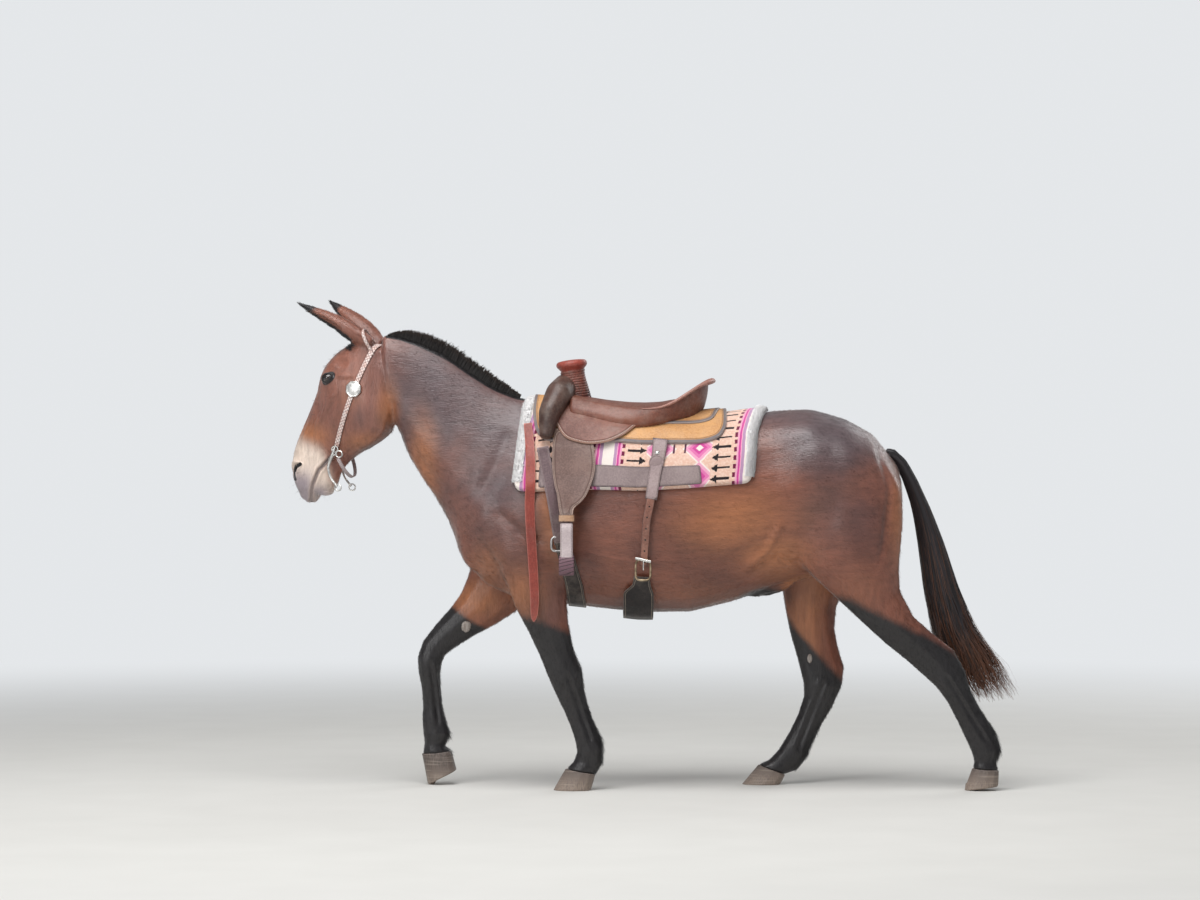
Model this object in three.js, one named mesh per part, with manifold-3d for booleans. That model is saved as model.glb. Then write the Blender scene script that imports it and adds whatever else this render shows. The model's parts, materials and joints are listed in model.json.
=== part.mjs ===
// A bay riding mule at a walk, life size, wearing a western saddle, its pad and cinches, and a
// one-ear headstall with a curb bit. Millimetres, +Z up. The mule faces -X, its left side is at -Y,
// and the origin is on the floor under the middle of the model.
// Every form is lofted from a few named stations, then joined or cut in code.
import * as THREE from "three";
import { mergeVertices } from "three/addons/utils/BufferGeometryUtils.js";
import Module from "manifold-3d";

const wasm = await Module();
wasm.setup();
const { Manifold, Mesh } = wasm;
const degrees = THREE.MathUtils.degToRad;
const mix = THREE.MathUtils.lerp;

// Driving sizes
const GAP = 0.3; // air between nodes that touch
const LEFT = -1;
const RIGHT = 1;
const SIDES = { left: LEFT, right: RIGHT };
const WIDE = 600; // past the widest point of the body
const HEAD_YAW = 18; // degrees that the head looks away to the mule's right
const POLL_X = -975; // where the head turns
const EYE_RADIUS = 21;

// Layers of tack, each as a distance out from the coat
const PAD_TOP = 22;
const WEAR_TOP = PAD_TOP + 3;
const SKIRT_TOP = PAD_TOP + 11;
const JOCKEY_TOP = SKIRT_TOP + 6;
const SEAT_TOP = JOCKEY_TOP + 7;
const CINCH_TOP = 10;
const STRAP = 4; // a bridle or cinch strap's thickness

// Finishes
const finish = (color, roughness, metalness = 0) =>
  new THREE.MeshStandardMaterial({ color, roughness, metalness });
const BAY = finish(0x6b3320, 0.55);
const BLACK_COAT = finish(0x231d1e, 0.55);
const HOOF_HORN = finish(0x5a4c42, 0.6);
const HAIR = finish(0x17130f, 0.6);
const EYE = finish(0x1a100a, 0.1);
const TAN = finish(0xc08a50, 0.6);
const BROWN = finish(0x5e3a28, 0.5);
const RUSSET = finish(0x8c3a28, 0.5);
const BLACK_LEATHER = finish(0x241e20, 0.6);
const GREY_LEATHER = finish(0x7c6b66, 0.6);
const RAWHIDE = finish(0xd8c0b4, 0.6);
const WOOL = finish(0xe0b4a8, 0.95);
const SILVER = finish(0xc8c8c4, 0.3, 1);

// From three.js geometry to a manifold solid, and back
function solid(geometry) {
  const loose = geometry.index ? geometry.toNonIndexed() : geometry;
  const bare = new THREE.BufferGeometry().setAttribute("position", loose.getAttribute("position"));
  const merged = mergeVertices(bare, 1e-3);
  const triVerts = new Uint32Array(merged.index.array);
  return new Manifold(new Mesh({ numProp: 3, vertProperties: merged.attributes.position.array, triVerts }));
}

function geometryOf(form) {
  const [largest] = form.decompose().sort((p, q) => q.volume() - p.volume());
  const { numVert, numProp, vertProperties, triVerts } = largest.getMesh();
  const positions = new Float32Array(numVert * 3);
  for (let i = 0; i < numVert; i++) {
    positions.set(vertProperties.subarray(i * numProp, i * numProp + 3), i * 3);
  }
  const geometry = new THREE.BufferGeometry();
  geometry.setAttribute("position", new THREE.BufferAttribute(positions, 3));
  geometry.setIndex(new THREE.BufferAttribute(triVerts, 1));
  geometry.computeVertexNormals();
  return geometry;
}

const unite = (...forms) => Manifold.union(forms.flat());
const shift = (x, y, z) => new THREE.Matrix4().makeTranslation(x, y, z);
const moved = (form, matrix) => form.transform(matrix.elements);
const mirrored = ([x, y, z], side) => [x, y * side, z];
const onBothSides = (make) => Object.values(SIDES).map(make);

// The head is authored looking straight on. It keeps its length in side view as it turns aside.
const headTurn = shift(POLL_X, 0, 0)
  .multiply(new THREE.Matrix4().makeRotationZ(-degrees(HEAD_YAW)))
  .multiply(new THREE.Matrix4().makeScale(1 / Math.cos(degrees(HEAD_YAW)), 1, 1))
  .multiply(shift(-POLL_X, 0, 0));
const turned = (form) => moved(form, headTurn);

// Rings of points, closed by a point at each end, as one solid that faces out.
function closedTube(points, around, first, last) {
  const all = [...points, first, last];
  const faces = [];
  const rings = points.length / around;
  for (let i = 0; i < rings - 1; i++) {
    for (let k = 0; k < around; k++) {
      const a = i * around + k;
      const b = i * around + ((k + 1) % around);
      faces.push([a, b, b + around], [a, b + around, a + around]);
    }
  }
  const end = (rings - 1) * around;
  for (let k = 0; k < around; k++) {
    const next = (k + 1) % around;
    faces.push([all.length - 2, next, k], [all.length - 1, end + k, end + next]);
  }
  const cross = new THREE.Vector3();
  const volume = faces.reduce((sum, [a, b, c]) => sum + all[a].dot(cross.crossVectors(all[b], all[c])), 0);
  const triVerts = new Uint32Array(faces.flatMap(([a, b, c]) => (volume < 0 ? [a, c, b] : [a, b, c])));
  const vertProperties = new Float32Array(all.flatMap((p) => p.toArray()));
  return new Manifold(new Mesh({ numProp: 3, vertProperties, triVerts }));
}

// One station of a loft: its outline points in side view, its place and half width across.
// mid is the height of its widest level, as a share of the way from under to top. crown and keel
// say how full it is towards each point: 2 is an ellipse, and less is sharper.
function ring(top, under, y, half, mid = 0.5, crown = 2, keel = 2) {
  return { top, under, values: [y, half, mid, crown, keel] };
}

// Smooth stations between the given ones
function refined(stations, steps) {
  const curve = (pick) =>
    new THREE.CatmullRomCurve3(stations.map((s) => new THREE.Vector3(...pick(s))), false, "centripetal");
  const tops = curve((s) => [s.top[0], 0, s.top[1]]);
  const unders = curve((s) => [s.under[0], 0, s.under[1]]);
  const valueAt = (n, t) => {
    const place = t * (stations.length - 1);
    const i = Math.min(Math.floor(place), stations.length - 2);
    const at = (k) => stations[THREE.MathUtils.clamp(k, 0, stations.length - 1)].values[n];
    const f = place - i;
    const [p, q, r, s] = [at(i - 1), at(i), at(i + 1), at(i + 2)];
    const bend = 2 * p - 5 * q + 4 * r - s;
    return q + 0.5 * f * (r - p + f * (bend + f * (3 * (q - r) + s - p)));
  };
  const count = (stations.length - 1) * steps;
  return Array.from({ length: count + 1 }, (_, i) => {
    const t = i / count;
    const [y, half, mid, crown, keel] = [0, 1, 2, 3, 4].map((n) => valueAt(n, t));
    return { top: tops.getPoint(t), under: unders.getPoint(t), y, half, mid, crown, keel };
  });
}

const DOME_TURNS = [28, 58];

// A closed loft through the stations, with a dome at each end. grow swells it all round.
function loft(stations, { around = 20, steps = 2, domes = [6, 6], grow = 0 } = {}) {
  const rings = refined(stations, steps).map(({ top, under, y, half, mid, crown, keel }) => {
    const centre = under.clone().lerp(top, mid).setY(y);
    const up = top.clone().setY(y).sub(centre);
    const down = under.clone().setY(y).sub(centre);
    up.setLength(up.length() + grow);
    down.setLength(down.length() + grow);
    return { centre, up, down, half: half + grow, crown, keel };
  });
  const pointsOf = (r, scale, push) =>
    Array.from({ length: around }, (_, k) => {
      const angle = (2 * Math.PI * k) / around;
      const [c, s] = [Math.cos(angle), Math.sin(angle)];
      const power = 2 / (s >= 0 ? r.crown : r.keel);
      const across = Math.sign(c) * Math.abs(c) ** power * r.half * scale;
      const along = s >= 0 ? r.up : r.down;
      const point = r.centre.clone().addScaledVector(along, Math.abs(s) ** power * scale).add(push);
      return point.setY(point.y + across);
    });
  const outward = (from, to) => to.centre.clone().sub(from.centre).normalize();
  const ways = [outward(rings[1], rings[0]), outward(rings.at(-2), rings.at(-1))];
  const dome = (r, way, height) =>
    DOME_TURNS.map((turn) => {
      const a = degrees(turn);
      return pointsOf(r, Math.cos(a), way.clone().multiplyScalar((height + grow) * Math.sin(a)));
    });
  const startDome = dome(rings[0], ways[0], domes[0]).reverse();
  const endDome = dome(rings.at(-1), ways[1], domes[1]);
  const middle = rings.map((r) => pointsOf(r, 1, new THREE.Vector3()));
  const first = rings[0].centre.clone().addScaledVector(ways[0], domes[0] + grow);
  const last = rings.at(-1).centre.clone().addScaledVector(ways[1], domes[1] + grow);
  return closedTube([...startDome, ...middle, ...endDome].flat(), around, first, last);
}

// An ellipsoid, tilted in side view: pitch lowers its +X end.
function ball(centre, radii, pitch = 0, detail = 9) {
  const matrix = shift(...centre)
    .multiply(new THREE.Matrix4().makeRotationY(degrees(pitch)))
    .multiply(new THREE.Matrix4().makeScale(...radii));
  const sphere = new THREE.SphereGeometry(1, detail, Math.round(detail * 0.6));
  return solid(sphere.applyMatrix4(matrix));
}

function block(low, high) {
  const size = high.map((h, i) => h - low[i]);
  const centre = high.map((h, i) => (h + low[i]) / 2);
  return solid(new THREE.BoxGeometry(...size).translate(...centre));
}

// A side-view outline of [x, z] points, pushed across from one y to another
function prism(outline, from = -WIDE, to = WIDE) {
  const shape = new THREE.Shape(outline.map(([x, z]) => new THREE.Vector2(x, z)));
  const geometry = new THREE.ExtrudeGeometry(shape, { depth: to - from, bevelEnabled: false });
  return solid(geometry.rotateX(Math.PI / 2).translate(0, to, 0));
}

function sidePrism(outline, side) {
  return side === LEFT ? prism(outline, -WIDE, -GAP / 2) : prism(outline, GAP / 2, WIDE);
}

// Evenly spread places along a side-view path, with the strap's width at each
function walked(path, widths, steps) {
  const curve = new THREE.SplineCurve(path.map(([x, z]) => new THREE.Vector2(x, z)));
  const count = (path.length - 1) * steps;
  return Array.from({ length: count + 1 }, (_, i) => {
    const t = i / count;
    const place = t * (widths.length - 1);
    const k = Math.min(Math.floor(place), widths.length - 2);
    const way = curve.getTangent(t);
    const width = mix(widths[k], widths[k + 1], place - k);
    return { point: curve.getPoint(t), way: [-way.y, way.x], width };
  });
}

// The outline of a band that follows a side-view path
function band(path, widths, steps = 3) {
  const stops = walked(path, widths, steps);
  const edge = (sign) =>
    stops.map(({ point, way, width }) => [
      point.x + (way[0] * width * sign) / 2,
      point.y + (way[1] * width * sign) / 2,
    ]);
  return [...edge(1), ...edge(-1).reverse()];
}

// A round rod of changing radius through the given points
function rod(path, radii, { sides = 8, steps = 3, grow = 0 } = {}) {
  const curve = new THREE.CatmullRomCurve3(path.map((p) => new THREE.Vector3(...p)), false, "centripetal");
  const count = (path.length - 1) * steps;
  const frames = curve.computeFrenetFrames(count, false);
  const points = [];
  for (let i = 0; i <= count; i++) {
    const place = (i / count) * (radii.length - 1);
    const j = Math.min(Math.floor(place), radii.length - 2);
    const radius = mix(radii[j], radii[j + 1], place - j) + grow;
    for (let k = 0; k < sides; k++) {
      const a = (2 * Math.PI * k) / sides;
      const point = curve.getPointAt(i / count).addScaledVector(frames.normals[i], Math.cos(a) * radius);
      points.push(point.addScaledVector(frames.binormals[i], Math.sin(a) * radius));
    }
  }
  return closedTube(points, sides, curve.getPointAt(0), curve.getPointAt(1));
}

// Trunk stations: top, under, place across, half width, widest level, crown, keel
const TORSO = [
  ring([-712, 1060], [-706, 850], 0, 100, 0.5, 2, 2),
  ring([-640, 1215], [-633, 752], 0, 172, 0.5, 1.9, 2.1),
  ring([-522, 1385], [-522, 702], 0, 208, 0.44, 1.6, 2.2),
  ring([-392, 1434], [-392, 684], 0, 230, 0.42, 1.5, 2.2),
  ring([-244, 1404], [-244, 668], 0, 256, 0.42, 1.75, 2.2),
  ring([-59, 1364], [-59, 648], 0, 280, 0.42, 2, 2.2),
  ring([126, 1360], [126, 650], 0, 286, 0.43, 2.1, 2.2),
  ring([292, 1376], [292, 690], 0, 272, 0.46, 2.1, 2.1),
  ring([440, 1394], [440, 740], 0, 256, 0.52, 2, 2),
  ring([570, 1400], [570, 775], 0, 262, 0.6, 2.1, 2),
  ring([699, 1363], [699, 810], 0, 250, 0.62, 2.1, 2),
  ring([799, 1308], [799, 850], 0, 207, 0.62, 2.1, 2),
  ring([868, 1222], [868, 920], 0, 135, 0.6, 2, 2),
];
const NECK = [
  ring([-1000, 1674], [-985, 1385], 0, 64, 0.5, 1.9, 2),
  ring([-947, 1670], [-950, 1318], 0, 70, 0.48, 1.7, 2.1),
  ring([-873, 1652], [-915, 1226], 0, 78, 0.45, 1.55, 2.1),
  ring([-781, 1610], [-868, 1146], 0, 88, 0.42, 1.5, 2.1),
  ring([-688, 1546], [-818, 1074], 0, 102, 0.4, 1.5, 2.1),
  ring([-596, 1486], [-775, 1000], 0, 124, 0.4, 1.5, 2.1),
  ring([-503, 1447], [-745, 925], 0, 150, 0.42, 1.5, 2.1),
  ring([-392, 1425], [-690, 840], 0, 172, 0.45, 1.6, 2.1),
];

// Leg stations, from inside the trunk down to the hoof: front, back, place across, half width
const LEGS = {
  fore_left: [
    ring([-600, 1060], [-380, 1075], -112, 52),
    ring([-640, 960], [-345, 990], -140, 72),
    ring([-612, 866], [-325, 905], -147, 80),
    ring([-554, 757], [-328, 815], -145, 72),
    ring([-522, 673], [-327, 722], -141, 62),
    ring([-470, 578], [-321, 616], -136, 53),
    ring([-427, 486], [-303, 520], -131, 44),
    ring([-398, 413], [-270, 443], -128, 45, 0.5, 2.3, 2.1),
    ring([-366, 342], [-262, 368], -126, 36, 0.5, 2.2, 2),
    ring([-340, 289], [-251, 320], -125, 28),
    ring([-317, 234], [-233, 264], -124, 27),
    ring([-299, 179], [-206, 206], -123, 32, 0.5, 2.1, 2.1),
    ring([-292, 139], [-189, 155], -122, 38, 0.5, 2.2, 2.2),
    ring([-306, 104], [-196, 100], -122, 33),
    ring([-332, 78], [-222, 58], -122, 41),
  ],
  fore_right: [
    ring([-600, 1050], [-390, 1010], 112, 52),
    ring([-665, 960], [-385, 895], 140, 72),
    ring([-688, 868], [-430, 735], 149, 80),
    ring([-700, 790], [-520, 640], 147, 73),
    ring([-728, 715], [-598, 592], 142, 62),
    ring([-766, 660], [-675, 552], 138, 53),
    ring([-821, 597], [-748, 508], 133, 44),
    ring([-868, 535], [-786, 480], 130, 43, 0.5, 2.3, 2.1),
    ring([-889, 474], [-797, 450], 128, 45, 0.5, 2.3, 2.1),
    ring([-885, 415], [-803, 408], 127, 38, 0.5, 2.2, 2),
    ring([-874, 360], [-799, 358], 126, 29),
    ring([-869, 292], [-794, 292], 125, 27),
    ring([-872, 238], [-778, 230], 124, 31, 0.5, 2.1, 2.1),
    ring([-868, 195], [-763, 187], 124, 37, 0.5, 2.2, 2.2),
    ring([-863, 155], [-788, 148], 124, 33),
    ring([-870, 112], [-760, 122], 124, 41),
  ],
  hind_left: [
    ring([470, 1200], [835, 1225], -128, 78),
    ring([438, 1060], [900, 1105], -146, 98),
    ring([470, 920], [910, 975], -154, 102),
    ring([545, 800], [902, 900], -155, 96),
    ring([640, 715], [893, 825], -152, 84),
    ring([735, 629], [893, 735], -147, 66),
    ring([835, 538], [943, 638], -141, 50),
    ring([908, 480], [1012, 578], -136, 40, 0.5, 2, 1.9),
    ring([972, 424], [1090, 517], -133, 38, 0.5, 2.1, 1.8),
    ring([1026, 376], [1131, 442], -131, 40, 0.5, 2.3, 1.9),
    ring([1066, 322], [1152, 368], -129, 34, 0.5, 2.1, 2),
    ring([1102, 251], [1190, 298], -127, 29),
    ring([1134, 184], [1243, 218], -126, 35, 0.5, 2.1, 2.1),
    ring([1157, 134], [1263, 148], -126, 38, 0.5, 2.2, 2.2),
    ring([1164, 104], [1246, 100], -126, 33),
    ring([1158, 80], [1254, 72], -126, 41),
  ],
  hind_right: [
    ring([455, 1200], [835, 1225], 128, 78),
    ring([412, 1060], [890, 1100], 146, 98),
    ring([415, 930], [865, 960], 154, 102),
    ring([445, 820], [790, 838], 155, 94),
    ring([470, 725], [716, 740], 151, 78),
    ring([483, 648], [679, 660], 145, 60),
    ring([500, 565], [672, 580], 140, 48),
    ring([519, 498], [684, 515], 136, 40, 0.5, 2, 1.9),
    ring([536, 438], [708, 436], 133, 39, 0.5, 2.2, 1.8),
    ring([551, 378], [698, 365], 131, 41, 0.5, 2.3, 1.9),
    ring([553, 330], [662, 288], 129, 34, 0.5, 2.1, 2),
    ring([530, 260], [618, 218], 127, 29),
    ring([497, 192], [584, 152], 126, 31),
    ring([459, 130], [562, 98], 126, 37, 0.5, 2.2, 2.2),
    ring([424, 92], [528, 52], 126, 36, 0.5, 2.2, 2.2),
    ring([384, 74], [482, 36], 126, 41),
  ],
};
const sideOf = (name) => (name.endsWith("left") ? LEFT : RIGHT);

// Muscles and bones that stand out: centre, radii, pitch. Those off the middle are on both sides.
const BODY_FORMS = [
  [[-640, 62, 905], [88, 64, 118], 14], // breast muscle
  [[420, 0, 748], [100, 42, 48], -14], // sheath
];
const HEAD = [
  ring([-1322, 1082], [-1262, 1056], 0, 34, 0.5, 2.4, 2.4),
  ring([-1341, 1130], [-1212, 1078], 0, 55, 0.52, 2.5, 2.2),
  ring([-1349, 1185], [-1184, 1112], 0, 60, 0.6, 2.3, 2.2),
  ring([-1345, 1243], [-1168, 1160], 0, 55, 0.62, 2.2, 2),
  ring([-1322, 1308], [-1135, 1205], 0, 54, 0.6, 2.2, 2.2),
  ring([-1297, 1366], [-1085, 1242], 0, 64, 0.56, 2.1, 2.5),
  ring([-1275, 1418], [-1030, 1275], 0, 80, 0.55, 2, 2.8),
  ring([-1252, 1470], [-985, 1315], 0, 95, 0.58, 2.2, 3),
  ring([-1236, 1522], [-957, 1375], 0, 101, 0.66, 2.5, 3),
  ring([-1212, 1568], [-951, 1450], 0, 96, 0.66, 2.5, 2.6),
  ring([-1172, 1612], [-958, 1530], 0, 88, 0.6, 2.3, 2.2),
  ring([-1115, 1648], [-985, 1590], 0, 72, 0.55, 2.1, 2),
];
const HEAD_FORMS = [
  [[-1140, 76, 1528], [62, 20, 22], -22], // arch behind the eye
  [[-1206, 55, 1392], [78, 16, 12], -58], // facial crest
  [[-1316, 32, 1176], [24, 24, 34], 18], // nostril wing
  [[-1228, 0, 1086], [32, 38, 28], 30], // chin
];
const HEAD_AROUND = 16;
const EYE_PLACE = [-1183, 88, 1512];
const EYE_SLANT = -38; // the rear corner of the eye is the higher
const NOSTRIL_PLACE = [-1332, 50, 1170];
const MOUTH_LINE = [
  [-1296, 1022],
  [-1272, 1062],
  [-1256, 1118],
  [-1234, 1174],
  [-1190, 1221],
];
const LIP_DEPTH = 11;

// The bit's bar, which lies across the mouth at its corners
const BIT_BAR = [-1184, 1214];
const BAR_RADIUS = 6;

function swellings(list, grow) {
  return list.flatMap(([centre, radii, pitch]) => {
    const swollen = radii.map((r) => r + grow);
    const sides = centre[1] ? Object.values(SIDES) : [LEFT];
    return sides.map((side) => ball(mirrored(centre, side), swollen, pitch));
  });
}

const neckLoft = (grow = 0) => loft(NECK, { around: 16, steps: 1, domes: [30, 30], grow });
const legLoft = (name, grow = 0) => loft(LEGS[name], { around: 10, steps: 1, domes: [20, 4], grow });

// Torso, neck and legs, swollen by a layer's distance. Each is worked out once.
const bodies = new Map();
function body(grow) {
  if (!bodies.has(grow)) {
    const torso = loft(TORSO, { around: 20, steps: 1, domes: [34, 46], grow });
    const legs = Object.keys(LEGS).map((name) => legLoft(name, grow));
    bodies.set(grow, unite(torso, neckLoft(grow), legs, swellings(BODY_FORMS, grow)));
  }
  return bodies.get(grow);
}
const shell = (under, over) => body(over).subtract(body(under));

const headForm = (grow = 0) =>
  unite(loft(HEAD, { around: HEAD_AROUND, domes: [14, 26], grow }), swellings(HEAD_FORMS, grow));

const barRod = (radius, reach) =>
  rod([[BIT_BAR[0], -reach, BIT_BAR[1]], [BIT_BAR[0], reach, BIT_BAR[1]]], [radius, radius], { steps: 1 });

function headWithFace() {
  const lids = onBothSides((side) => ball(mirrored(EYE_PLACE, side), [29, 24, 25], 0, 10));
  const socketRadii = Array(3).fill(EYE_RADIUS + GAP);
  const sockets = onBothSides((side) => ball(mirrored(EYE_PLACE, side), socketRadii, 0, 10));
  const openings = onBothSides((side) => {
    const [x, y, z] = mirrored(EYE_PLACE, side);
    return ball([x - 2, y + side * 17, z], [21, 13, 11], EYE_SLANT, 8);
  });
  const nostrils = onBothSides((side) => ball(mirrored(NOSTRIL_PLACE, side), [9, 16, 22], 24, 8));
  const lipStations = HEAD.slice(0, 5).map(({ top, under, values: [y, half, ...rest] }) =>
    ring(top, under, y, half - LIP_DEPTH, ...rest),
  );
  const lipCore = loft(lipStations, { around: 12, steps: 1, domes: [0.5, 0.5] });
  const mouth = prism(band(MOUTH_LINE, [6, 5, 5, 4, 3], 1), -90, 90).subtract(lipCore);
  const cuts = unite(sockets, openings, nostrils, mouth, barRod(BAR_RADIUS + GAP, 90));
  return unite(headForm(), lids).subtract(cuts);
}

// Ears: a leaf-shaped shell round a cup that opens forwards and down
const EARS = {
  left: { base: [-1056, -54, 1650], tip: [-1302, -88, 1793] },
  right: { base: [-1054, 54, 1652], tip: [-1250, 86, 1808] },
};
const EAR_WIDTHS = [26, 38, 43, 40, 31, 18, 4];
const EAR_ROOT = -24; // the leaf starts this far inside the head
const EAR_WALL = 6;
const EAR_CUP = { start: 40, lift: 20 };
const EAR_DEPTH = 0.86; // the leaf's depth, as a share of its width

function earLeaf({ base, tip }, side, shrink, start, lift) {
  const root = new THREE.Vector3(...base);
  const axis = new THREE.Vector3(...tip).sub(root);
  const length = axis.length() - shrink * 1.5;
  axis.normalize();
  const open = new THREE.Vector3(-0.5, side * 0.45, -0.74);
  open.addScaledVector(axis, -open.dot(axis)).normalize();
  const across = new THREE.Vector3().crossVectors(axis, open);
  const around = 9;
  const points = EAR_WIDTHS.flatMap((width, i) => {
    const share = i / (EAR_WIDTHS.length - 1);
    const half = Math.max(width - shrink, 1.5);
    const centre = root.clone().addScaledVector(axis, mix(start, length, share));
    centre.addScaledVector(open, lift * Math.min(1, 4 * (1 - share)));
    return Array.from({ length: around }, (_, k) => {
      const a = (2 * Math.PI * k) / around;
      const point = centre.clone().addScaledVector(across, Math.cos(a) * half);
      return point.addScaledVector(open, Math.sin(a) * half * EAR_DEPTH);
    });
  });
  const first = root.clone().addScaledVector(axis, start - 2);
  const last = root.clone().addScaledVector(axis, length + 2);
  return closedTube(points, around, first, last);
}

function earForm(name) {
  const [place, side] = [EARS[name], SIDES[name]];
  const cup = earLeaf(place, side, EAR_WALL, EAR_CUP.start, EAR_CUP.lift);
  const ear = turned(earLeaf(place, side, 0, EAR_ROOT, 0).subtract(cup).subtract(headForm(GAP)));
  return ear.subtract(neckLoft(GAP));
}

// Hooves: a flared cup from the coronet to the sole, with a small level flat where a tipped one bears
const HOOVES = {
  fore_left: { front: [-336, 75], back: [-224, 55], toe: [-379, 0], heel: [-240, 0], y: -122 },
  fore_right: { front: [-871, 109], back: [-759, 120], toe: [-850, 0], heel: [-742, 54], y: 124 },
  hind_left: { front: [1156, 77], back: [1256, 69], toe: [1128, 0], heel: [1254, 16], y: -126 },
  hind_right: { front: [382, 71], back: [484, 33], toe: [322, 0], heel: [466, 0], y: 126 },
};
const HOOF_TOP = 43;
const HOOF_SOLE = 56;
const TOE_FLAT = 26;

function hoof(name) {
  const { front, back, toe, heel, y } = HOOVES[name];
  const level = (share, half) => {
    const between = (p, q) => [mix(p[0], q[0], share), mix(p[1], q[1], share)];
    return ring(between(front, toe), between(back, heel), y, half, 0.45, 2.2, 2.6);
  };
  const levels = [level(-0.06, HOOF_TOP), level(0.1, HOOF_TOP + 3), level(1, HOOF_SOLE)];
  const wall = loft(levels, { around: 12, steps: 1, domes: [3, 1] });
  const toeFlat = [
    ring([toe[0] + 1, -1], [toe[0] + TOE_FLAT, -1], y, 26),
    ring([toe[0] + 4, 24], [toe[0] + 44, 30], y, 30),
  ];
  const tipped = heel[1] > 0;
  const bearing = tipped ? [loft(toeFlat, { around: 6, steps: 1, domes: [1, 4] })] : [];
  const floor = block([toe[0] - WIDE, y - WIDE, -WIDE], [toe[0] + WIDE, y + WIDE, 0]);
  return unite(wall, ...bearing).subtract(floor).subtract(legLoft(name, GAP));
}

// Where the flesh is parted, as side-view lines
const NECK_PART = [
  [-1150, 820],
  [-800, 820],
  [-652, 1010],
  [-548, 1210],
  [-440, 1520],
  [-440, 1800],
  [-1150, 1800],
];
const LEG_PARTS = {
  fore_left: { span: [-700, -200], root: [[-700, 722], [-240, 640]], knee: [[-520, 430], [-240, 480]] },
  fore_right: { span: [-1000, -400], root: [[-790, 815], [-430, 635]], knee: [[-960, 560], [-740, 420]] },
  hind_left: {
    span: [380, 1350],
    root: [[380, 712], [620, 758], [950, 905]],
    knee: [[860, 435], [1070, 632]],
  },
  hind_right: {
    span: [280, 950],
    root: [[380, 712], [620, 758], [949, 905]],
    knee: [[430, 488], [780, 524]],
  },
};

// All that is below a line, between the two ends of a span, lowered by drop
function below(line, [start, end], drop = 0) {
  const points = line.map(([x, z]) => [x, z - drop]).filter(([x]) => x > start && x < end);
  return [[start, -50], [start, line[0][1] - drop], ...points, [end, line.at(-1)[1] - drop], [end, -50]];
}

const mule = new THREE.Group();
mule.name = "mule";
function add(name, form, material) {
  const mesh = new THREE.Mesh(geometryOf(form), material);
  mesh.name = name;
  mule.add(mesh);
}

function addTrunk() {
  const roots = Object.entries(LEG_PARTS).map(([name, { root, span }]) =>
    sidePrism(below(root, span), sideOf(name)),
  );
  const headRoom = turned(headForm(GAP));
  const neckSide = NECK_PART.map(([x, z]) => [x - GAP, z + GAP]);
  add("head", turned(headWithFace()), BAY);
  add("neck", body(0).intersect(prism(neckSide)).subtract(headRoom), BAY);
  add("torso", body(0).subtract(unite(prism(NECK_PART), roots)), BAY);
}

function addLegs() {
  for (const [name, { root, knee, span }] of Object.entries(LEG_PARTS)) {
    const side = sideOf(name);
    const leg = body(0).intersect(sidePrism(below(root, span, GAP), side));
    add(`${name}_upper_leg`, leg.subtract(sidePrism(below(knee, span), side)), BAY);
    add(`${name}_lower_leg`, leg.intersect(sidePrism(below(knee, span, GAP), side)), BLACK_COAT);
    add(`${name}_hoof`, hoof(name), HOOF_HORN);
  }
}

function addEyesAndEars() {
  for (const [name, side] of Object.entries(SIDES)) {
    add(`eye_${name}`, turned(ball(mirrored(EYE_PLACE, side), Array(3).fill(EYE_RADIUS), 0, 10)), EYE);
    add(`ear_${name}`, earForm(name), BAY);
  }
}

// Evenly mixed draws between 0 and 1, the same on every run
function drawsFrom(seed) {
  let state = seed;
  return () => {
    state = (state * 16807) % 2147483647;
    return state / 2147483647;
  };
}

// A flat lock of hair: diamond rings along a curve, as wide and deep as given, then a point at its
// tip. outward is the way that its flat side faces, and taper is where it starts to narrow to a point.
function lock(path, outward, widths, depths, taper) {
  const curve = new THREE.CatmullRomCurve3(path, false, "centripetal");
  const points = widths.flatMap((width, i) => {
    const share = (i / (widths.length - 1)) * taper;
    const [point, way] = [curve.getPoint(share), curve.getTangent(share)];
    const across = new THREE.Vector3().crossVectors(way, outward).setLength(width / 2);
    const out = new THREE.Vector3().crossVectors(across, way).setLength(depths[i] / 2);
    return [across, out, across.clone().negate(), out.clone().negate()].map((push) => push.add(point));
  });
  return closedTube(points, 4, path[0], curve.getPoint(1));
}

// Mane: a short brush that stands up along the crest, in locks that lean and overlap rearwards
const CREST = [
  [-985, 1676],
  [-930, 1671],
  [-873, 1654],
  [-781, 1612],
  [-688, 1549],
  [-596, 1490],
  [-522, 1458],
];
const MANE_HEIGHTS = [22, 31, 34, 33, 30, 25, 10];
const MANE_ROOT = 12; // the locks start this far under the crest
const MANE_LOCKS = 22;
const MANE_LEAN = 12; // how far a lock's tip lies behind its root
const MANE_SPREAD = 7; // how far the tips lean to either side
const MANE_WIDTHS = [32, 40, 30];
const MANE_DEPTHS = [17, 16, 8];
const MANE_TAPER = 0.8;

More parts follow.
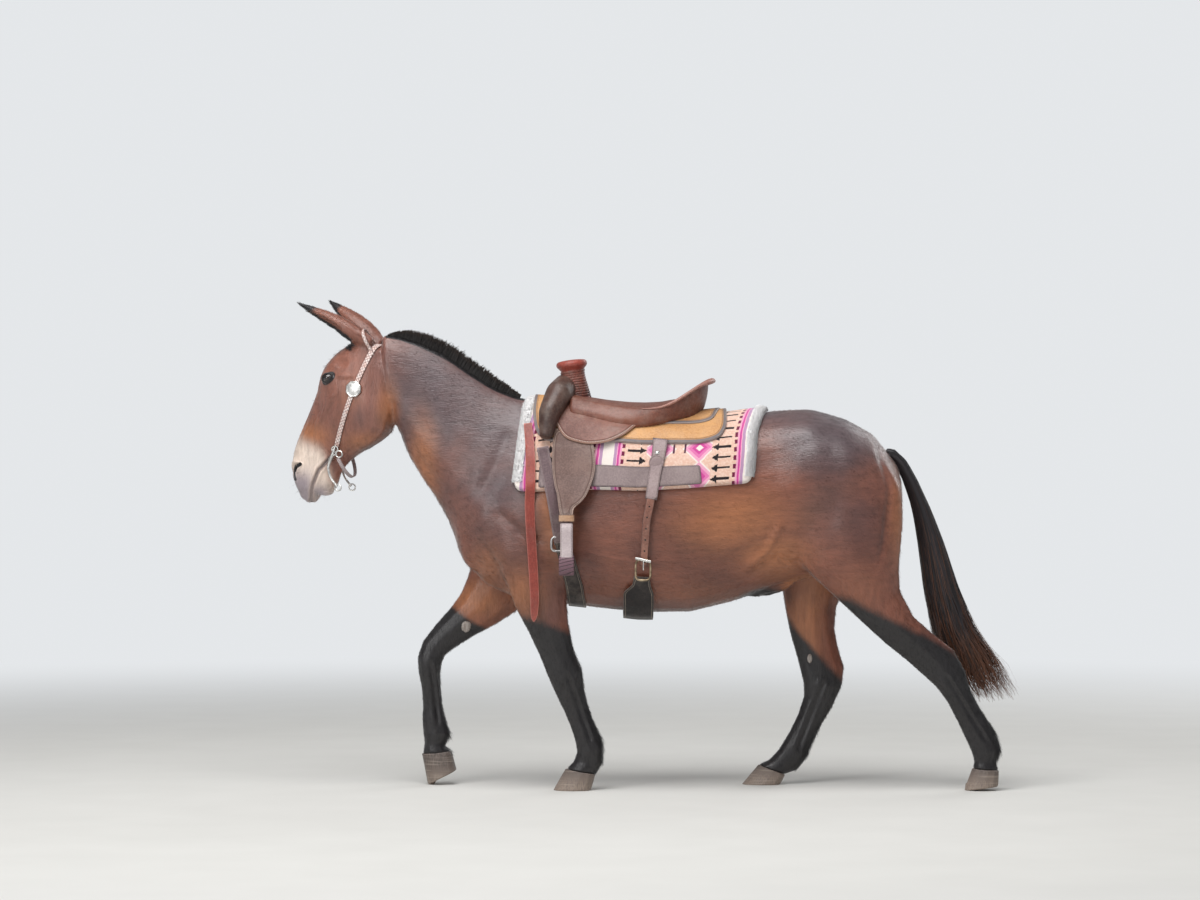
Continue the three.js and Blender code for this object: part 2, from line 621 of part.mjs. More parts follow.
function maneForm() {
  const draw = drawsFrom(41);
  const crest = new THREE.SplineCurve(CREST.map(([x, z]) => new THREE.Vector2(x, z)));
  const heightAt = (t) => {
    const place = t * (MANE_HEIGHTS.length - 1);
    const k = Math.min(Math.floor(place), MANE_HEIGHTS.length - 2);
    return mix(MANE_HEIGHTS[k], MANE_HEIGHTS[k + 1], place - k);
  };
  const locks = Array.from({ length: MANE_LOCKS }, (_, i) => {
    const t = (i + 0.5) / MANE_LOCKS;
    const [{ x, y: z }, way] = [crest.getPoint(t), crest.getTangent(t)];
    const side = (i % 2 ? 1 : -1) * (0.4 + 0.6 * draw());
    const at = (up, lean) => {
      const along = lean * MANE_LEAN;
      const place = [x - way.y * up + way.x * along, z + way.x * up + way.y * along];
      return new THREE.Vector3(place[0], side * MANE_SPREAD * lean, place[1]);
    };
    const height = heightAt(t) * (0.9 + 0.25 * draw());
    const path = [at(-MANE_ROOT, 0), at(height * 0.4, 0.3), at(height, 1)];
    return lock(path, new THREE.Vector3(0, 1, 0), MANE_WIDTHS, MANE_DEPTHS, MANE_TAPER);
  });
  return unite(locks).subtract(body(GAP)).subtract(turned(headForm(GAP)));
}

// Tail: rear edge, front edge, place across and half width, from the dock down to the tips
const TAIL = [
  ring([838, 1268], [806, 1232], 0, 30),
  ring([884, 1250], [868, 1216], 0, 36),
  ring([928, 1210], [886, 1190], 0, 40),
  ring([969, 1136], [914, 1130], 0, 46),
  ring([1021, 1025], [947, 1025], 0, 54),
  ring([1073, 895], [966, 895], 2, 60),
  ring([1126, 735], [985, 729], 4, 64),
  ring([1190, 585], [1014, 575], 6, 66),
  ring([1290, 460], [1050, 440], 8, 58),
  ring([1348, 335], [1106, 311], 10, 34),
];
const TAIL_CORE = 6; // the stations that the dense core passes through
const TAIL_LOCKS = { count: 16, widths: [50, 78, 74, 40], depths: [20, 22, 17, 9], taper: 0.75 };

function tailForm() {
  const draw = drawsFrom(7);
  const stations = refined(TAIL, 4);
  const { count, widths, depths, taper } = TAIL_LOCKS;
  const core = loft(TAIL.slice(0, TAIL_CORE), { around: 8, steps: 1, domes: [10, 60], grow: -4 });
  const locks = Array.from({ length: count }, (_, i) => {
    const turn = (i * 2.4) % (2 * Math.PI);
    const reach = i % 4 === 3 ? 0.35 : 0.86; // three outer locks to each inner one
    const start = mix(0.24, 0.48, i / count);
    const end = i ? mix(0.8, 1, draw()) : 1;
    const bend = 0.25 * (draw() - 0.5);
    const outward = new THREE.Vector3();
    const path = [0, 0.3, 0.6, 0.82, 1].map((share, k) => {
      const place = mix(start, end, share) * (stations.length - 1);
      const { top, under, y, half } = stations[Math.round(place)];
      const out = reach * [0.3, 0.9, 1, 1.05, 1.36][k];
      const angle = turn + bend * k;
      const middle = top.clone().add(under).multiplyScalar(0.5).setY(y);
      const rear = top.clone().sub(under).multiplyScalar((Math.cos(angle) * out) / 2);
      const push = rear.setY(Math.sin(angle) * half * out);
      outward.copy(push);
      return middle.add(push);
    });
    return lock(path, outward.normalize(), widths, depths, taper);
  });
  return unite(core, locks).subtract(body(GAP));
}

// Saddle pad and its wear leathers, skirts and jockeys, as outlines on the body's side
const PAD_OUTLINE = [
  [-470, 1600],
  [-486, 1400],
  [-521, 1112],
  [-506, 1095],
  [-189, 1101],
  [167, 1112],
  [328, 1125],
  [344, 1142],
  [362, 1300],
  [396, 1404],
  [410, 1600],
];
const WEAR_OUTLINE = [
  [-426, 1182],
  [-430, 1102],
  [-189, 1107],
  [163, 1118],
  [156, 1184],
];
const SKIRT_OUTLINE = [
  [-450, 1600],
  [-455, 1370],
  [-440, 1300],
  [-400, 1264],
  [-91, 1258],
  [65, 1255],
  [175, 1258],
  [234, 1276],
  [258, 1312],
  [264, 1400],
  [262, 1600],
];
const REAR_JOCKEY_OUTLINE = [
  [-64, 1318],
  [168, 1318],
  [214, 1332],
  [236, 1364],
  [242, 1420],
  [242, 1600],
  [70, 1600],
  [10, 1392],
  [-34, 1348],
];
const SIDE_JOCKEY_OUTLINE = [
  [-380, 1600],
  [-372, 1330],
  [-330, 1268],
  [-250, 1246],
  [-180, 1252],
  [-115, 1278],
  [-60, 1316],
  [-20, 1352],
  [22, 1390],
  [30, 1600],
];

// Where a ray from the side meets a form, as a distance from the middle. The body is swollen to a layer.
const targets = new Map();
const caster = new THREE.Raycaster();
function reached(key, form, x, z, side) {
  if (!targets.has(key)) targets.set(key, new THREE.Mesh(geometryOf(form())));
  caster.set(new THREE.Vector3(x, side * WIDE, z), new THREE.Vector3(0, -side, 0));
  const [hit] = caster.intersectObject(targets.get(key));
  return hit ? Math.abs(hit.point.y) : 0;
}
const surface = (layer, x, z, side) => reached(layer, () => body(layer), x, z, side);
const headSurface = (x, z, side) => reached("head", headForm, x, z, side);

// How a strap lies: levels of [height, layer it lies on, air under it], from the top down
const lying = (levels) => (x, z, side) => {
  const at = ([, layer, air]) => surface(layer, x, z, side) + air;
  const next = levels.findIndex(([height]) => height < z);
  if (next === 0) return at(levels[0]);
  if (next < 0) return at(levels.at(-1));
  const [upper, lower] = [levels[next - 1], levels[next]];
  return mix(at(lower), at(upper), (z - lower[0]) / (upper[0] - lower[0]));
};

// A flat strap along a side-view path. lie gives its distance from the middle at each place.
function strap(path, widths, side, lie, { thick = STRAP, across = 1, steps = 2, grow = 0 } = {}) {
  const rings = walked(path, widths, steps).map(({ point, way, width }) => {
    const columns = Array.from({ length: across + 1 }, (_, k) => {
      const reach = (k / across - 0.5) * (width + grow * 2);
      const [x, z] = [point.x + way[0] * reach, point.y + way[1] * reach];
      return { x, z, y: lie(x, z, side) };
    });
    const inner = columns.map(({ x, y, z }) => new THREE.Vector3(x, side * (y - grow), z));
    const outer = columns.map(({ x, y, z }) => new THREE.Vector3(x, side * (y + thick + grow), z));
    return [...inner, ...outer.reverse()];
  });
  const total = (points) => points.reduce((sum, p) => sum.add(p), new THREE.Vector3());
  const middle = (points) => total(points).divideScalar(points.length);
  return closedTube(rings.flat(), 2 * (across + 1), middle(rings[0]), middle(rings.at(-1)));
}

// Saddle tree forms: the fork's arch, the horn, and the seat that rises to the cantle
const FORK_ARCH = [
  [-405, -188, 1290],
  [-392, -150, 1385],
  [-354, -80, 1460],
  [-330, 0, 1484],
  [-354, 80, 1460],
  [-392, 150, 1385],
  [-405, 188, 1290],
];
const FORK_RADII = [26, 42, 52, 50, 52, 42, 26];
const HORN_BASE = [-302, 0, 1484];
const HORN_TILT = -7;
const HORN_PROFILE = [
  [0, 0],
  [46, 0],
  [42, 34],
  [37, 54],
  [42, 66],
  [53, 74],
  [55, 84],
  [49, 93],
  [0, 97],
];
const SEAT = [
  ring([-318, 1452], [-318, 1240], 0, 96, 0.5, 2.2, 2),
  ring([-230, 1432], [-230, 1240], 0, 118, 0.6, 2.4, 2),
  ring([-120, 1424], [-120, 1240], 0, 142, 0.6, 2.6, 2),
  ring([0, 1432], [0, 1240], 0, 168, 0.64, 2.8, 2),
  ring([60, 1452], [60, 1240], 0, 172, 0.72, 2.6, 2),
  ring([118, 1480], [112, 1240], 0, 158, 0.78, 2.4, 2),
  ring([164, 1497], [140, 1240], 0, 128, 0.8, 2.4, 2),
  ring([190, 1490], [152, 1240], 0, 84, 0.8, 2.4, 2),
];
const SEAT_DISH = [[-38, 0, 1548], [196, 142, 128]];

const forkRod = (grow) => rod(FORK_ARCH, FORK_RADII, { sides: 10, steps: 1, grow });

function forkForm() {
  const gullet = ball([-440, 0, 1458], [110, 44, 30]);
  return forkRod(0).subtract(gullet).subtract(body(SKIRT_TOP + GAP));
}

function hornForm() {
  const profile = HORN_PROFILE.map(([r, h]) => new THREE.Vector2(r, h));
  const upright = new THREE.LatheGeometry(profile, 12).rotateX(Math.PI / 2);
  const horn = solid(upright.rotateY(degrees(HORN_TILT)).translate(...HORN_BASE));
  return horn.subtract(forkRod(GAP));
}

function seatForm() {
  const [centre, radii] = SEAT_DISH;
  const raised = loft(SEAT, { around: 14, steps: 1, domes: [10, 10] }).subtract(ball(centre, radii, -6, 14));
  const jockeys = shell(JOCKEY_TOP + GAP, SEAT_TOP).intersect(prism(SIDE_JOCKEY_OUTLINE));
  return unite(raised.subtract(body(JOCKEY_TOP + GAP)), jockeys).subtract(forkRod(GAP));
}

// Fenders and stirrups
const FENDER_PATH = [
  [-312, 1330],
  [-306, 1260],
  [-303, 1180],
  [-312, 1100],
  [-328, 1045],
  [-328, 1005],
];
const FENDER_WIDTHS = [120, 150, 156, 120, 62, 44];
const FENDER_LEVELS = [
  [1300, SKIRT_TOP, GAP],
  [1240, SKIRT_TOP, 1],
  [1150, SKIRT_TOP, 4],
  [1005, 0, 82],
];
const STIRRUP = {
  x: -328,
  y: 322,
  depth: 46,
  top: 986,
  bottom: 796,
  topHalf: 36,
  soleHalf: 68,
  wall: 8,
  tread: 22,
};
const STIRRUP_NECK = { half: 17, top: 1004.7, bottom: STIRRUP.top - 6 };

function stirrupForm(side) {
  const { x, y, depth, top, bottom, topHalf, soleHalf, wall, tread } = STIRRUP;
  const outline = (inset, floor, roof) => {
    const shape = new THREE.Shape();
    const [low, high] = [soleHalf - inset, topHalf - inset];
    shape.moveTo(-low, floor + 14);
    shape.quadraticCurveTo(-low, floor, -low + 14, floor);
    shape.lineTo(low - 14, floor);
    shape.quadraticCurveTo(low, floor, low, floor + 14);
    shape.quadraticCurveTo(low, mix(floor, roof, 0.6), high, roof - 10);
    shape.quadraticCurveTo(high - 4, roof, high - 14, roof);
    shape.lineTo(14 - high, roof);
    shape.quadraticCurveTo(4 - high, roof, -high, roof - 10);
    shape.quadraticCurveTo(-low, mix(floor, roof, 0.6), -low, floor + 14);
    return shape;
  };
  const bow = outline(0, bottom, top);
  bow.holes.push(outline(wall, bottom + tread, top - 14));
  const settings = { depth, bevelEnabled: false, curveSegments: 3 };
  const standing = new THREE.ExtrudeGeometry(bow, settings).rotateX(Math.PI / 2).rotateZ(Math.PI / 2);
  const placed = solid(standing.translate(x - depth / 2, side * y, 0));
  const { half, top: neckTop, bottom: neckBottom } = STIRRUP_NECK;
  const deep = depth / 2 + 4;
  const neck = block([x - deep, side * y - half, neckBottom], [x + deep, side * y + half, neckTop]);
  return unite(placed, neck);
}

// Cinches, billets and the hanging latigo
const LATIGO_PATH = [
  [-416, 1258],
  [-404, 1190],
  [-380, 1075],
  [-364, 980],
  [-352, 912],
];
const LATIGO_LEVELS = [
  [1262, SKIRT_TOP, 4],
  [1230, WEAR_TOP, 4],
  [1092, WEAR_TOP, 3],
  [1000, 0, 12],
  [930, 0, 4],
];
const CINCH_PATH = [
  [-350, 908],
  [-328, 830],
  [-302, 760],
  [-290, 700],
  [-290, 600],
];
const CINCH_WIDTHS = [52, 62, 66, 66, 66];
const HANGING_PATH = [
  [-472, 1345],
  [-462, 1247],
  [-460, 1138],
  [-463, 1040],
  [-457, 920],
  [-450, 811],
  [-445, 703],
  [-448, 628],
];
const HANGING_WIDTHS = [30, 34, 36, 36, 35, 34, 30, 6];
const ELBOW_HEIGHTS = [960, 920, 880, 840]; // where the strap would touch the elbow
const PAD_EDGE_Z = 1095;
const BILLET_PATH = [
  [14, 1288],
  [6, 1230],
  [-8, 1160],
  [-22, 1068],
];
const BILLET_WIDTHS = [56, 48, 46, 44];
const BILLET_LEVELS = [
  [1300, SKIRT_TOP, 2],
  [1250, SKIRT_TOP, 2],
  [1220, WEAR_TOP, 3],
  [1104, WEAR_TOP, 2],
  [1050, WEAR_TOP, 0],
];
const BILLET_TIP_PATH = [
  [-30, 1066],
  [-38, 990],
  [-44, 900],
  [-49, 822],
];
const FLANK_TOP = 7;
const TIP_AIR = 0.8; // between the strap's end and the rear cinch that it lies on
const BILLET_TIP_LEVELS = [
  [1060, WEAR_TOP, -2],
  [960, FLANK_TOP, 10],
  [880, FLANK_TOP, 11],
];
const FLANK_BUCKLE = { x: -51, z: 816, width: 60, height: 88, bar: 8, thick: 6 };
const FLANK_OUTLINE = [
  [-84, 850],
  [-22, 848],
  [-12, 822],
  [-10, 500],
  [-120, 500],
  [-122, 832],
];
const BUCKLE_AIR = 0.5; // between the strap's end and the ring over it
const FLANK_SLACK = 27; // how far the rear cinch hangs below the belly
const FLANK_STEPS = 3;

function flankCinchForm() {
  const slung = (grow) => {
    const drops = Array.from({ length: FLANK_STEPS + 1 }, (_, i) => (-FLANK_SLACK * i) / FLANK_STEPS);
    return unite(drops.map((drop) => moved(body(grow), shift(0, 0, drop))));
  };
  return slung(FLANK_TOP).subtract(slung(GAP)).intersect(prism(FLANK_OUTLINE)).subtract(body(GAP));
}

// A flat buckle or ring that faces sideways: an outline with a window in it
function frameForm({ x, z, width, height, bar, thick }, side, y) {
  const [w, h] = [width / 2, height / 2];
  const box = (dw, dh) => {
    const [a, b] = [w - dw, h - dh];
    const c = Math.min(a, b) * 0.4;
    const half = [[-a, c - b], [c - a, -b], [a - c, -b], [a, c - b]];
    return [...half, ...half.map(([dx, dz]) => [-dx, -dz])];
  };
  const placed = (outline) => outline.map(([dx, dz]) => [x + dx, z + dz]);
  const [near, far] = [side * y, side * (y + thick)].sort((p, q) => p - q);
  return prism(placed(box(0, 0)), near, far).subtract(prism(placed(box(bar, bar)), near - 1, far + 1));
}

// Round or eight-sided silver discs, backed by what they lie on
function disc(x, z, radius, sides, side, out, backing) {
  const points = Array.from({ length: sides }, (_, i) => {
    const a = (2 * Math.PI * (i + 0.5)) / sides;
    return [x + Math.cos(a) * radius, z + Math.sin(a) * radius];
  });
  const [near, far] = [side * (out - 30), side * out].sort((p, q) => p - q);
  return prism(points, near, far).subtract(backing);
}

function addMane() {
  add("mane", maneForm(), HAIR);
  add("tail", tailForm(), HAIR);
}

function addSaddle() {
  add("saddle_pad", shell(GAP, PAD_TOP).intersect(prism(PAD_OUTLINE)), WOOL);
  add("saddle_skirts", shell(PAD_TOP + GAP, SKIRT_TOP).intersect(prism(SKIRT_OUTLINE)), TAN);
  const fork = forkForm();
  const seat = seatForm();
  add("saddle_fork", fork, BROWN);
  add("saddle_horn", hornForm(), RUSSET);
  add("saddle_seat", seat, BROWN);
  const seatRoom = loft(SEAT, { around: 14, steps: 1, domes: [10, 10], grow: GAP });
  for (const [name, side] of Object.entries(SIDES)) {
    const wear = shell(PAD_TOP + GAP, WEAR_TOP).intersect(sidePrism(WEAR_OUTLINE, side));
    add(`wear_leather_${name}`, wear, GREY_LEATHER);
    const jockey = shell(SKIRT_TOP + GAP, JOCKEY_TOP).intersect(sidePrism(REAR_JOCKEY_OUTLINE, side));
    add(`rear_jockey_${name}`, jockey.subtract(seatRoom), TAN);
    const lie = lying(FENDER_LEVELS);
    const fender = strap(FENDER_PATH, FENDER_WIDTHS, side, lie, { thick: 5, across: 3 });
    const covered = unite(body(SKIRT_TOP + GAP), forkRod(GAP), moved(seat, shift(0, 0, -GAP)), seat);
    add(`fender_${name}`, fender.subtract(covered), BROWN);
    add(`stirrup_${name}`, stirrupForm(side), GREY_LEATHER);
  }
}

function addCinches() {
  const cinchPrism = prism(band(CINCH_PATH, CINCH_WIDTHS));
  const cinch = shell(GAP, CINCH_TOP).intersect(cinchPrism);
  const wearRoom = body(WEAR_TOP + GAP).intersect(prism(WEAR_OUTLINE));
  const flank = flankCinchForm();
  add("front_cinch", cinch, BLACK_LEATHER);
  add("flank_cinch", flank, BLACK_LEATHER);
  const clearance = [[0, GAP, 0], [0, -GAP, 0], [0, 0, GAP]];
  const flankRoom = unite(flank, clearance.map((push) => moved(flank, shift(...push))));
  for (const [name, side] of Object.entries(SIDES)) {
    const latigo = strap(LATIGO_PATH, [44, 42], side, lying(LATIGO_LEVELS));
    const under = unite(wearRoom, body(CINCH_TOP + GAP).intersect(cinchPrism));
    add(`latigo_${name}`, latigo.subtract(under), BROWN);
    const billet = strap(BILLET_PATH, BILLET_WIDTHS, side, lying(BILLET_LEVELS), { across: 2 });
    const onCinch = (x, z) => reached("flank", () => flank, x, z, side) + TIP_AIR;
    const tipLie = (x, z) => Math.max(lying(BILLET_TIP_LEVELS)(x, z, side), onCinch(x, z));
    const tip = strap(BILLET_TIP_PATH, [30, 28], side, tipLie, { steps: 3 });
    const { x, z, height } = FLANK_BUCKLE;
    const buckleY = tipLie(x, z + height / 2) + STRAP + BUCKLE_AIR;
    const buckle = frameForm(FLANK_BUCKLE, side, buckleY);
    add(`billet_${name}`, billet.subtract(wearRoom), GREY_LEATHER);
    add(`billet_tip_${name}`, tip.subtract(flankRoom), BROWN);
    add(`flank_buckle_${name}`, buckle, SILVER);
  }
  const freeY = 4 + Math.max(...ELBOW_HEIGHTS.map((z) => surface(0, -450, z, LEFT)));
  const hang = (x, z, side) => (z > PAD_EDGE_Z ? surface(PAD_TOP, x, z, side) + 3 : freeY);
  const hanging = strap(HANGING_PATH, HANGING_WIDTHS, LEFT, hang);
  const padRoom = body(PAD_TOP + GAP).intersect(prism(PAD_OUTLINE));
  add("hanging_latigo", hanging.subtract(padRoom), RUSSET);
}

// Headstall, in the head's own frame: crown and cheeks in one, then the ear loop, discs and bit
const CROWN_PATH = [
  [-980, 1745],
  [-1000, 1690],
  [-1020, 1633],
  [-1050, 1554],
];
const CHEEK_AIR = 2;
const CHEEK_PATH = [
  [-1040, 1578],
  [-1067, 1512],
  [-1083, 1471],
  [-1112, 1394],
  [-1140, 1328],
  [-1165, 1262],
];
const CHEEK_WIDTH = 19;
const CHEEK_DISC = { x: -1083, z: 1471, radius: 31 };
const EAR_LOOP_PATH = [
  [-1078, 1735],
  [-1052, 1672],
  [-1030, 1610],
];
const BIT_CHEEK = [
  [-1166, 1256],
  [-1171, 1240],
  [-1186, 1206],
  [-1190, 1180],
  [-1181, 1144],
  [-1158, 1110],
];
const BIT_OUT = 70; // the bit's cheeks stand this far from the middle
const BIT_ROD = 5;

function headgear() {
  const over = (grow) => unite(headForm(grow), neckLoft(grow));
  const widths = [CHEEK_WIDTH, CHEEK_WIDTH];
  const crown = over(STRAP + GAP).subtract(over(GAP)).intersect(prism(band(CROWN_PATH, widths)));
  const cheek = (x, z, side) => headSurface(x, z, side) + CHEEK_AIR;
  const cheekStraps = onBothSides((side) => strap(CHEEK_PATH, widths, side, cheek, { steps: 1 }));
  const ears = Object.entries(EARS).map(([name, place]) => earLeaf(place, SIDES[name], -GAP, EAR_ROOT, 0));
  const headstall = unite(crown, cheekStraps).subtract(unite(ears, headForm(GAP)));
  const loopShell = earLeaf(EARS.left, LEFT, -STRAP, EAR_ROOT, 0).subtract(ears[0]);
  const loopBand = prism(band(EAR_LOOP_PATH, [14, 14]), -WIDE, 20);
  const wholeStrap = prism(band(CROWN_PATH.concat(CHEEK_PATH.slice(1)), widths));
  const headstallRoom = over(STRAP + CHEEK_AIR + GAP * 2).intersect(wholeStrap);
  const loop = loopShell.intersect(loopBand).subtract(unite(headForm(GAP), headstallRoom));
  const clear = neckLoft(GAP);
  add("headstall", turned(headstall).subtract(clear), RAWHIDE);
  add("ear_loop", turned(loop).subtract(clear), RAWHIDE);
  const backing = over(STRAP + CHEEK_AIR + GAP);
  for (const [name, side] of Object.entries(SIDES)) {
    const { x, z, radius } = CHEEK_DISC;
    add(`cheek_disc_${name}`, turned(disc(x, z, radius, 8, side, 112, backing)), SILVER);
  }
  const cheeks = onBothSides((side) =>
    rod(BIT_CHEEK.map(([x, z]) => [x, side * BIT_OUT, z]), [BIT_ROD, BIT_ROD], { sides: 6, steps: 1 }),
  );
  add("bit", turned(unite(cheeks, barRod(BAR_RADIUS, BIT_OUT))), SILVER);
}

addTrunk();
addLegs();
addEyesAndEars();
addMane();
addSaddle();
addCinches();
headgear();

export default mule;
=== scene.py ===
# %% [markdown]
# # A saddled bay mule, life size
# The solids of this part are packed already: flesh, hooves, mane, tail, saddle and bridle, each in
# its real place. This lesson dresses them. The flesh becomes one smooth skin with muscles, lids and
# nostrils, the hair becomes thousands of fine locks, and each piece of tack is modelled again with
# its stitches, lacing and wear. Everything is in metres, in the solids' own frame.

# %% Load the frame
import json
import math

import bpy
import numpy as np
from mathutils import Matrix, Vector, geometry
from mathutils.bvhtree import BVHTree

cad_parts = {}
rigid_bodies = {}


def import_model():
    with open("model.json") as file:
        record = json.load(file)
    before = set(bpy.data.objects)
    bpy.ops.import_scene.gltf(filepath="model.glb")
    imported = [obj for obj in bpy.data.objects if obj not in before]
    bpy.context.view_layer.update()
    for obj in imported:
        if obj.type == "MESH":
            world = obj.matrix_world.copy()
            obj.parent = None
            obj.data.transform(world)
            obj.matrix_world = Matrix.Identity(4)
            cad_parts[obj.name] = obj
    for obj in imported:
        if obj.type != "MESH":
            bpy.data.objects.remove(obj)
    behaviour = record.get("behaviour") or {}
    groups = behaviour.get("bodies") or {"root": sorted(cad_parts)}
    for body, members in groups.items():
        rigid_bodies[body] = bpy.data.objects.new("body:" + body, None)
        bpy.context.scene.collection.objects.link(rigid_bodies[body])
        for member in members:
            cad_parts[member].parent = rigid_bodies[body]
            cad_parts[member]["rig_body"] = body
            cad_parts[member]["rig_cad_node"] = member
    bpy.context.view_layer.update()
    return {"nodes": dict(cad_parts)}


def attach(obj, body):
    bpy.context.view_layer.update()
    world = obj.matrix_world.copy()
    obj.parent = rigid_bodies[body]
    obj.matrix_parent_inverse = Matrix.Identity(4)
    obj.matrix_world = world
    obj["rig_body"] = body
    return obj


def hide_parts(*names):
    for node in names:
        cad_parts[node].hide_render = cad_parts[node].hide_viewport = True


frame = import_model()
nodes = frame["nodes"]
MM = 0.001
SIDES = {"left": -1, "right": 1}  # the sign of the crosswise axis on each side

# %% [markdown]
# ## Camera and studio
# The animal was seen from far away with a long lens, level with its shoulder, so the picture is
# almost without perspective. The lens follows from the distance and from how many metres of mule
# one pixel holds. The floor is one large disc that fades into the sky colour, so no horizon shows.

# %% Camera
CAMERA_DISTANCE = 14.0
CAMERA_HEIGHT = 1.247
CAMERA_X = -0.207
IMAGE_WIDTH = 1200
METRES_PER_PIXEL = 0.0037
SENSOR = 36

bpy.ops.object.camera_add(
    location=(CAMERA_X, -CAMERA_DISTANCE, CAMERA_HEIGHT), rotation=(math.pi / 2, 0, 0)
)
camera = bpy.context.object
camera.data.sensor_width = SENSOR
camera.data.lens = SENSOR * CAMERA_DISTANCE / (IMAGE_WIDTH * METRES_PER_PIXEL)
camera.data.clip_end = 200
bpy.context.scene.camera = camera
print("lens", round(camera.data.lens, 1), "mm")

# %% Small helpers for node trees
def put(tree, socket, value):
    """Links an output to a socket, or sets a plain value there. A colour is red, green and blue."""
    if isinstance(value, bpy.types.NodeSocket):
        tree.links.new(value, socket)
    else:
        socket.default_value = (*value, 1) if socket.type == "RGBA" else value


def place(tree, kind, inputs=None, **settings):
    """A new node with its settings, and each named input either linked or set."""
    made = tree.nodes.new(kind)
    for name, value in settings.items():
        setattr(made, name, value)
    for name, value in (inputs or {}).items():
        put(tree, made.inputs[name], value)
    return made


def new_material(name, **principled):
    """A material with its Principled shader, and plain values on that shader's own sockets."""
    material = bpy.data.materials.new(name)
    material.use_nodes = True
    shader = material.node_tree.nodes["Principled BSDF"]
    for key, value in principled.items():
        shader.inputs[key.replace("_", " ")].default_value = value
    return material, material.node_tree, shader


def paint(tree, shader, tone, height=None, strength=0.5, distance=0.001):
    """Gives a shader its colour, and bumps if there is a height."""
    put(tree, shader.inputs["Base Color"], tone)
    if height is not None:
        inputs = {"Height": height, "Strength": strength, "Distance": distance}
        put(tree, shader.inputs["Normal"], place(tree, "ShaderNodeBump", inputs).outputs[0])


def mixed(tree, share, first, second, blend="MIX"):
    """One colour mixed with another by a share between 0 and 1."""
    inputs = {0: share, 6: first, 7: second}
    return place(tree, "ShaderNodeMix", inputs, data_type="RGBA", blend_type=blend).outputs[2]


def shaded(tree, tone, value):
    """A colour made darker or paler by a value round 1."""
    grey = place(tree, "ShaderNodeCombineColor", {0: value, 1: value, 2: value}).outputs[0]
    return mixed(tree, 1.0, tone, grey, "MULTIPLY")


def maths(tree, operation, *values):
    return place(tree, "ShaderNodeMath", dict(enumerate(values)), operation=operation).outputs[0]


def times(tree, first, second):
    return maths(tree, "MULTIPLY", first, second)


def minus(tree, first, second):
    return maths(tree, "SUBTRACT", first, second)


def times_plus(tree, first, second, third):
    return maths(tree, "MULTIPLY_ADD", first, second, third)


def apart(tree, first, second):
    """How far two values are from each other."""
    return maths(tree, "ABSOLUTE", minus(tree, first, second))


def to_and_fro(tree, value, size):
    """Runs from 0.5 to 0 and back to 0.5, once in each size."""
    return apart(tree, maths(tree, "FRACT", maths(tree, "DIVIDE", value, size)), 0.5)


def ranged(tree, value, low, high, to_low=0.0, to_high=1.0):
    """A value taken from one range to another, smoothly and without leaving it."""
    inputs = {"Value": value, "From Min": low, "From Max": high, "To Min": to_low, "To Max": to_high}
    return place(tree, "ShaderNodeMapRange", inputs, interpolation_type="SMOOTHSTEP").outputs["Result"]


def fading(tree, value, low, high):
    """1 up to low, and from there down to 0 at high."""
    return minus(tree, 1.0, ranged(tree, value, low, high))


def object_place(tree):
    return place(tree, "ShaderNodeTexCoord").outputs["Object"]


def attribute(tree, name):
    """A value that is stored on the points of the mesh."""
    return place(tree, "ShaderNodeAttribute", attribute_name=name).outputs["Fac"]


def length_of(tree, vector):
    return place(tree, "ShaderNodeVectorMath", {0: vector}, operation="LENGTH").outputs["Value"]


def noise(tree, vector, scale, detail=2.0, **more):
    """A cloudy value that wanders round 0.5."""
    inputs = {"Vector": vector, "Scale": scale, "Detail": detail, **more}
    return place(tree, "ShaderNodeTexNoise", inputs).outputs["Fac"]


def stretched(tree, vector, scale, tilt=0):
    """Coordinates tilted and then scaled, so that a noise on them runs in streaks."""
    inputs = {"Vector": vector, "Rotation": (0, math.radians(tilt), 0), "Scale": scale}
    return place(tree, "ShaderNodeMapping", inputs).outputs["Vector"]

# %% Floor, sky and lights
FLOOR_RADIUS = 60
SKY = (0.78, 0.80, 0.82)
SKY_LIGHT = 0.42  # how strongly the sky lights the mule, against how bright it looks
LIGHTS_AIM = (0, 0, 0.9)


def make_floor():
    bpy.ops.mesh.primitive_circle_add(vertices=96, radius=FLOOR_RADIUS, fill_type="NGON")
    floor = bpy.context.object
    floor.name = "floor"
    material, tree, shader = new_material("pale floor", Roughness=0.9)
    where = object_place(tree)
    paint(tree, shader, mixed(tree, noise(tree, where, 3.0, 4.0), (0.62, 0.61, 0.58), (0.68, 0.67, 0.64)))
    glow = place(tree, "ShaderNodeEmission", {"Color": SKY, "Strength": 1.0})
    fade = ranged(tree, length_of(tree, where), 2.6, 9.0)
    both = place(tree, "ShaderNodeMixShader", {0: fade, 1: shader.outputs[0], 2: glow.outputs[0]})
    put(tree, tree.nodes["Material Output"].inputs["Surface"], both.outputs[0])
    floor.data.materials.append(material)


def add_softbox(name, location, size, power):
    bpy.ops.object.light_add(type="AREA", location=location)
    light = bpy.context.object
    light.name = name
    light.data.shape = "DISK"
    light.data.size = size
    light.data.energy = power
    light.rotation_euler = (Vector(LIGHTS_AIM) - Vector(location)).to_track_quat("-Z", "Y").to_euler()


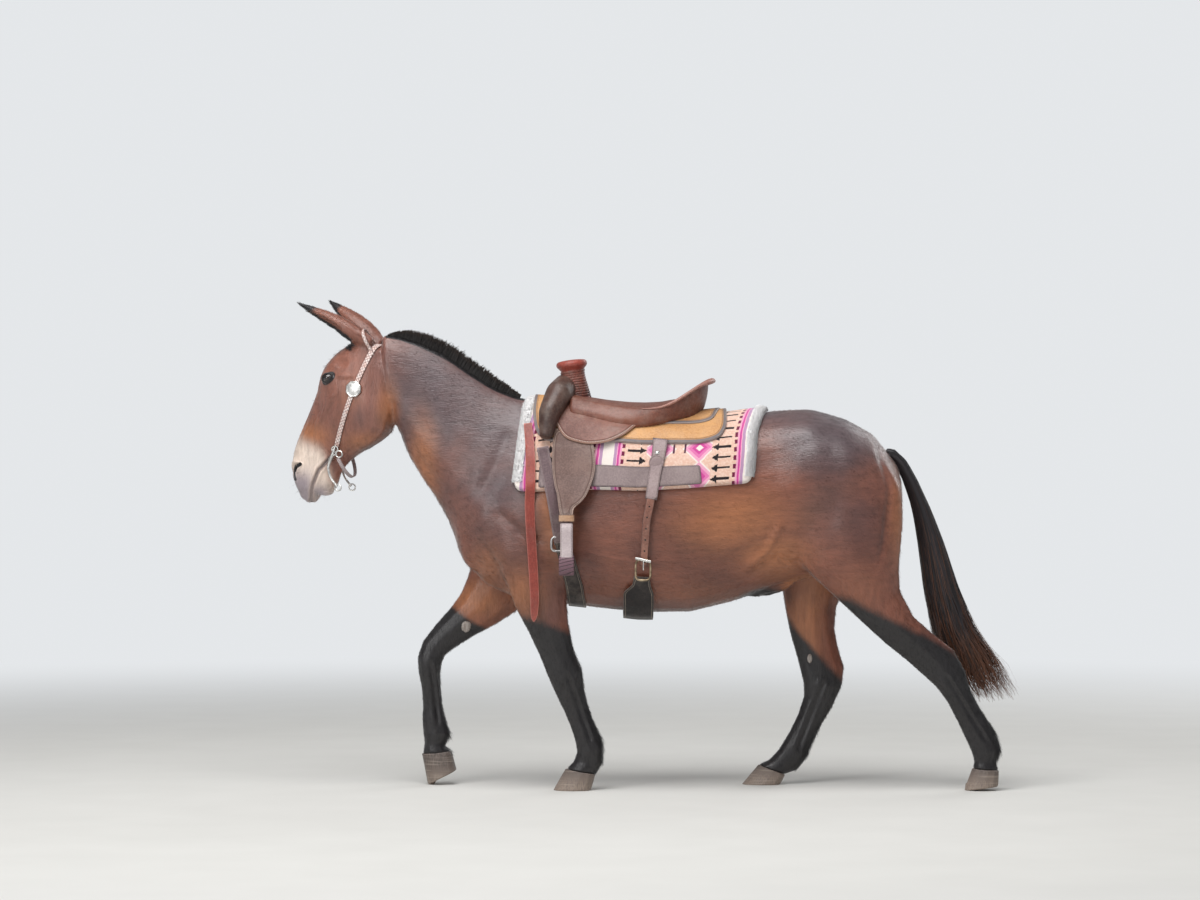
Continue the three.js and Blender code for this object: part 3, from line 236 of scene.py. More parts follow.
make_floor()
bpy.context.scene.view_settings.view_transform = "Standard"
world = bpy.data.worlds.new("soft sky")
bpy.context.scene.world = world
world.use_nodes = True
backdrop = world.node_tree.nodes["Background"].inputs
seen = place(world.node_tree, "ShaderNodeLightPath").outputs["Is Camera Ray"]
put(world.node_tree, backdrop["Color"], SKY)
put(world.node_tree, backdrop["Strength"], ranged(world.node_tree, seen, 0.0, 1.0, SKY_LIGHT, 1.0))
add_softbox("overhead", (-1.0, -2.5, 6.5), 5.0, 400)
add_softbox("front", (-5.0, -7.0, 3.5), 3.5, 170)
add_softbox("rear", (5.0, 6.0, 4.5), 5.0, 160)

# %% [markdown]
# ## The skin
# A real hide has no seams between neck, trunk and legs. So copies of the solids of flesh are joined
# and voxel remeshed into one surface. That surface still shows the solids' flat facets, so it is
# relaxed, strongly on the broad trunk and hardly at all on the ears and face.

# %% Mesh helpers
def deselect():
    if bpy.context.object and bpy.context.object.mode != "OBJECT":
        bpy.ops.object.mode_set(mode="OBJECT")
    bpy.ops.object.select_all(action="DESELECT")


def make_active(piece):
    deselect()
    piece.select_set(True)
    bpy.context.view_layer.objects.active = piece


def edit_all(piece):
    """Edit mode, with the whole mesh selected."""
    make_active(piece)
    bpy.ops.object.mode_set(mode="EDIT")
    bpy.ops.mesh.select_all(action="SELECT")


def face_outwards(piece):
    edit_all(piece)
    bpy.ops.mesh.normals_make_consistent(inside=False)
    bpy.ops.object.mode_set(mode="OBJECT")


def apply_modifier(piece, kind, **settings):
    make_active(piece)
    modifier = piece.modifiers.new(kind.lower(), kind)
    for name, value in settings.items():
        setattr(modifier, name, value)
    bpy.ops.object.modifier_apply(modifier=modifier.name)


def values_of(items, key, width=1, kind=np.float64):
    """A value, or a row of as many as width, from each item of a mesh."""
    flat = np.empty(len(items) * width, kind)
    items.foreach_get(key, flat)
    return flat.reshape(-1, width) if width > 1 else flat


def points_of(piece):
    return values_of(piece.data.vertices, "co", 3)


def normals_of(piece):
    return values_of(piece.data.vertices, "normal", 3)


def corners_of(piece):
    """Which point each corner of each face stands on."""
    return values_of(piece.data.loops, "vertex_index", kind=np.int32)


def set_points(piece, points):
    piece.data.vertices.foreach_set("co", points.astype(np.float32).ravel())
    piece.data.update()


def add_values(piece, name, values):
    """Stores a value on each point, for the material."""
    layer = piece.data.attributes.new(name, "FLOAT", "POINT")
    layer.data.foreach_set("value", np.asarray(values, np.float32))


def add_no_edge(piece):
    """Says that every point is far from a cut edge, so that no border or stitches show."""
    add_values(piece, "edge", np.full(len(piece.data.vertices), 0.05))


def add_map(piece, name, places):
    """A UV map, from a place for each corner of each face."""
    layer = piece.data.uv_layers.new(name=name)
    layer.data.foreach_set("uv", places.astype(np.float32).ravel())


def linked(piece):
    bpy.context.scene.collection.objects.link(piece)
    return piece


def copied(source):
    """A copy of an object, with a mesh of its own."""
    copy = source.copy()
    copy.data = source.data.copy()
    return linked(copy)


def mesh_piece(name, points, faces):
    """An object from points and faces that are worked out in code."""
    mesh = bpy.data.meshes.new(name)
    mesh.from_pydata([tuple(p) for p in points], [], [tuple(int(i) for i in face) for face in faces])
    return linked(bpy.data.objects.new(name, mesh))


def grid_faces(rows, columns, closed_rows=False, closed_columns=False):
    """The faces of a grid of points, in which the last row or column may meet the first again."""
    faces = []
    for i in range(rows if closed_rows else rows - 1):
        for k in range(columns if closed_columns else columns - 1):
            row, after, beside = i * columns, (i + 1) % rows * columns, (k + 1) % columns
            faces.append((row + k, row + beside, after + beside, after + k))
    return faces


def join_pieces(pieces, name):
    deselect()
    for piece in pieces:
        piece.select_set(True)
    bpy.context.view_layer.objects.active = pieces[0]
    bpy.ops.object.join()
    bpy.context.object.name = name
    return bpy.context.object


def finish_piece(piece, name, replaced=(), material=None, angle=35):
    """Names the piece, gives its finish, and rides it on the still model's one body."""
    piece.name = name
    piece.data.name = name
    if material:
        piece.data.materials.clear()
        piece.data.materials.append(material)
    make_active(piece)
    bpy.ops.object.shade_smooth_by_angle(angle=math.radians(angle))
    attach(piece, "root")
    if replaced:
        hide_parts(*replaced)
    print(name, len(piece.data.vertices), "vertices")


def smoothstep(low, high, value):
    share = np.clip((value - low) / (high - low), 0, 1)
    return share * share * (3 - 2 * share)


def unit(vectors, least=0.0):
    """Vectors made one long. least keeps those without a length from a division by zero."""
    return vectors / (np.linalg.norm(vectors, axis=-1, keepdims=True) + least)


def lengths_along(path):
    """How far along a line each of its points is."""
    return np.concatenate([[0], np.cumsum(np.linalg.norm(np.diff(path, axis=0), axis=1))])


def full_turn(count):
    """Even angles once round."""
    return np.arange(count) * 2 * math.pi / count

# %% Join the flesh
LEG_NAMES = [f"{end}_{side}" for end in ("fore", "hind") for side in SIDES]
FLESH = ["head", "neck", "torso", "ear_left", "ear_right"]
FLESH += [f"{leg}_{part}" for leg in LEG_NAMES for part in ("upper_leg", "lower_leg")]
EYES = ["eye_left", "eye_right"]
VOXEL = 4 * MM


def joined_copy(names, name):
    """One object from copies of solids, with the corners that touch made one."""
    copies = [copied(nodes[node]) for node in names]
    for copy in copies:
        copy.parent = None
    piece = join_pieces(copies, name)
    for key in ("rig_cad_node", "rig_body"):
        if key in piece:
            del piece[key]
    edit_all(piece)
    bpy.ops.mesh.remove_doubles(threshold=1e-5)
    bpy.ops.object.mode_set(mode="OBJECT")
    piece.data.materials.clear()
    return piece


skin = joined_copy(FLESH + EYES, "skin")
apply_modifier(skin, "REMESH", mode="VOXEL", voxel_size=VOXEL)
print("skin remeshed to", len(skin.data.polygons), "faces")

# %% Relax the facets
# How strongly each region relaxes: the trunk most, then the neck, then legs, face and ears.
RELAX_STEPS = 300
RELAX_LEAST = 0.03
LEVELS = 24
points = points_of(skin)
x, y, z = points.T
trunk = smoothstep(0.62, 0.95, z) * smoothstep(-1.02, -0.86, x)
neck_share = smoothstep(-0.62, -0.8, x) * smoothstep(0.9, 1.1, z)
weight = 0.07 + 0.93 * trunk * (1 - 0.55 * neck_share)
on_ear = smoothstep(1.63, 1.68, z) * smoothstep(-1.0, -1.06, x)
weight = weight * (1 - on_ear) + 0.085 * on_ear
group = skin.vertex_groups.new(name="relax")
for level in range(LEVELS + 1):
    chosen = np.nonzero(np.round(weight * LEVELS) == level)[0]
    if len(chosen):
        group.add(chosen.tolist(), max(level / LEVELS, RELAX_LEAST), "REPLACE")
apply_modifier(skin, "SMOOTH", factor=0.5, iterations=RELAX_STEPS, vertex_group="relax")
print("skin relaxed")

# %% [markdown]
# The head carries the most detail, so its part of the mesh is subdivided before anything is
# sculpted, and the lids, nostrils and lips once more. The head was authored looking straight on and
# then turned aside, so its landmarks are written in its own frame, in millimetres, and turned too.

# %% The head's own frame
HEAD_YAW = math.radians(18)
POLL_X = -975


def head_point(x, y, z):
    """A landmark of the straight head, in millimetres, as a place on the turned one, in metres."""
    turned_x = x + y * math.sin(HEAD_YAW)
    turned_y = (POLL_X - x) * math.tan(HEAD_YAW) + y * math.cos(HEAD_YAW)
    return Vector((turned_x, turned_y, z)) * MM


def head_frame(points):
    """Places on the turned head, in metres, back in the straight head's millimetres."""
    x, y, z = (points / MM).T
    straight_y = math.cos(HEAD_YAW) * (y + (x - POLL_X) * math.tan(HEAD_YAW))
    return np.stack([x - straight_y * math.sin(HEAD_YAW), straight_y, z], axis=1)


def head_direction(x, y, z):
    return (head_point(x + POLL_X, y, z) - head_point(POLL_X, 0, 0)).normalized()


EYE_PLACE = (-1183, 88, 1512)
EYE_SLANT = math.radians(38)
EYE_FORWARD = math.radians(12)
NOSTRIL = [(-1303, 1194), (-1324, 1186), (-1333, 1164), (-1326, 1140)]
MOUTH_LINE = [(-1296, 1024), (-1272, 1062), (-1256, 1118), (-1234, 1174), (-1190, 1221)]


def subdivide_near(piece, centres, reach):
    """Splits each face whose middle is within reach of one of the centres."""
    points = points_of(piece)
    near = np.zeros(len(points), bool)
    for centre in centres:
        near |= ((points - np.array(centre)) ** 2).sum(axis=1) < reach**2
    make_active(piece)
    bpy.ops.object.mode_set(mode="EDIT")
    bpy.ops.mesh.select_mode(type="VERT")
    bpy.ops.mesh.select_all(action="DESELECT")
    bpy.ops.object.mode_set(mode="OBJECT")
    piece.data.vertices.foreach_set("select", near)
    bpy.ops.object.mode_set(mode="EDIT")
    bpy.ops.mesh.select_mode(type="FACE")
    bpy.ops.mesh.subdivide(number_cuts=1)
    bpy.ops.object.mode_set(mode="OBJECT")


eye_x, eye_y, eye_z = EYE_PLACE
eye_centres = {name: head_point(eye_x, side * eye_y, eye_z) for name, side in SIDES.items()}
muzzle_centre = head_point(-1275, 0, 1120)
head_middles = [head_point(-1190, 0, 1400), head_point(-1250, 0, 1200)]
subdivide_near(skin, head_middles, 0.26)
subdivide_near(skin, list(eye_centres.values()), 0.06)
subdivide_near(skin, [muzzle_centre], 0.13)
print("skin ready to sculpt:", len(skin.data.vertices), "vertices")

# %% [markdown]
# ## Muscles, bones and veins
# Under a short coat every muscle shows. Each is a soft swelling or a groove laid on the skin, given
# by its place as seen from the side, its size and its height. The same few lines push the points of
# the skin in or out along their normals, which is how a sculptor's inflate and crease brushes work.

# %% Sculpting brushes
def swell(points, normals, place, radii, height):
    """Pushes out a soft mound, or in where height is below zero."""
    far = ((points - np.array(place)) / np.array(radii)) ** 2
    near = np.clip(1 - far.sum(axis=1), 0, 1)
    return normals * (height * near**2)[:, None]


def line_distance(flat, path):
    """How far each flat point is from a line of points, and how far along it that is, 0 to 1."""
    best = np.full(len(flat), 1e9)
    along = np.zeros(len(flat))
    path = np.array(path, float)
    steps = np.linalg.norm(np.diff(path, axis=0), axis=1)
    before = np.concatenate([[0], np.cumsum(steps)])
    for start, way, length, done in zip(path, np.diff(path, axis=0), steps, before):
        share = np.clip(((flat - start) @ way) / length**2, 0, 1)
        apart = np.linalg.norm(flat - start - share[:, None] * way, axis=1)
        closer = apart < best
        best[closer] = apart[closer]
        along[closer] = (done + share[closer] * length) / before[-1]
    return best, along


def crease(points, normals, side, path, width, depth, fade=0.2):
    """Presses a groove along a path seen from one side, or raises a ridge if depth is below zero."""
    low = np.min(path, axis=0) - 3 * width
    high = np.max(path, axis=0) + 3 * width
    flat = points[:, [0, 2]]
    near = np.nonzero(
        (flat > low).all(axis=1) & (flat < high).all(axis=1) & (normals[:, 1] * side > 0.1)
    )[0]
    apart, along = line_distance(flat[near], path)
    ends = smoothstep(0, fade, along) * smoothstep(1, 1 - fade, along)
    push = np.zeros_like(points)
    push[near] = -normals[near] * (depth * np.exp(-((apart / width) ** 2)) * ends)[:, None]
    return push


# %% Muscles of the trunk and legs
# Mounds: place in side view and across, radii, height. All are on both sides.
MOUNDS = [
    ((-0.655, 0.15, 1.02), (0.09, 0.1, 0.11), 0.010),  # point of the shoulder
    ((-0.47, 0.22, 1.03), (0.15, 0.14, 0.15), 0.012),  # triceps
    ((-0.44, 0.2, 1.27), (0.08, 0.1, 0.16), 0.006),  # shoulder blade
    ((-0.36, 0.2, 0.93), (0.05, 0.07, 0.05), 0.008),  # elbow
    ((0.50, 0.2, 1.33), (0.13, 0.11, 0.075), 0.009),  # point of the hip
    ((0.42, 0.24, 1.2), (0.12, 0.1, 0.13), -0.010),  # hollow of the flank
    ((0.70, 0.2, 1.12), (0.2, 0.16, 0.2), 0.010),  # thigh
    ((0.86, 0.14, 1.08), (0.08, 0.1, 0.2), 0.010),  # hamstrings
    ((0.49, 0.22, 0.90), (0.09, 0.1, 0.1), 0.010),  # stifle
    ((-0.80, 0.07, 1.26), (0.2, 0.1, 0.12), 0.008),  # neck muscle
    ((-0.66, 0.07, 0.95), (0.1, 0.08, 0.12), 0.014),  # breast
]
# Creases: path in side view, width, depth. Below zero is a ridge.
CREASES = [
    ([(-0.95, 1.36), (-0.86, 1.2), (-0.76, 1.05)], 0.020, 0.007),  # jugular groove
    ([(-0.97, 1.52), (-0.86, 1.40), (-0.74, 1.24), (-0.66, 1.12)], 0.03, 0.004),  # neck muscle's rim
    ([(-0.53, 1.34), (-0.59, 1.2), (-0.66, 1.06)], 0.026, 0.006),  # front of the shoulder blade
    ([(-0.35, 1.25), (-0.36, 1.1), (-0.32, 0.98)], 0.022, 0.008),  # behind the triceps
    ([(-0.60, 1.04), (-0.50, 0.95), (-0.40, 0.90)], 0.018, 0.008),  # triceps over the forearm
    ([(-0.66, 0.93), (-0.61, 0.86), (-0.56, 0.80)], 0.014, 0.006),  # breast against the forearm
    ([(0.80, 1.30), (0.85, 1.1), (0.83, 0.92), (0.80, 0.80)], 0.014, 0.008),  # hamstring groove
    ([(0.62, 1.30), (0.66, 1.12), (0.62, 0.92)], 0.035, 0.005),  # front of the hamstrings
    ([(0.30, 0.80), (0.40, 0.88), (0.46, 1.0)], 0.016, -0.010),  # fold of the flank
    ([(0.33, 0.78), (0.44, 0.86), (0.50, 0.80)], 0.012, 0.006),  # behind the flank fold
    ([(-0.25, 0.76), (0.0, 0.73), (0.2, 0.74), (0.32, 0.78)], 0.005, -0.002),  # belly vein
    ([(-0.28, 0.88), (-0.1, 0.84), (0.1, 0.85)], 0.004, -0.0018),  # side vein
]
# Each leg, down to the fetlock: knee or hock, then the fetlock, as seen from the side
SHINS = {
    "fore_left": [(-0.340, 0.44), (-0.243, 0.165)],
    "fore_right": [(-0.848, 0.47), (-0.815, 0.21)],
    "hind_left": [(1.045, 0.43), (1.208, 0.165)],
    "hind_right": [(0.628, 0.40), (0.518, 0.12)],
}


def across(path, share):
    """The same line moved sideways in its own plane."""
    (ax, az), (bx, bz) = path
    length = math.hypot(bx - ax, bz - az)
    step = (-(bz - az) / length * share, (bx - ax) / length * share)
    return [(ax + step[0], az + step[1]), (bx + step[0], bz + step[1])]


def sculpt_body(piece):
    points, normals = points_of(piece), normals_of(piece)
    push = np.zeros_like(points)
    for side in SIDES.values():
        for (px, py, pz), radii, height in MOUNDS:
            push += swell(points, normals, (px, py * side, pz), radii, height)
        for path, width, depth in CREASES:
            push += crease(points, normals, side, path, width, depth)
        for shin in SHINS.values():
            push += crease(points, normals, side, across(shin, 0.008), 0.007, 0.004, 0.12)
            push += crease(points, normals, side, across(shin, 0.021), 0.006, -0.003, 0.12)
            push += crease(points, normals, side, across(shin, -0.012), 0.010, -0.003, 0.1)
    set_points(piece, points + push)


sculpt_body(skin)
print("muscles sculpted")

# %% [markdown]
# ## The face
# The lids hug the eyeball: inside an almond the skin is pressed behind the ball, and round it the
# skin is raised to a rim a few millimetres thick. The nostrils are deep comma shapes with a
# thick wing, and the mouth is a groove between two lips. Cheek, brow and face bones follow.

# %% Eyelids
EYE_RADIUS = 21 * MM
LID_THICKNESS = 3.5 * MM
ALMOND = (21.5 * MM, 11 * MM)


def eye_axes(side):
    """Outward, along the lids towards the ear, and across them, of one eye."""
    outward = head_direction(-math.sin(EYE_FORWARD), side * math.cos(EYE_FORWARD), 0.08)
    along = head_direction(math.cos(EYE_SLANT), 0, math.sin(EYE_SLANT))
    along = (along - outward * along.dot(outward)).normalized()
    upward = outward.cross(along) * (1 if outward.cross(along).z > 0 else -1)
    return outward, along, upward.normalized()


def sculpt_lids(piece, side, centre):
    outward, along, upward = (np.array(axis) for axis in eye_axes(side))
    points = points_of(piece)
    from_centre = points - np.array(centre)
    far = np.linalg.norm(from_centre, axis=1)
    near = np.nonzero((far < 0.075) & (from_centre @ outward > 0))[0]
    offset = from_centre[near]
    u = offset @ along / ALMOND[0]
    v = offset @ upward / ALMOND[1]
    edge = u**2 + np.abs(v) ** 1.1
    inner = EYE_RADIUS - 2.5 * MM
    rim = EYE_RADIUS + LID_THICKNESS
    radius = inner + (rim - inner) * smoothstep(0.9, 1.1, edge)
    radius += 1.6 * MM * np.exp(-(((edge - 1.25) / 0.2) ** 2)) * (v > 0)
    radius -= 2.5 * MM * np.exp(-(((edge - 2.2) / 0.35) ** 2)) * (v > 0)
    radius -= 1.2 * MM * np.exp(-(((edge - 2.1) / 0.35) ** 2)) * (v < 0)
    blend = 1 - smoothstep(1.5, 4.2, edge)
    on_ball = offset / far[near][:, None] * radius[:, None]
    points[near] = np.array(centre) + offset * (1 - blend)[:, None] + on_ball * blend[:, None]
    set_points(piece, points)


for name, side in SIDES.items():
    sculpt_lids(skin, side, eye_centres[name])

# %% Muzzle, cheeks and brow
# In the straight head's millimetres: mounds with place, radii and height, then creases in side view.
FACE_MOUNDS = [
    ((-1205, 88, 1572), (42, 30, 24), 6),  # brow
    ((-1138, 84, 1568), (38, 26, 26), -7),  # hollow above the eye
    ((-1120, 90, 1520), (48, 26, 16), 4),  # arch behind the eye
    ((-1070, 78, 1400), (96, 40, 100), 4),  # cheek
    ((-1228, 55, 1400), (40, 30, 60), -3),  # hollow before the cheek
    ((-1335, 42, 1195), (34, 26, 40), 5),  # wing of the nostril
    ((-1300, 36, 1128), (40, 26, 48), 4),  # upper lip
    ((-1228, 16, 1072), (30, 34, 26), 6),  # chin
    ((-1262, 50, 1262), (40, 22, 44), -3),  # above the corner of the mouth
]
FACE_CREASES = [
    ([(-1150, 1470), (-1188, 1418), (-1226, 1352), (-1240, 1320)], 9, -4),  # facial crest
    ([(-1140, 1452), (-1176, 1400), (-1214, 1336)], 10, 3.5),  # under the crest
    ([(-1110, 1250), (-1060, 1262), (-1005, 1302), (-975, 1352)], 10, -3.5),  # edge of the jaw
    ([(-985, 1310), (-962, 1370), (-955, 1440)], 12, 6),  # behind the jaw
    ([(-1196, 1440), (-1232, 1372), (-1250, 1300), (-1240, 1250)], 4, -2.2),  # face vein
    ([(-1240, 1372), (-1266, 1330), (-1290, 1290)], 3.5, -1.8),  # its branch
    ([(-1246, 1480), (-1278, 1400), (-1306, 1310), (-1322, 1250)], 9, 2.5),  # beside the nose bone
    ([(-1212, 1262), (-1196, 1236), (-1180, 1218)], 4, 2),  # wrinkle at the mouth's corner
    ([(-1226, 1258), (-1210, 1236), (-1200, 1210)], 4, 2),
]


def sculpt_face(piece):
    points, normals = points_of(piece), normals_of(piece)
    on_head = np.nonzero((points[:, 0] < -0.94) & (points[:, 2] > 0.98))[0]
    straight = head_frame(points[on_head])
    lie = normals[on_head]
    push = np.zeros_like(straight)
    for side in SIDES.values():
        for (px, py, pz), radii, height in FACE_MOUNDS:
            push += swell(straight, lie, (px, py * side, pz), radii, height)
        for path, width, depth in FACE_CREASES:
            push += crease(straight, lie, side, path, width, depth)
        beside = np.nonzero((straight[:, 1] * side > 8) & (straight[:, 0] < -1150))[0]
        flat = straight[beside][:, [0, 2]]
        apart, along = line_distance(flat, MOUTH_LINE)
        ends = smoothstep(1, 0.93, along)
        lips = 3.0 * np.exp(-(((apart - 12) / 7) ** 2)) - 4.5 * np.exp(-((apart / 5) ** 2))
        push[beside] += lie[beside] * (lips * ends)[:, None]
        apart, along = line_distance(flat, NOSTRIL)
        width = np.interp(along, [0, 0.25, 0.55, 1], [5, 11, 10, 3.5])
        pit = 1 - smoothstep(0.3, 1.25, apart / width)
        wing = np.exp(-(((apart / width - 1.6) / 0.45) ** 2))
        inward = np.array([0.75, -0.62 * side, 0.15])
        push[beside] += pit[:, None] * inward * 12 + lie[beside] * (wing * 2.6)[:, None]
    under = smoothstep(-1272, -1250, straight[:, 0]) * smoothstep(1120, 1070, straight[:, 2])
    push[:, 2] += under * (1110 - straight[:, 2]) * 0.42
    points[on_head] += push * MM
    set_points(piece, points)


sculpt_face(skin)
print("face sculpted")

# %% Thin the mesh
SKIN_FACES = 190000
triangles = sum(len(face.vertices) - 2 for face in skin.data.polygons)
apply_modifier(skin, "DECIMATE", ratio=SKIN_FACES / triangles)
print("skin thinned from", triangles, "to", len(skin.data.polygons), "triangles")

# %% [markdown]
# ## Markings
# A bay is red-brown with black points: legs, mane, tail and ear tips. This one has a cream muzzle, a
# darker neck and croup, and tan where the hair is thin, at the flank and behind the elbow. The grey
# lavender of the darker neck and croup is partly a painted sky sheen, as is the same tone on the
# cheek, and the same dark share holds painted shadow under the jaw and the belly and painted shade
# along the mouth. Each marking is a share between 0 and 1, worked out from named places, and stored
# on the points, so that the skin and each tuft of hair read the same value.

# %% Where each marking lies
# Soft spots as centre in side view, radii and strength
TAN_SPOTS = [
    ((0.30, 1.00), (0.26, 0.15), 0.75),  # flank
    ((0.43, 0.86), (0.16, 0.10), 0.9),  # groin fold
    ((-0.37, 1.06), (0.07, 0.24), 0.7),  # behind the elbow
    ((-0.86, 1.18), (0.07, 0.24), 0.75),  # underside of the neck
    ((-0.63, 0.80), (0.10, 0.12), 0.5),  # breast and forearm
    ((-0.50, 0.72), (0.12, 0.12), 0.55),
    ((-0.67, 0.69), (0.12, 0.10), 0.9),  # far forearm
    ((0.90, 0.98), (0.06, 0.26), 0.7),  # back of the thigh
    ((0.72, 0.72), (0.14, 0.12), 0.4),  # gaskin
    ((0.56, 0.58), (0.08, 0.22), 0.8),  # front of the far gaskin
    ((-0.99, 1.40), (0.05, 0.12), 0.7),  # behind the jaw
    ((-1.06, 1.27), (0.10, 0.05), 0.8),  # edge of the jaw
    ((-1.30, 1.29), (0.09, 0.06), 0.8),  # above the cream
    ((-1.12, 1.46), (0.05, 0.07), 0.5),  # below the eye
    ((0.05, 0.72), (0.4, 0.07), 0.35),  # belly
]
DARK_SHADE_SHEEN_SPOTS = [
    # Neck to croup: a darker coat whose grey lavender tone is partly painted sky sheen
    ((-0.80, 1.45), (0.26, 0.30), 1.0),  # neck
    ((-0.62, 1.22), (0.22, 0.30), 0.85),  # shoulder
    ((-0.30, 1.36), (0.45, 0.16), 0.9),  # withers
    ((0.30, 1.42), (0.60, 0.18), 0.9),  # loin
    ((0.66, 1.36), (0.36, 0.24), 1.0),  # croup
    ((0.62, 1.05), (0.2, 0.2), 0.45),  # thigh
    # Painted shade under the belly, where the girth lies
    ((-0.10, 0.66), (0.4, 0.07), 0.5),  # girth
    # Painted shadow under the jaw
    ((-1.03, 1.25), (0.10, 0.03), 1.0),  # under the jaw
    # Painted sky sheen on the cheek
    ((-1.09, 1.37), (0.05, 0.08), 0.5),  # cheek
]
# Where each leg turns black: height there, how much that falls for each metre back, softness
LEG_BLACK = {
    "fore_left": (0.60, -0.25, 0.07),
    "fore_right": (0.68, -0.65, 0.05),
    "hind_left": (0.60, -0.55, 0.08),
    "hind_right": (0.50, -1.1, 0.09),
}
LEG_MIDDLES = {"fore_left": -0.38, "fore_right": -0.78, "hind_left": 0.92, "hind_right": 0.60}
EARS = {
    "left": ((-1056, -54, 1650), (-1302, -88, 1793)),
    "right": ((-1054, 54, 1652), (-1250, 86, 1808)),
}


def spots(points, table):
    total = np.zeros(len(points))
    for (px, pz), (rx, rz), strength in table:
        far = ((points[:, 0] - px) / rx) ** 2 + ((points[:, 2] - pz) / rz) ** 2
        total = np.maximum(total, strength * np.exp(-far))
    return total


def leg_black(points):
    x, y, z = points.T
    black = np.zeros(len(points))
    for leg, (height, fall, soft) in LEG_BLACK.items():
        end, side = leg.split("_")
        mine = (y * SIDES[side] > 0) & ((x < 0.1) if end == "fore" else (x >= 0.1)) & (z < 0.85)
        edge = height + np.clip(fall * (x[mine] - LEG_MIDDLES[leg]), -0.2, 0.12)
        on_leg = smoothstep(0.36, 0.46, x[mine]) if end == "hind" else smoothstep(-0.2, -0.28, x[mine])
        on_leg = np.maximum(on_leg, z[mine] < 0.5)
        black[mine] = smoothstep(edge + soft, edge - soft, z[mine]) * on_leg
    return black


def ear_black(straight, name):
    """The tip of one ear, and the rim of its cup, in the straight head's millimetres."""
    base, tip = (np.array(p, float) for p in EARS[name])
    axis = unit(tip - base)
    offset = straight - base
    along = offset @ axis / np.linalg.norm(tip - base)
    off_axis = np.linalg.norm(offset - np.outer(offset @ axis, axis), axis=1)
    near = (off_axis < 62) & (along > 0.02)
    front = np.array([-axis[2], 0, axis[0]]) / math.hypot(axis[0], axis[2])
    edge = np.interp(along, [0.05, 0.25, 0.45, 0.65, 0.85, 0.95], [38, 30, 21, 17, 9, 5])
    rim = smoothstep(-14, -8, offset @ front - edge) * smoothstep(0.0, 0.15, along)
    return np.where(near, np.maximum(smoothstep(0.62, 0.86, along), rim * 0.9), 0), near


def markings(points):
    """Each marking's share at each point, painted sheen and shadows among them."""
    x, y, z = points.T
    straight = head_frame(points)
    on_head = x < -0.93
    sx, sz = straight[:, 0], straight[:, 2]
    down = (sx + 1100) * -0.42 + (1300 - sz)
    mouth, _ = line_distance(straight[:, [0, 2]], MOUTH_LINE)
    # Along the mouth: the lips' own grey skin, with painted shade in the crease between them
    lips = smoothstep(13, 2, mouth)
    cream = smoothstep(62, 140, down) * smoothstep(-1180, -1225, sx + (sz - 1180) * 0.2) * on_head
    cream *= 1 - 0.75 * lips
    # Painted shadow under the jaw, added to the dark share and kept out of the tan
    painted_jaw_shadow = np.exp(-(((x + 1.04) / 0.10) ** 2) - ((z - 1.245 - (x + 1.04) * 0.5) / 0.04) ** 2)
    tan = spots(points, TAN_SPOTS) * (1 - 0.9 * painted_jaw_shadow)
    dark = spots(points, DARK_SHADE_SHEEN_SPOTS)
    groin = smoothstep(0.13, 0.05, np.abs(y)) * smoothstep(0.95, 0.88, z) * smoothstep(0.42, 0.5, x)
    tan = np.maximum(tan, 0.8 * groin)
    black = leg_black(points)
    ears = np.zeros(len(points), bool)
    for name in EARS:
        share, near = ear_black(straight, name)
        black = np.maximum(black, share * on_head)
        ears |= near & on_head
    crest = smoothstep(0.03, 0.012, np.abs(y)) * (x > -1.0) * (x < -0.48) * (z > 1.40)
    black = np.maximum(black, crest)
    sheath = np.exp(-(((x - 0.40) / 0.12) ** 2) - ((z - 0.70) / 0.05) ** 2) * (np.abs(y) < 0.12)
    black = np.maximum(black, 0.8 * sheath)
    ex, ez = sx - EYE_PLACE[0], sz - EYE_PLACE[2]
    lid_u = ex * math.cos(EYE_SLANT) + ez * math.sin(EYE_SLANT)
    lid_v = ez * math.cos(EYE_SLANT) - ex * math.sin(EYE_SLANT)
    lid_far = np.hypot(lid_u / 33, lid_v / 21)
    black = np.maximum(black, 0.9 * smoothstep(1.15, 0.8, lid_far) * (np.abs(straight[:, 1]) > 55))
    apart, _ = line_distance(straight[:, [0, 2]], NOSTRIL)
    nostril = smoothstep(12, 5, apart) * (np.abs(straight[:, 1]) < 66) * (sx < -1285)
    black = np.maximum(black, 0.75 * nostril)
    grey = smoothstep(1205, 1120, sz) * smoothstep(-1225, -1290, sx) * on_head
    chin = np.exp(-(((sx + 1235) / 34) ** 2) - ((sz - 1085) / 34) ** 2) * on_head
    return {
        "tan": tan * (1 - cream),
        # The dark share: darker coat, painted sky sheen, painted shadow under the jaw and painted shade
        # along the mouth
        "dark": np.maximum(dark * (1 - 0.9 * cream), np.maximum(painted_jaw_shadow, lips * on_head)) * ~ears,
        "black": black,
        "cream": cream,
        "grey": np.maximum(grey, chin) * (1 - 0.7 * lips),
        "legs": smoothstep(0.85, 0.65, z),
        "head": smoothstep(-0.95, -1.02, x) * smoothstep(1.0, 1.1, z),
    }


def store_markings(piece, shares):
    for name, values in shares.items():
        add_values(piece, name, values)


skin_points = points_of(skin)
skin_marks = markings(skin_points)
store_markings(skin, skin_marks)
print("black over", round(float(skin_marks["black"].mean()), 2), "of the points")

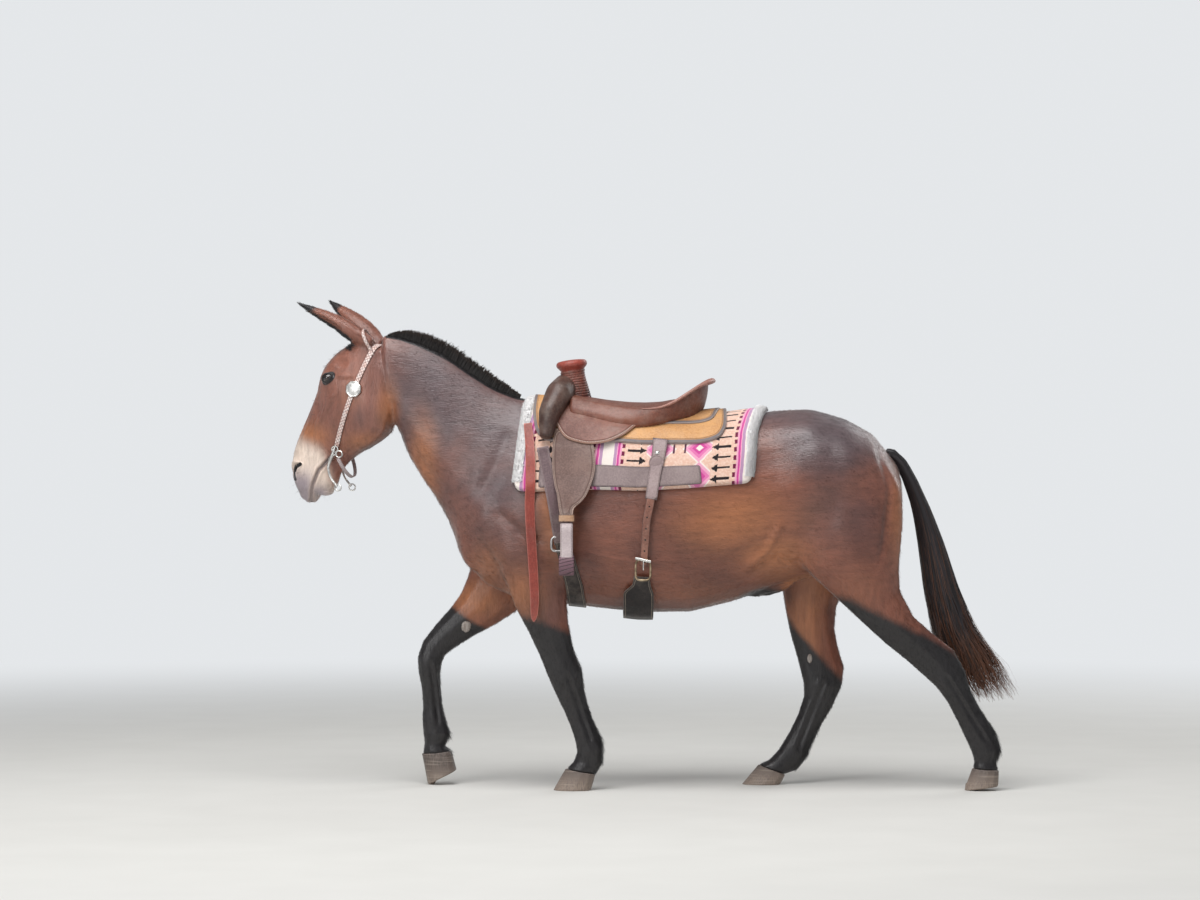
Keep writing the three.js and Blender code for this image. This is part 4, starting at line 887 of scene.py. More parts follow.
# %% Hair as a group of nodes
def new_group(name, inputs, recipe):
    """A node group. Each input has its default, or None for a vector, and recipe gives the outputs."""
    group = bpy.data.node_groups.new(name, "ShaderNodeTree")
    for label, default in inputs.items():
        kind = "NodeSocketVector" if default is None else "NodeSocketFloat"
        socket = group.interface.new_socket(name=label, in_out="INPUT", socket_type=kind)
        if default is not None:
            socket.default_value = default
    results = recipe(group, group.nodes.new("NodeGroupInput").outputs)
    for label in results:
        group.interface.new_socket(name=label, in_out="OUTPUT", socket_type="NodeSocketFloat")
    out = group.nodes.new("NodeGroupOutput").inputs
    for label, value in results.items():
        group.links.new(value, out[label])
    return group


def use_group(tree, group, inputs):
    made = tree.nodes.new("ShaderNodeGroup")
    made.node_tree = group
    for name, value in inputs.items():
        put(tree, made.inputs[name], value)
    return made.outputs


def short_hair(group, given):
    """Short hair that lies in streaks: fine strokes, wider clumps of them, and soft ripples."""
    fine = noise(group, given["Vector"], 260.0, 3.0)
    clump = noise(group, given["Vector"], 60.0, 3.0)
    ripple = noise(group, given["Vector"], 14.0, 2.0)
    height = times_plus(group, ripple, 1.6, times_plus(group, clump, 0.8, fine))
    return {"Height": height, "Shade": times_plus(group, fine, 0.35, times(group, clump, 0.65))}


hair_group = new_group("short hair", {"Vector": None}, short_hair)

# %% The coat's colours
BAY, BAY_DEEP = (0.215, 0.074, 0.044), (0.105, 0.035, 0.025)
TAN, ROSE = (0.40, 0.15, 0.06), (0.31, 0.125, 0.085)
# The dark grey lavender tone: a darker coat partly tinted as painted sky sheen, also used for painted shadow
# and shade
TOPLINE_SHADE_AND_SHEEN, BLACK = (0.090, 0.064, 0.070), (0.011, 0.009, 0.010)
CREAM, LAVENDER = (0.68, 0.55, 0.46), (0.33, 0.27, 0.29)
# How far the hair's streaks are stretched and tilted, in degrees, on the body, legs and face
HAIR_LIES = [((0.16, 1.0, 1.0), -28), ((1.0, 1.0, 0.14), 0), ((1.0, 1.0, 0.16), -24)]


def coat_material(name, roughness, bump, gloss=0.5):
    """The markings with their painted sheen and shadows, broken up by the hair's streaks. Skin and tufts
    share this recipe.
    """
    material, tree, shader = new_material(
        name, Roughness=roughness, Sheen_Weight=gloss * 0.35, Sheen_Roughness=0.35, Specular_IOR_Level=gloss
    )
    where = object_place(tree)
    lies = [use_group(tree, hair_group, {"Vector": stretched(tree, where, *lie)}) for lie in HAIR_LIES]
    legs, head = attribute(tree, "legs"), attribute(tree, "head")

    def by_region(output):
        value = ranged(tree, legs, 0.0, 1.0, lies[0][output], lies[1][output])
        return ranged(tree, head, 0.0, 1.0, value, lies[2][output])

    patches = noise(tree, where, 3.5, 5.0)
    rough_edge = times(tree, minus(tree, patches, 0.5), 0.7)

    def share(mark, low, high):
        return ranged(tree, maths(tree, "ADD", attribute(tree, mark), rough_edge), low, high)

    base = mixed(tree, ranged(tree, patches, 0.35, 0.68), BAY, BAY_DEEP)
    base = mixed(tree, times(tree, head, 0.55), base, ROSE)
    # The dark share: darker coat with painted sky sheen, and painted shadow and shade
    base = mixed(tree, share("dark", 0.0, 1.1), base, TOPLINE_SHADE_AND_SHEEN)
    base = mixed(tree, share("tan", 0.05, 1.05), base, TAN)
    base = mixed(tree, attribute(tree, "cream"), base, CREAM)
    base = mixed(tree, attribute(tree, "grey"), base, LAVENDER)
    base = mixed(tree, share("black", 0.3, 0.7), base, BLACK)
    base = shaded(tree, base, times_plus(tree, by_region("Shade"), 1.1, 0.45))
    paint(tree, shader, base, by_region("Height"), bump, 0.002)
    return material


skin_material = coat_material("bay coat", 0.38, 0.55, gloss=0.6)
tuft_material = coat_material("bay tufts", 0.42, 0.2)
finish_piece(skin, "skin", FLESH, skin_material, angle=180)

# %% [markdown]
# ## Eyes
# A mule's eye is a large dark ball under a wet, bulging cornea. Each is a sphere turned so that its
# pole looks out between the lids, with the pole's part pulled out a little. Its own UV map holds how
# far each point is from the pole along and across the lids, so the pupil can be a level oval.

# %% Eye material
def eye_material():
    material, tree, shader = new_material("wet eye", Roughness=0.08, Coat_Weight=1.0, Coat_Roughness=0.02)
    uv = place(tree, "ShaderNodeUVMap", uv_map="eye").outputs["UV"]
    split = place(tree, "ShaderNodeSeparateXYZ", {"Vector": uv}).outputs
    oval = {"X": split["X"], "Y": times(tree, split["Y"], 1.9)}
    flat = place(tree, "ShaderNodeCombineXYZ", oval).outputs[0]
    rays = noise(tree, uv, 9.0, 6.0)
    brown = mixed(tree, rays, (0.012, 0.006, 0.004), (0.034, 0.014, 0.007))
    inside = mixed(tree, ranged(tree, length_of(tree, flat), 0.42, 0.5), (0.002, 0.002, 0.004), brown)
    white = mixed(tree, rays, (0.02, 0.012, 0.010), (0.05, 0.03, 0.026))
    paint(tree, shader, mixed(tree, ranged(tree, length_of(tree, uv), 0.86, 0.98), inside, white))
    return material

# %% Eyeballs
CORNEA_BULGE = 1.6 * MM
IRIS_RADIUS = EYE_RADIUS * 0.72


def make_eye(name, side, material):
    outward, along, upward = eye_axes(side)
    centre = eye_centres[name]
    deselect()
    bpy.ops.mesh.primitive_uv_sphere_add(
        segments=48, ring_count=32, radius=EYE_RADIUS, location=centre,
        rotation=outward.to_track_quat("Z", "Y").to_euler(),
    )
    ball = bpy.context.object
    bpy.ops.object.transform_apply(location=True, rotation=True, scale=True)
    points = points_of(ball)
    offset = points - np.array(centre)
    forward = offset @ np.array(outward) / EYE_RADIUS
    offset += np.outer(CORNEA_BULGE * smoothstep(0.72, 1.0, forward), np.array(outward))
    set_points(ball, np.array(centre) + offset)
    shares = np.stack([offset @ np.array(along), offset @ np.array(upward)], axis=1) / IRIS_RADIUS
    add_map(ball, "eye", shares[corners_of(ball)])
    finish_piece(ball, f"eyeball_{name}", [f"eye_{name}"], material, angle=180)


wet_eye = eye_material()
for name, side in SIDES.items():
    make_eye(name, side, wet_eye)

# %% [markdown]
# ## Hooves
# A hoof grows downwards like a nail, so it has fine rings round it and faint lines down it. Each
# solid hoof is remeshed finely and relaxed, which rounds its facets and edges.

# %% Hooves
def horn_material(name, low_colour, top_colour):
    material, tree, shader = new_material(name, Roughness=0.55)
    where = object_place(tree)
    rings = noise(tree, stretched(tree, where, (0.3, 0.3, 6.0)), 30.0)
    lines = noise(tree, stretched(tree, where, (1.0, 1.0, 0.05)), 420.0)
    height = place(tree, "ShaderNodeSeparateXYZ", {"Vector": where}).outputs["Z"]
    base = mixed(tree, ranged(tree, height, 0.0, 0.09), low_colour, top_colour)
    base = mixed(tree, ranged(tree, lines, 0.4, 0.7), base, (0.17, 0.13, 0.11))
    base = mixed(tree, ranged(tree, rings, 0.5, 0.75, 0.0, 0.5), base, (0.36, 0.30, 0.25))
    paint(tree, shader, base, times_plus(tree, rings, 2.0, lines), 0.5, 0.0015)
    return material


HOOF_VOXEL = 2.5 * MM
HOOF_SMOOTHING = 14
horn = horn_material("hoof horn", (0.30, 0.235, 0.19), (0.085, 0.066, 0.058))
for leg in LEG_NAMES:
    hoof = joined_copy([f"{leg}_hoof"], leg)
    apply_modifier(hoof, "REMESH", mode="VOXEL", voxel_size=HOOF_VOXEL)
    apply_modifier(hoof, "SMOOTH", factor=0.5, iterations=HOOF_SMOOTHING)
    shape = points_of(hoof)
    shape[:, 2] = np.maximum(shape[:, 2] - shape[:, 2].min(), 0)
    set_points(hoof, shape)
    finish_piece(hoof, f"horn_{leg}", [f"{leg}_hoof"], horn)

# %% [markdown]
# ## Mane and tail
# Long hair hangs in locks that taper and cross each other. One function turns any number of paths
# into one mesh of thin, three-sided locks. Their colour follows an attribute that runs from 0 at the
# root to 1 at the tip, because sun bleaches the ends.

# %% Locks of hair
def make_locks(name, paths, outwards, widths, thickness=0.5):
    """One mesh of tapered locks. paths is locks x steps x 3, and widths is locks x steps."""
    paths, widths = np.asarray(paths), np.asarray(widths)
    count, steps, _ = paths.shape
    way = unit(np.gradient(paths, axis=1), 1e-12)
    outward = outwards[:, None, :] - way * (outwards[:, None, :] * way).sum(axis=2, keepdims=True)
    outward = unit(outward, 1e-12)
    sideways = np.cross(way, outward)
    half = widths[:, :, None] / 2
    ridge = paths + outward * half * thickness
    rings = np.stack([paths + sideways * half, ridge, paths - sideways * half], axis=2)
    tips = paths[:, -1] + way[:, -1] * widths[:, -2][:, None]
    sides = 3
    per_lock = steps * sides + 1
    points = np.concatenate([rings.reshape(count, steps * sides, 3), tips[:, None, :]], axis=1)
    quads = np.array([(b, a, d, c) for a, b, c, d in grid_faces(steps, sides, closed_columns=True)])
    last = (steps - 1) * sides
    caps = np.array([(last + (k + 1) % sides, last + k, steps * sides) for k in range(sides)] + [(0, 1, 2)])
    starts = (np.arange(count) * per_lock)[:, None, None]
    all_quads = (quads[None] + starts).reshape(-1, 4)
    all_caps = (caps[None] + starts).reshape(-1, 3)
    mesh = bpy.data.meshes.new(name)
    mesh.vertices.add(count * per_lock)
    mesh.vertices.foreach_set("co", points.astype(np.float32).ravel())
    loops = np.concatenate([all_quads.ravel(), all_caps.ravel()])
    mesh.loops.add(len(loops))
    mesh.loops.foreach_set("vertex_index", loops.astype(np.int32))
    sizes = np.concatenate([np.full(len(all_quads), 4), np.full(len(all_caps), 3)])
    mesh.polygons.add(len(sizes))
    mesh.polygons.foreach_set("loop_start", np.concatenate([[0], np.cumsum(sizes)[:-1]]).astype(np.int32))
    mesh.update(calc_edges=True)
    mesh.validate()
    piece = linked(bpy.data.objects.new(name, mesh))
    root_to_tip = np.concatenate([np.repeat(np.linspace(0, 1, steps), sides), [1.0]])
    add_values(piece, "length", np.tile(root_to_tip, count))
    return piece, per_lock


def shade_as(piece, lies, per_lock):
    """Each lock takes the normal of what it grows from, so that it is lit as that surface is."""
    lies = np.repeat(lies, per_lock, axis=0)
    piece.data.normals_split_custom_set_from_vertices([tuple(lie) for lie in lies])


def add_lock_colour(piece, per_lock, shade):
    """A shade of its own for each lock, so that neighbours can be told apart."""
    add_values(piece, "shade", np.repeat(shade, per_lock))


# %% [markdown]
# Each coat piece gets a map for baking named OFBake, where every tuft is one tiny patch at its
# root's place on an unwrap of the skin. The unwrap is made on a thinned copy of the skin, and each
# root looks up the nearest place on it.

# %% Unwrap of the skin
UNWRAP_FACES = 9000
PATCH = 0.003  # the size of each lock's patch on the unwrap


def make_unwrap():
    copy = copied(skin)
    apply_modifier(copy, "DECIMATE", ratio=min(1.0, UNWRAP_FACES / len(copy.data.polygons)))
    edit_all(copy)
    bpy.ops.uv.smart_project(angle_limit=math.radians(66), island_margin=0.003)
    bpy.ops.object.mode_set(mode="OBJECT")
    mesh = copy.data
    mesh.calc_loop_triangles()
    corners = [tuple(triangle.vertices) for triangle in mesh.loop_triangles]
    tree = BVHTree.FromPolygons([v.co.copy() for v in mesh.vertices], corners)
    uv = mesh.uv_layers.active.data
    patches = [[uv[loop].uv.copy() for loop in triangle.loops] for triangle in mesh.loop_triangles]
    places = [[mesh.vertices[v].co.copy() for v in corner] for corner in corners]
    bpy.data.objects.remove(copy)
    return tree, places, patches


unwrap = make_unwrap()


def add_bake_map(piece, per_lock, roots):
    """Puts each lock's faces in a small patch at its root's place on the unwrap."""
    tree, places, patches = unwrap
    middles = np.empty((len(roots), 2))
    for i, root in enumerate(roots):
        spot, _, index, _ = tree.find_nearest(Vector(root))
        a, b, c = places[index]
        whole = (b - a).cross(c - a).length + 1e-12
        shares = ((b - spot).cross(c - spot).length / whole, (c - spot).cross(a - spot).length / whole)
        uv = patches[index]
        middles[i] = uv[0] * shares[0] + uv[1] * shares[1] + uv[2] * max(0.0, 1 - shares[0] - shares[1])
    corners = corners_of(piece)
    within = corners % per_lock
    spread = np.stack([(within % 3) / 2 - 0.5, within / per_lock - 0.5], axis=1) * PATCH
    add_map(piece, "OFBake", middles[corners // per_lock] + spread)


# %% Long hair's colour
def long_hair_material(name, root, tip, brown_from):
    material, tree, shader = new_material(name, Roughness=0.42, Sheen_Weight=0.1, Specular_IOR_Level=0.45)
    base = mixed(tree, ranged(tree, attribute(tree, "length"), brown_from, 1.0), root, tip)
    paint(tree, shader, shaded(tree, base, times_plus(tree, attribute(tree, "shade"), 1.3, 0.35)))
    return material


# %% Mane
MANE_FROM = -0.992
MANE_TO = -0.505
MANE_COUNT = 2300
MANE_HEIGHTS = ([0, 0.05, 0.14, 0.3, 0.5, 0.7, 0.85, 1.0], [4, 16, 32, 40, 40, 37, 31, 12])
rng = np.random.default_rng(41)
skin_tree = BVHTree.FromPolygons(
    [Vector(p) for p in points_of(skin)], [tuple(f.vertices) for f in skin.data.polygons]
)


def skin_top(x, y):
    hit = skin_tree.ray_cast(Vector((x, y, 2.2)), Vector((0, 0, -1)))
    return hit[0], hit[1]


def make_mane():
    shares = rng.uniform(0, 1, MANE_COUNT)
    paths, outwards, roots = [], [], []
    for share in shares:
        x = MANE_FROM + (MANE_TO - MANE_FROM) * share
        y = rng.uniform(-0.010, 0.010)
        root, normal = skin_top(x, y)
        height = np.interp(share, *MANE_HEIGHTS) * MM * rng.uniform(0.86, 1.1)
        lean = np.array([rng.normal(0.12, 0.16), y * 22 + rng.normal(0, 0.1), 0])
        up = unit(np.array(normal) * 0.8 + np.array([0, 0, 0.25]))
        reach = np.array([-0.15, 0.35, 0.7, 1.0])[:, None]
        path = np.array(root) + up * height * reach + lean * height * np.clip(reach, 0, 1) ** 1.6
        paths.append(path)
        outwards.append([0, 1 if y > 0 else -1, 0])
        roots.append(root)
    taper = np.array([1.0, 1.0, 0.7, 0.25])
    widths = rng.uniform(3.0, 5.0, MANE_COUNT)[:, None] * taper * MM
    mane, per_lock = make_locks("mane_hair", paths, np.array(outwards, float), widths)
    add_lock_colour(mane, per_lock, rng.uniform(0.2, 1.0, MANE_COUNT))
    add_bake_map(mane, per_lock, roots)
    return mane


black_hair = long_hair_material("black hair", (0.012, 0.010, 0.010), (0.03, 0.02, 0.016), 0.6)
finish_piece(make_mane(), "mane_hair", ["mane"], black_hair, angle=60)

# %% Tail
# From the dock to the tips, in millimetres: front edge, rear edge, middle and half width across
TAIL_STATIONS = [
    (806, 1232, 838, 1268, 0, 30),
    (868, 1216, 884, 1250, 0, 36),
    (886, 1190, 928, 1210, 0, 40),
    (914, 1130, 969, 1136, 0, 46),
    (947, 1025, 1021, 1025, 0, 52),
    (966, 895, 1073, 895, 2, 58),
    (985, 729, 1126, 735, 4, 60),
    (1014, 575, 1190, 585, 6, 60),
    (1050, 440, 1290, 460, 8, 52),
    (1106, 311, 1348, 335, 10, 36),
]
TAIL_COUNT = 2600
TAIL_STEPS = 11


def tail_place(station, turn, reach):
    """A place inside the tail: how far down it, which way round and how far out."""
    columns = np.array(TAIL_STATIONS, float).T
    between = [np.interp(station, np.arange(len(TAIL_STATIONS)), column) for column in columns]
    front_x, front_z, rear_x, rear_z, middle_y, half_y = between
    x = (front_x + rear_x) / 2 + (rear_x - front_x) / 2 * np.cos(turn) * reach
    y = middle_y + half_y * np.sin(turn) * reach
    z = (front_z + rear_z) / 2 + (rear_z - front_z) / 2 * np.cos(turn) * reach
    return np.stack([x, y, z], axis=-1)


def make_tail():
    turn = rng.uniform(0, 2 * math.pi, TAIL_COUNT)
    reach = np.sqrt(rng.uniform(0, 1, TAIL_COUNT))
    start = rng.uniform(0, 1, TAIL_COUNT) ** 1.3 * 4.4 + 0.5
    end = np.minimum(start + rng.uniform(3.5, 7.5, TAIL_COUNT), 9.0 - rng.exponential(0.55, TAIL_COUNT))
    end = np.maximum(end, start + 1.5)
    share = np.linspace(0, 1, TAIL_STEPS)
    station = start[:, None] + (end - start)[:, None] * share
    grow = np.where(share < 0.1, 0.72, 0.93)[None, :] * reach[:, None]
    paths = tail_place(station, turn[:, None] + 0.2 * np.sin(share * 3)[None, :], grow) * MM
    wave = rng.uniform(0, 2 * math.pi, (TAIL_COUNT, 3))
    bend = np.clip(station - 5.5, 0, 4)[..., None] * np.array([3.2, 4.0, 2.6]) * MM
    paths += bend * np.sin(station[..., None] * rng.uniform(2.0, 3.4, (TAIL_COUNT, 1, 3)) + wave[:, None, :])
    flick = np.clip(station - 7.0, 0, 2) ** 2 * rng.uniform(-4, 9, TAIL_COUNT)[:, None] * MM
    paths[..., 0] += flick
    paths[..., 2] = np.maximum(paths[..., 2], 0.27)
    outwards = np.stack([np.cos(turn), np.sin(turn), np.zeros(TAIL_COUNT)], axis=1)
    taper = np.interp(share, [0, 0.1, 0.7, 1.0], [0.9, 1.0, 0.8, 0.18])
    widths = rng.uniform(2.6, 5.0, TAIL_COUNT)[:, None] * taper * MM
    tail, per_lock = make_locks("tail_hair", paths, outwards, widths)
    add_lock_colour(tail, per_lock, rng.uniform(0.1, 1.0, TAIL_COUNT))
    add_bake_map(tail, per_lock, paths[:, 0])
    return tail


tail_hair = long_hair_material("tail hair", (0.013, 0.010, 0.012), (0.12, 0.045, 0.02), 0.55)
finish_piece(make_tail(), "tail_hair", ["tail"], tail_hair, angle=60)

# %% [markdown]
# ## A map of the trunk
# Saddle leathers are cut flat and lie round the animal like a coat. So the trunk gets a map: at each
# place along it, rays from its middle find the skin all the way round, and each place is then named
# by how far along the trunk it is and how far down from the spine, measured on the skin. A piece
# laid by this map has its true cut size and keeps an even height over the skin.

# %% Map the trunk
before_tack = {piece.name for piece in bpy.data.objects}
MAP_STEP = 0.01
MAP_X = np.arange(-0.62, 0.48, MAP_STEP)
MAP_S = np.arange(-0.9, 0.905, MAP_STEP)
MAP_MIDDLE_Z = 1.06
MAP_TURNS = np.radians(np.arange(-168, 169, 3.0))
MAP_SOFTENING = 6


def soften(values, rounds):
    """Evens a table of numbers out along both its sides."""
    for _ in range(rounds):
        padded = np.pad(values, 1, mode="edge")
        around = padded[:-2, 1:-1] + padded[2:, 1:-1] + padded[1:-1, :-2] + padded[1:-1, 2:]
        values = (values * 4 + around) / 8
    return values


def map_trunk():
    reach = np.empty((len(MAP_X), len(MAP_TURNS)))
    for i, x in enumerate(MAP_X):
        for j, turn in enumerate(MAP_TURNS):
            way = Vector((0, math.sin(turn), math.cos(turn)))
            hit = skin_tree.ray_cast(Vector((x, 0, MAP_MIDDLE_Z)), way)
            reach[i, j] = hit[3] if hit[0] else reach[i, j - 1]
    reach = soften(reach, MAP_SOFTENING)
    y = reach * np.sin(MAP_TURNS)
    z = MAP_MIDDLE_Z + reach * np.cos(MAP_TURNS)
    steps = np.hypot(np.diff(y), np.diff(z))
    down = np.concatenate([np.zeros((len(MAP_X), 1)), np.cumsum(steps, axis=1)], axis=1)
    down -= down[:, [len(MAP_TURNS) // 2]]
    grid = np.empty((len(MAP_X), len(MAP_S), 3))
    for i in range(len(MAP_X)):
        grid[i, :, 0] = MAP_X[i]
        grid[i, :, 1] = np.interp(MAP_S, down[i], y[i])
        grid[i, :, 2] = np.interp(MAP_S, down[i], z[i])
    outward = unit(np.cross(np.gradient(grid, axis=0), np.gradient(grid, axis=1)))
    outward *= np.sign(outward[:, [len(MAP_S) // 2], 2:3])
    return grid, outward


TRUNK, TRUNK_OUT = map_trunk()
print("trunk mapped at", TRUNK.shape[:2], "places")


def from_map(table, x, s):
    """The table's value between its own places."""
    i = np.clip((np.asarray(x) - MAP_X[0]) / MAP_STEP, 0, len(MAP_X) - 1.001)
    j = np.clip((np.asarray(s) - MAP_S[0]) / MAP_STEP, 0, len(MAP_S) - 1.001)
    i0, j0 = i.astype(int), j.astype(int)
    a, b = (i - i0)[..., None], (j - j0)[..., None]
    near = table[i0, j0] * (1 - b) + table[i0, j0 + 1] * b
    far = table[i0 + 1, j0] * (1 - b) + table[i0 + 1, j0 + 1] * b
    return near * (1 - a) + far * a


def laid(x, s, height):
    """A place at a height over the skin, by its place along the trunk and down from the spine."""
    return from_map(TRUNK, x, s) + from_map(TRUNK_OUT, x, s) * np.asarray(height)[..., None]


def down_to(x, z, side):
    """How far down from the spine the trunk's side reaches a height z, in metres."""
    half = len(MAP_S) // 2
    i = int(np.clip(round((x - MAP_X[0]) / MAP_STEP), 0, len(MAP_X) - 1))
    row = TRUNK[i, half:, 2] if side > 0 else TRUNK[i, half::-1, 2]
    return side * float(np.interp(-z, -np.minimum.accumulate(row), np.arange(len(row)) * MAP_STEP))


# %% [markdown]
# ## Sheets of leather
# A sheet is an outline on that map, filled with triangles and laid at a height. Close to its edge
# the top rounds over, as a cut and burnished edge does. Each point also stores how far it is from
# the edge and how far along the edge it is, so that borders, stitches and wear can follow the cut.

# %% Lay a sheet
RING_SHARES = (0.25, 0.6, 1.0)  # where the rings of points inside a sheet's edge are


def resampled(points, spacing):
    """A closed outline with points at even distances."""
    points = np.asarray(points, float)
    closed = np.vstack([points, points[:1]])
    lengths = lengths_along(closed)
    count = max(8, int(lengths[-1] / spacing))
    at = np.linspace(0, lengths[-1], count, endpoint=False)
    return np.stack([np.interp(at, lengths, closed[:, k]) for k in (0, 1)], axis=1)


def rounded(points, radius=0.03):
    """Each corner replaced by a curve that starts a radius away from it, or less if there is no room."""
    points = np.asarray(points, float)
    points = points[np.linalg.norm(points - np.roll(points, 1, axis=0), axis=1) > 1e-4]
    out = []
    for k, corner in enumerate(points):
        ends = []
        for other in (points[k - 1], points[(k + 1) % len(points)]):
            run = other - corner
            length = np.linalg.norm(run)
            ends.append(corner + run * min(radius, length * 0.45) / length)
        for share in (0, 0.25, 0.5, 0.75, 1):
            out.append(ends[0] * (1 - share) ** 2 + corner * 2 * share * (1 - share) + ends[1] * share**2)
    return np.array(out)


def edge_distance(points, outline):
    """How far each point is from a closed outline, and how far along it the nearest place is."""
    closed = np.vstack([outline, outline[:1]])
    far, share = line_distance(points, closed)
    return far, share * lengths_along(closed)[-1]


def rounded_over(far, edge):
    """How high the rounding of an edge has risen at each distance from it, between 0 and 1."""
    return np.sqrt(np.clip(1 - (1 - np.clip(far / edge, 0, 1)) ** 2, 0, 1))


def laid_sheet(name, outline, low, high, edge=3 * MM, spacing=12 * MM, rise=None):
    """A closed sheet from a map outline. rise adds height by place, and low and high are metres."""
    outline = resampled(outline, spacing * 0.6)
    area = np.sum(outline[:, 0] * np.roll(outline[:, 1], -1) - np.roll(outline[:, 0], -1) * outline[:, 1])
    if area < 0:
        outline = outline[::-1]
    way = np.roll(outline, -1, axis=0) - np.roll(outline, 1, axis=0)
    inward = np.stack([-way[:, 1], way[:, 0]], axis=1) / np.linalg.norm(way, axis=1, keepdims=True)
    rings = [outline + inward * edge * share for share in RING_SHARES]
    lows, highs = outline.min(axis=0), outline.max(axis=0)
    gx, gy = np.meshgrid(np.arange(lows[0], highs[0], spacing), np.arange(lows[1], highs[1], spacing))
    gx = gx + (np.arange(len(gx)) % 2)[:, None] * spacing / 2
    middle = np.stack([gx.ravel(), gy.ravel()], axis=1)
    extra = np.vstack(rings + [middle])
    far, _ = edge_distance(extra, outline)
    limit = np.repeat(np.array(RING_SHARES) * edge * 0.9, len(outline))
    limit = np.concatenate([limit, np.full(len(middle), edge + spacing * 0.45)])
    flat = np.vstack([outline, extra[far >= limit]])
    corners = [list(range(len(outline)))]
    made = geometry.delaunay_2d_cdt([Vector(p) for p in flat], [], corners, 1, 1e-7)
    flat = np.array([tuple(p) for p in made[0]])
    triangles = np.array(made[2])
    far, along = edge_distance(flat, outline)
    over = rounded_over(far, edge)
    lift = rise(flat[:, 0], flat[:, 1], far) if rise else 0
    thick = high - low
    top = laid(flat[:, 0], flat[:, 1], low + thick * (0.4 + 0.6 * over) + lift)
    bottom = laid(flat[:, 0], flat[:, 1], low + thick * 0.1 * (1 - over))
    count = len(flat)
    faces = [tuple(t) for t in triangles] + [tuple(count + t[::-1]) for t in triangles]
    used = {}
    for a, b, c in triangles:
        for pair in ((a, b), (b, c), (c, a)):
            used[pair] = used.get(pair, 0) + 1
    rim = [pair for pair in used if (pair[1], pair[0]) not in used]
    faces += [(b, a, count + a, count + b) for a, b in rim]
    piece = mesh_piece(name, np.vstack([top, bottom]), faces)
    for label, values in (("edge", far), ("along", along), ("lay_x", flat[:, 0]), ("lay_s", flat[:, 1])):
        add_values(piece, label, np.tile(values, 2))
    face_outwards(piece)
    return piece


# %% Outlines of the saddle's sheets
# Heights over the skin of each layer, as the solids have them
PAD_TOP, WEAR_TOP, SKIRT_TOP, JOCKEY_TOP, SEAT_TOP = (h * MM for h in (22, 25, 33, 39, 46))
AIR = 0.4 * MM
SPINE_GAP = 20 * MM
# Side view outlines in millimetres, lower edges from front to rear
PAD_EDGES = {"front": [(-470, 1440), (-486, 1400), (-519, 1120)],
             "low": [(-506, 1095), (-189, 1101), (167, 1112), (328, 1125)],
             "rear": [(344, 1142), (362, 1300), (396, 1404), (408, 1440)]}
SKIRT_EDGE = [(-450, 1440), (-455, 1370), (-440, 1300), (-400, 1264), (-91, 1258), (65, 1255),
              (175, 1258), (234, 1276), (258, 1312), (264, 1400), (264, 1440)]
REAR_JOCKEY_EDGE = [(10, 1392), (-34, 1348), (-64, 1318), (168, 1318), (214, 1332), (236, 1364),
                    (242, 1420), (242, 1440)]
SIDE_JOCKEY_EDGE = [(-380, 1430), (-372, 1330), (-330, 1268), (-250, 1246), (-180, 1252),
                    (-115, 1278), (-60, 1316), (-20, 1352), (22, 1390), (24, 1420)]
WEAR_EDGE = [(-426, 1182), (-430, 1102), (-189, 1107), (163, 1118), (156, 1184)]


def on_map(edge, side):
    return [(x * MM, down_to(x * MM, z * MM, side)) for x, z in edge]


def both_sides(edge):
    """One outline over the back: the left edge forwards, then the right edge backwards."""
    return on_map(edge, -1) + on_map(edge, 1)[::-1]


def one_side(edge, side):
    """An outline on one side that stops a little short of the spine."""
    line = on_map(edge, side)
    return [(line[0][0], side * SPINE_GAP)] + line + [(line[-1][0], side * SPINE_GAP)]


# %% [markdown]
# ## Leather, wool, rawhide and metal
# Worn leather has a fine grain, wide soft creases, darker or paler rubbed edges and patches of dust.
# Those effects are node groups, built once and used by every leather with its own values. A stitch
# group draws a row of short stitches at a set distance from the edge.

# %% Groups for leather
STITCH_LENGTH = 0.006


def grain(group, given):
    """Pores, a coarse grit, wide folds and stains."""
    where = given["Vector"]
    pores = place(group, "ShaderNodeTexVoronoi", {"Vector": where, "Scale": 420.0}).outputs["Distance"]
    grit = noise(group, where, 160.0, 5.0)
    folds = noise(group, where, 22.0, 4.0, Distortion=0.8)
    stains = noise(group, where, 7.0, 6.0)
    height = times_plus(group, pores, 0.35, times(group, grit, 0.5))
    return {
        "Height": times_plus(group, folds, 1.6, height),
        "Shade": times_plus(group, stains, 0.6, times(group, grit, 0.4)),
        "Creases": ranged(group, folds, 0.56, 0.7),
    }


def edge_marks(group, given):
    """A border of a set width, a rubbed rim, and the groove that parts the border from the rest."""
    edge, width = given["Edge"], given["Width"]
    loose = minus(group, times_plus(group, noise(group, given["Vector"], 60.0, 4.0), 0.004, edge), 0.002)
    return {
        "Border": fading(group, maths(group, "DIVIDE", edge, width), 0.9, 1.1),
        "Rim": fading(group, loose, 0.0005, 0.004),
        "Groove": fading(group, apart(group, edge, width), 0.0004, 0.0022),
    }


def stitches(group, given):
    """A row of stitches at a distance from the edge."""
    near = fading(group, apart(group, given["Edge"], given["Inset"]), 0.0005, 0.0012)
    dash = fading(group, to_and_fro(group, given["Along"], STITCH_LENGTH), 0.3, 0.42)
    return {"Thread": times(group, near, dash)}


def dust(group, given):
    speck = noise(group, given["Vector"], 34.0, 9.0, Roughness=0.7)
    both = times(group, speck, noise(group, given["Vector"], 4.0, 3.0))
    return {"Dust": ranged(group, both, 0.22, 0.42)}


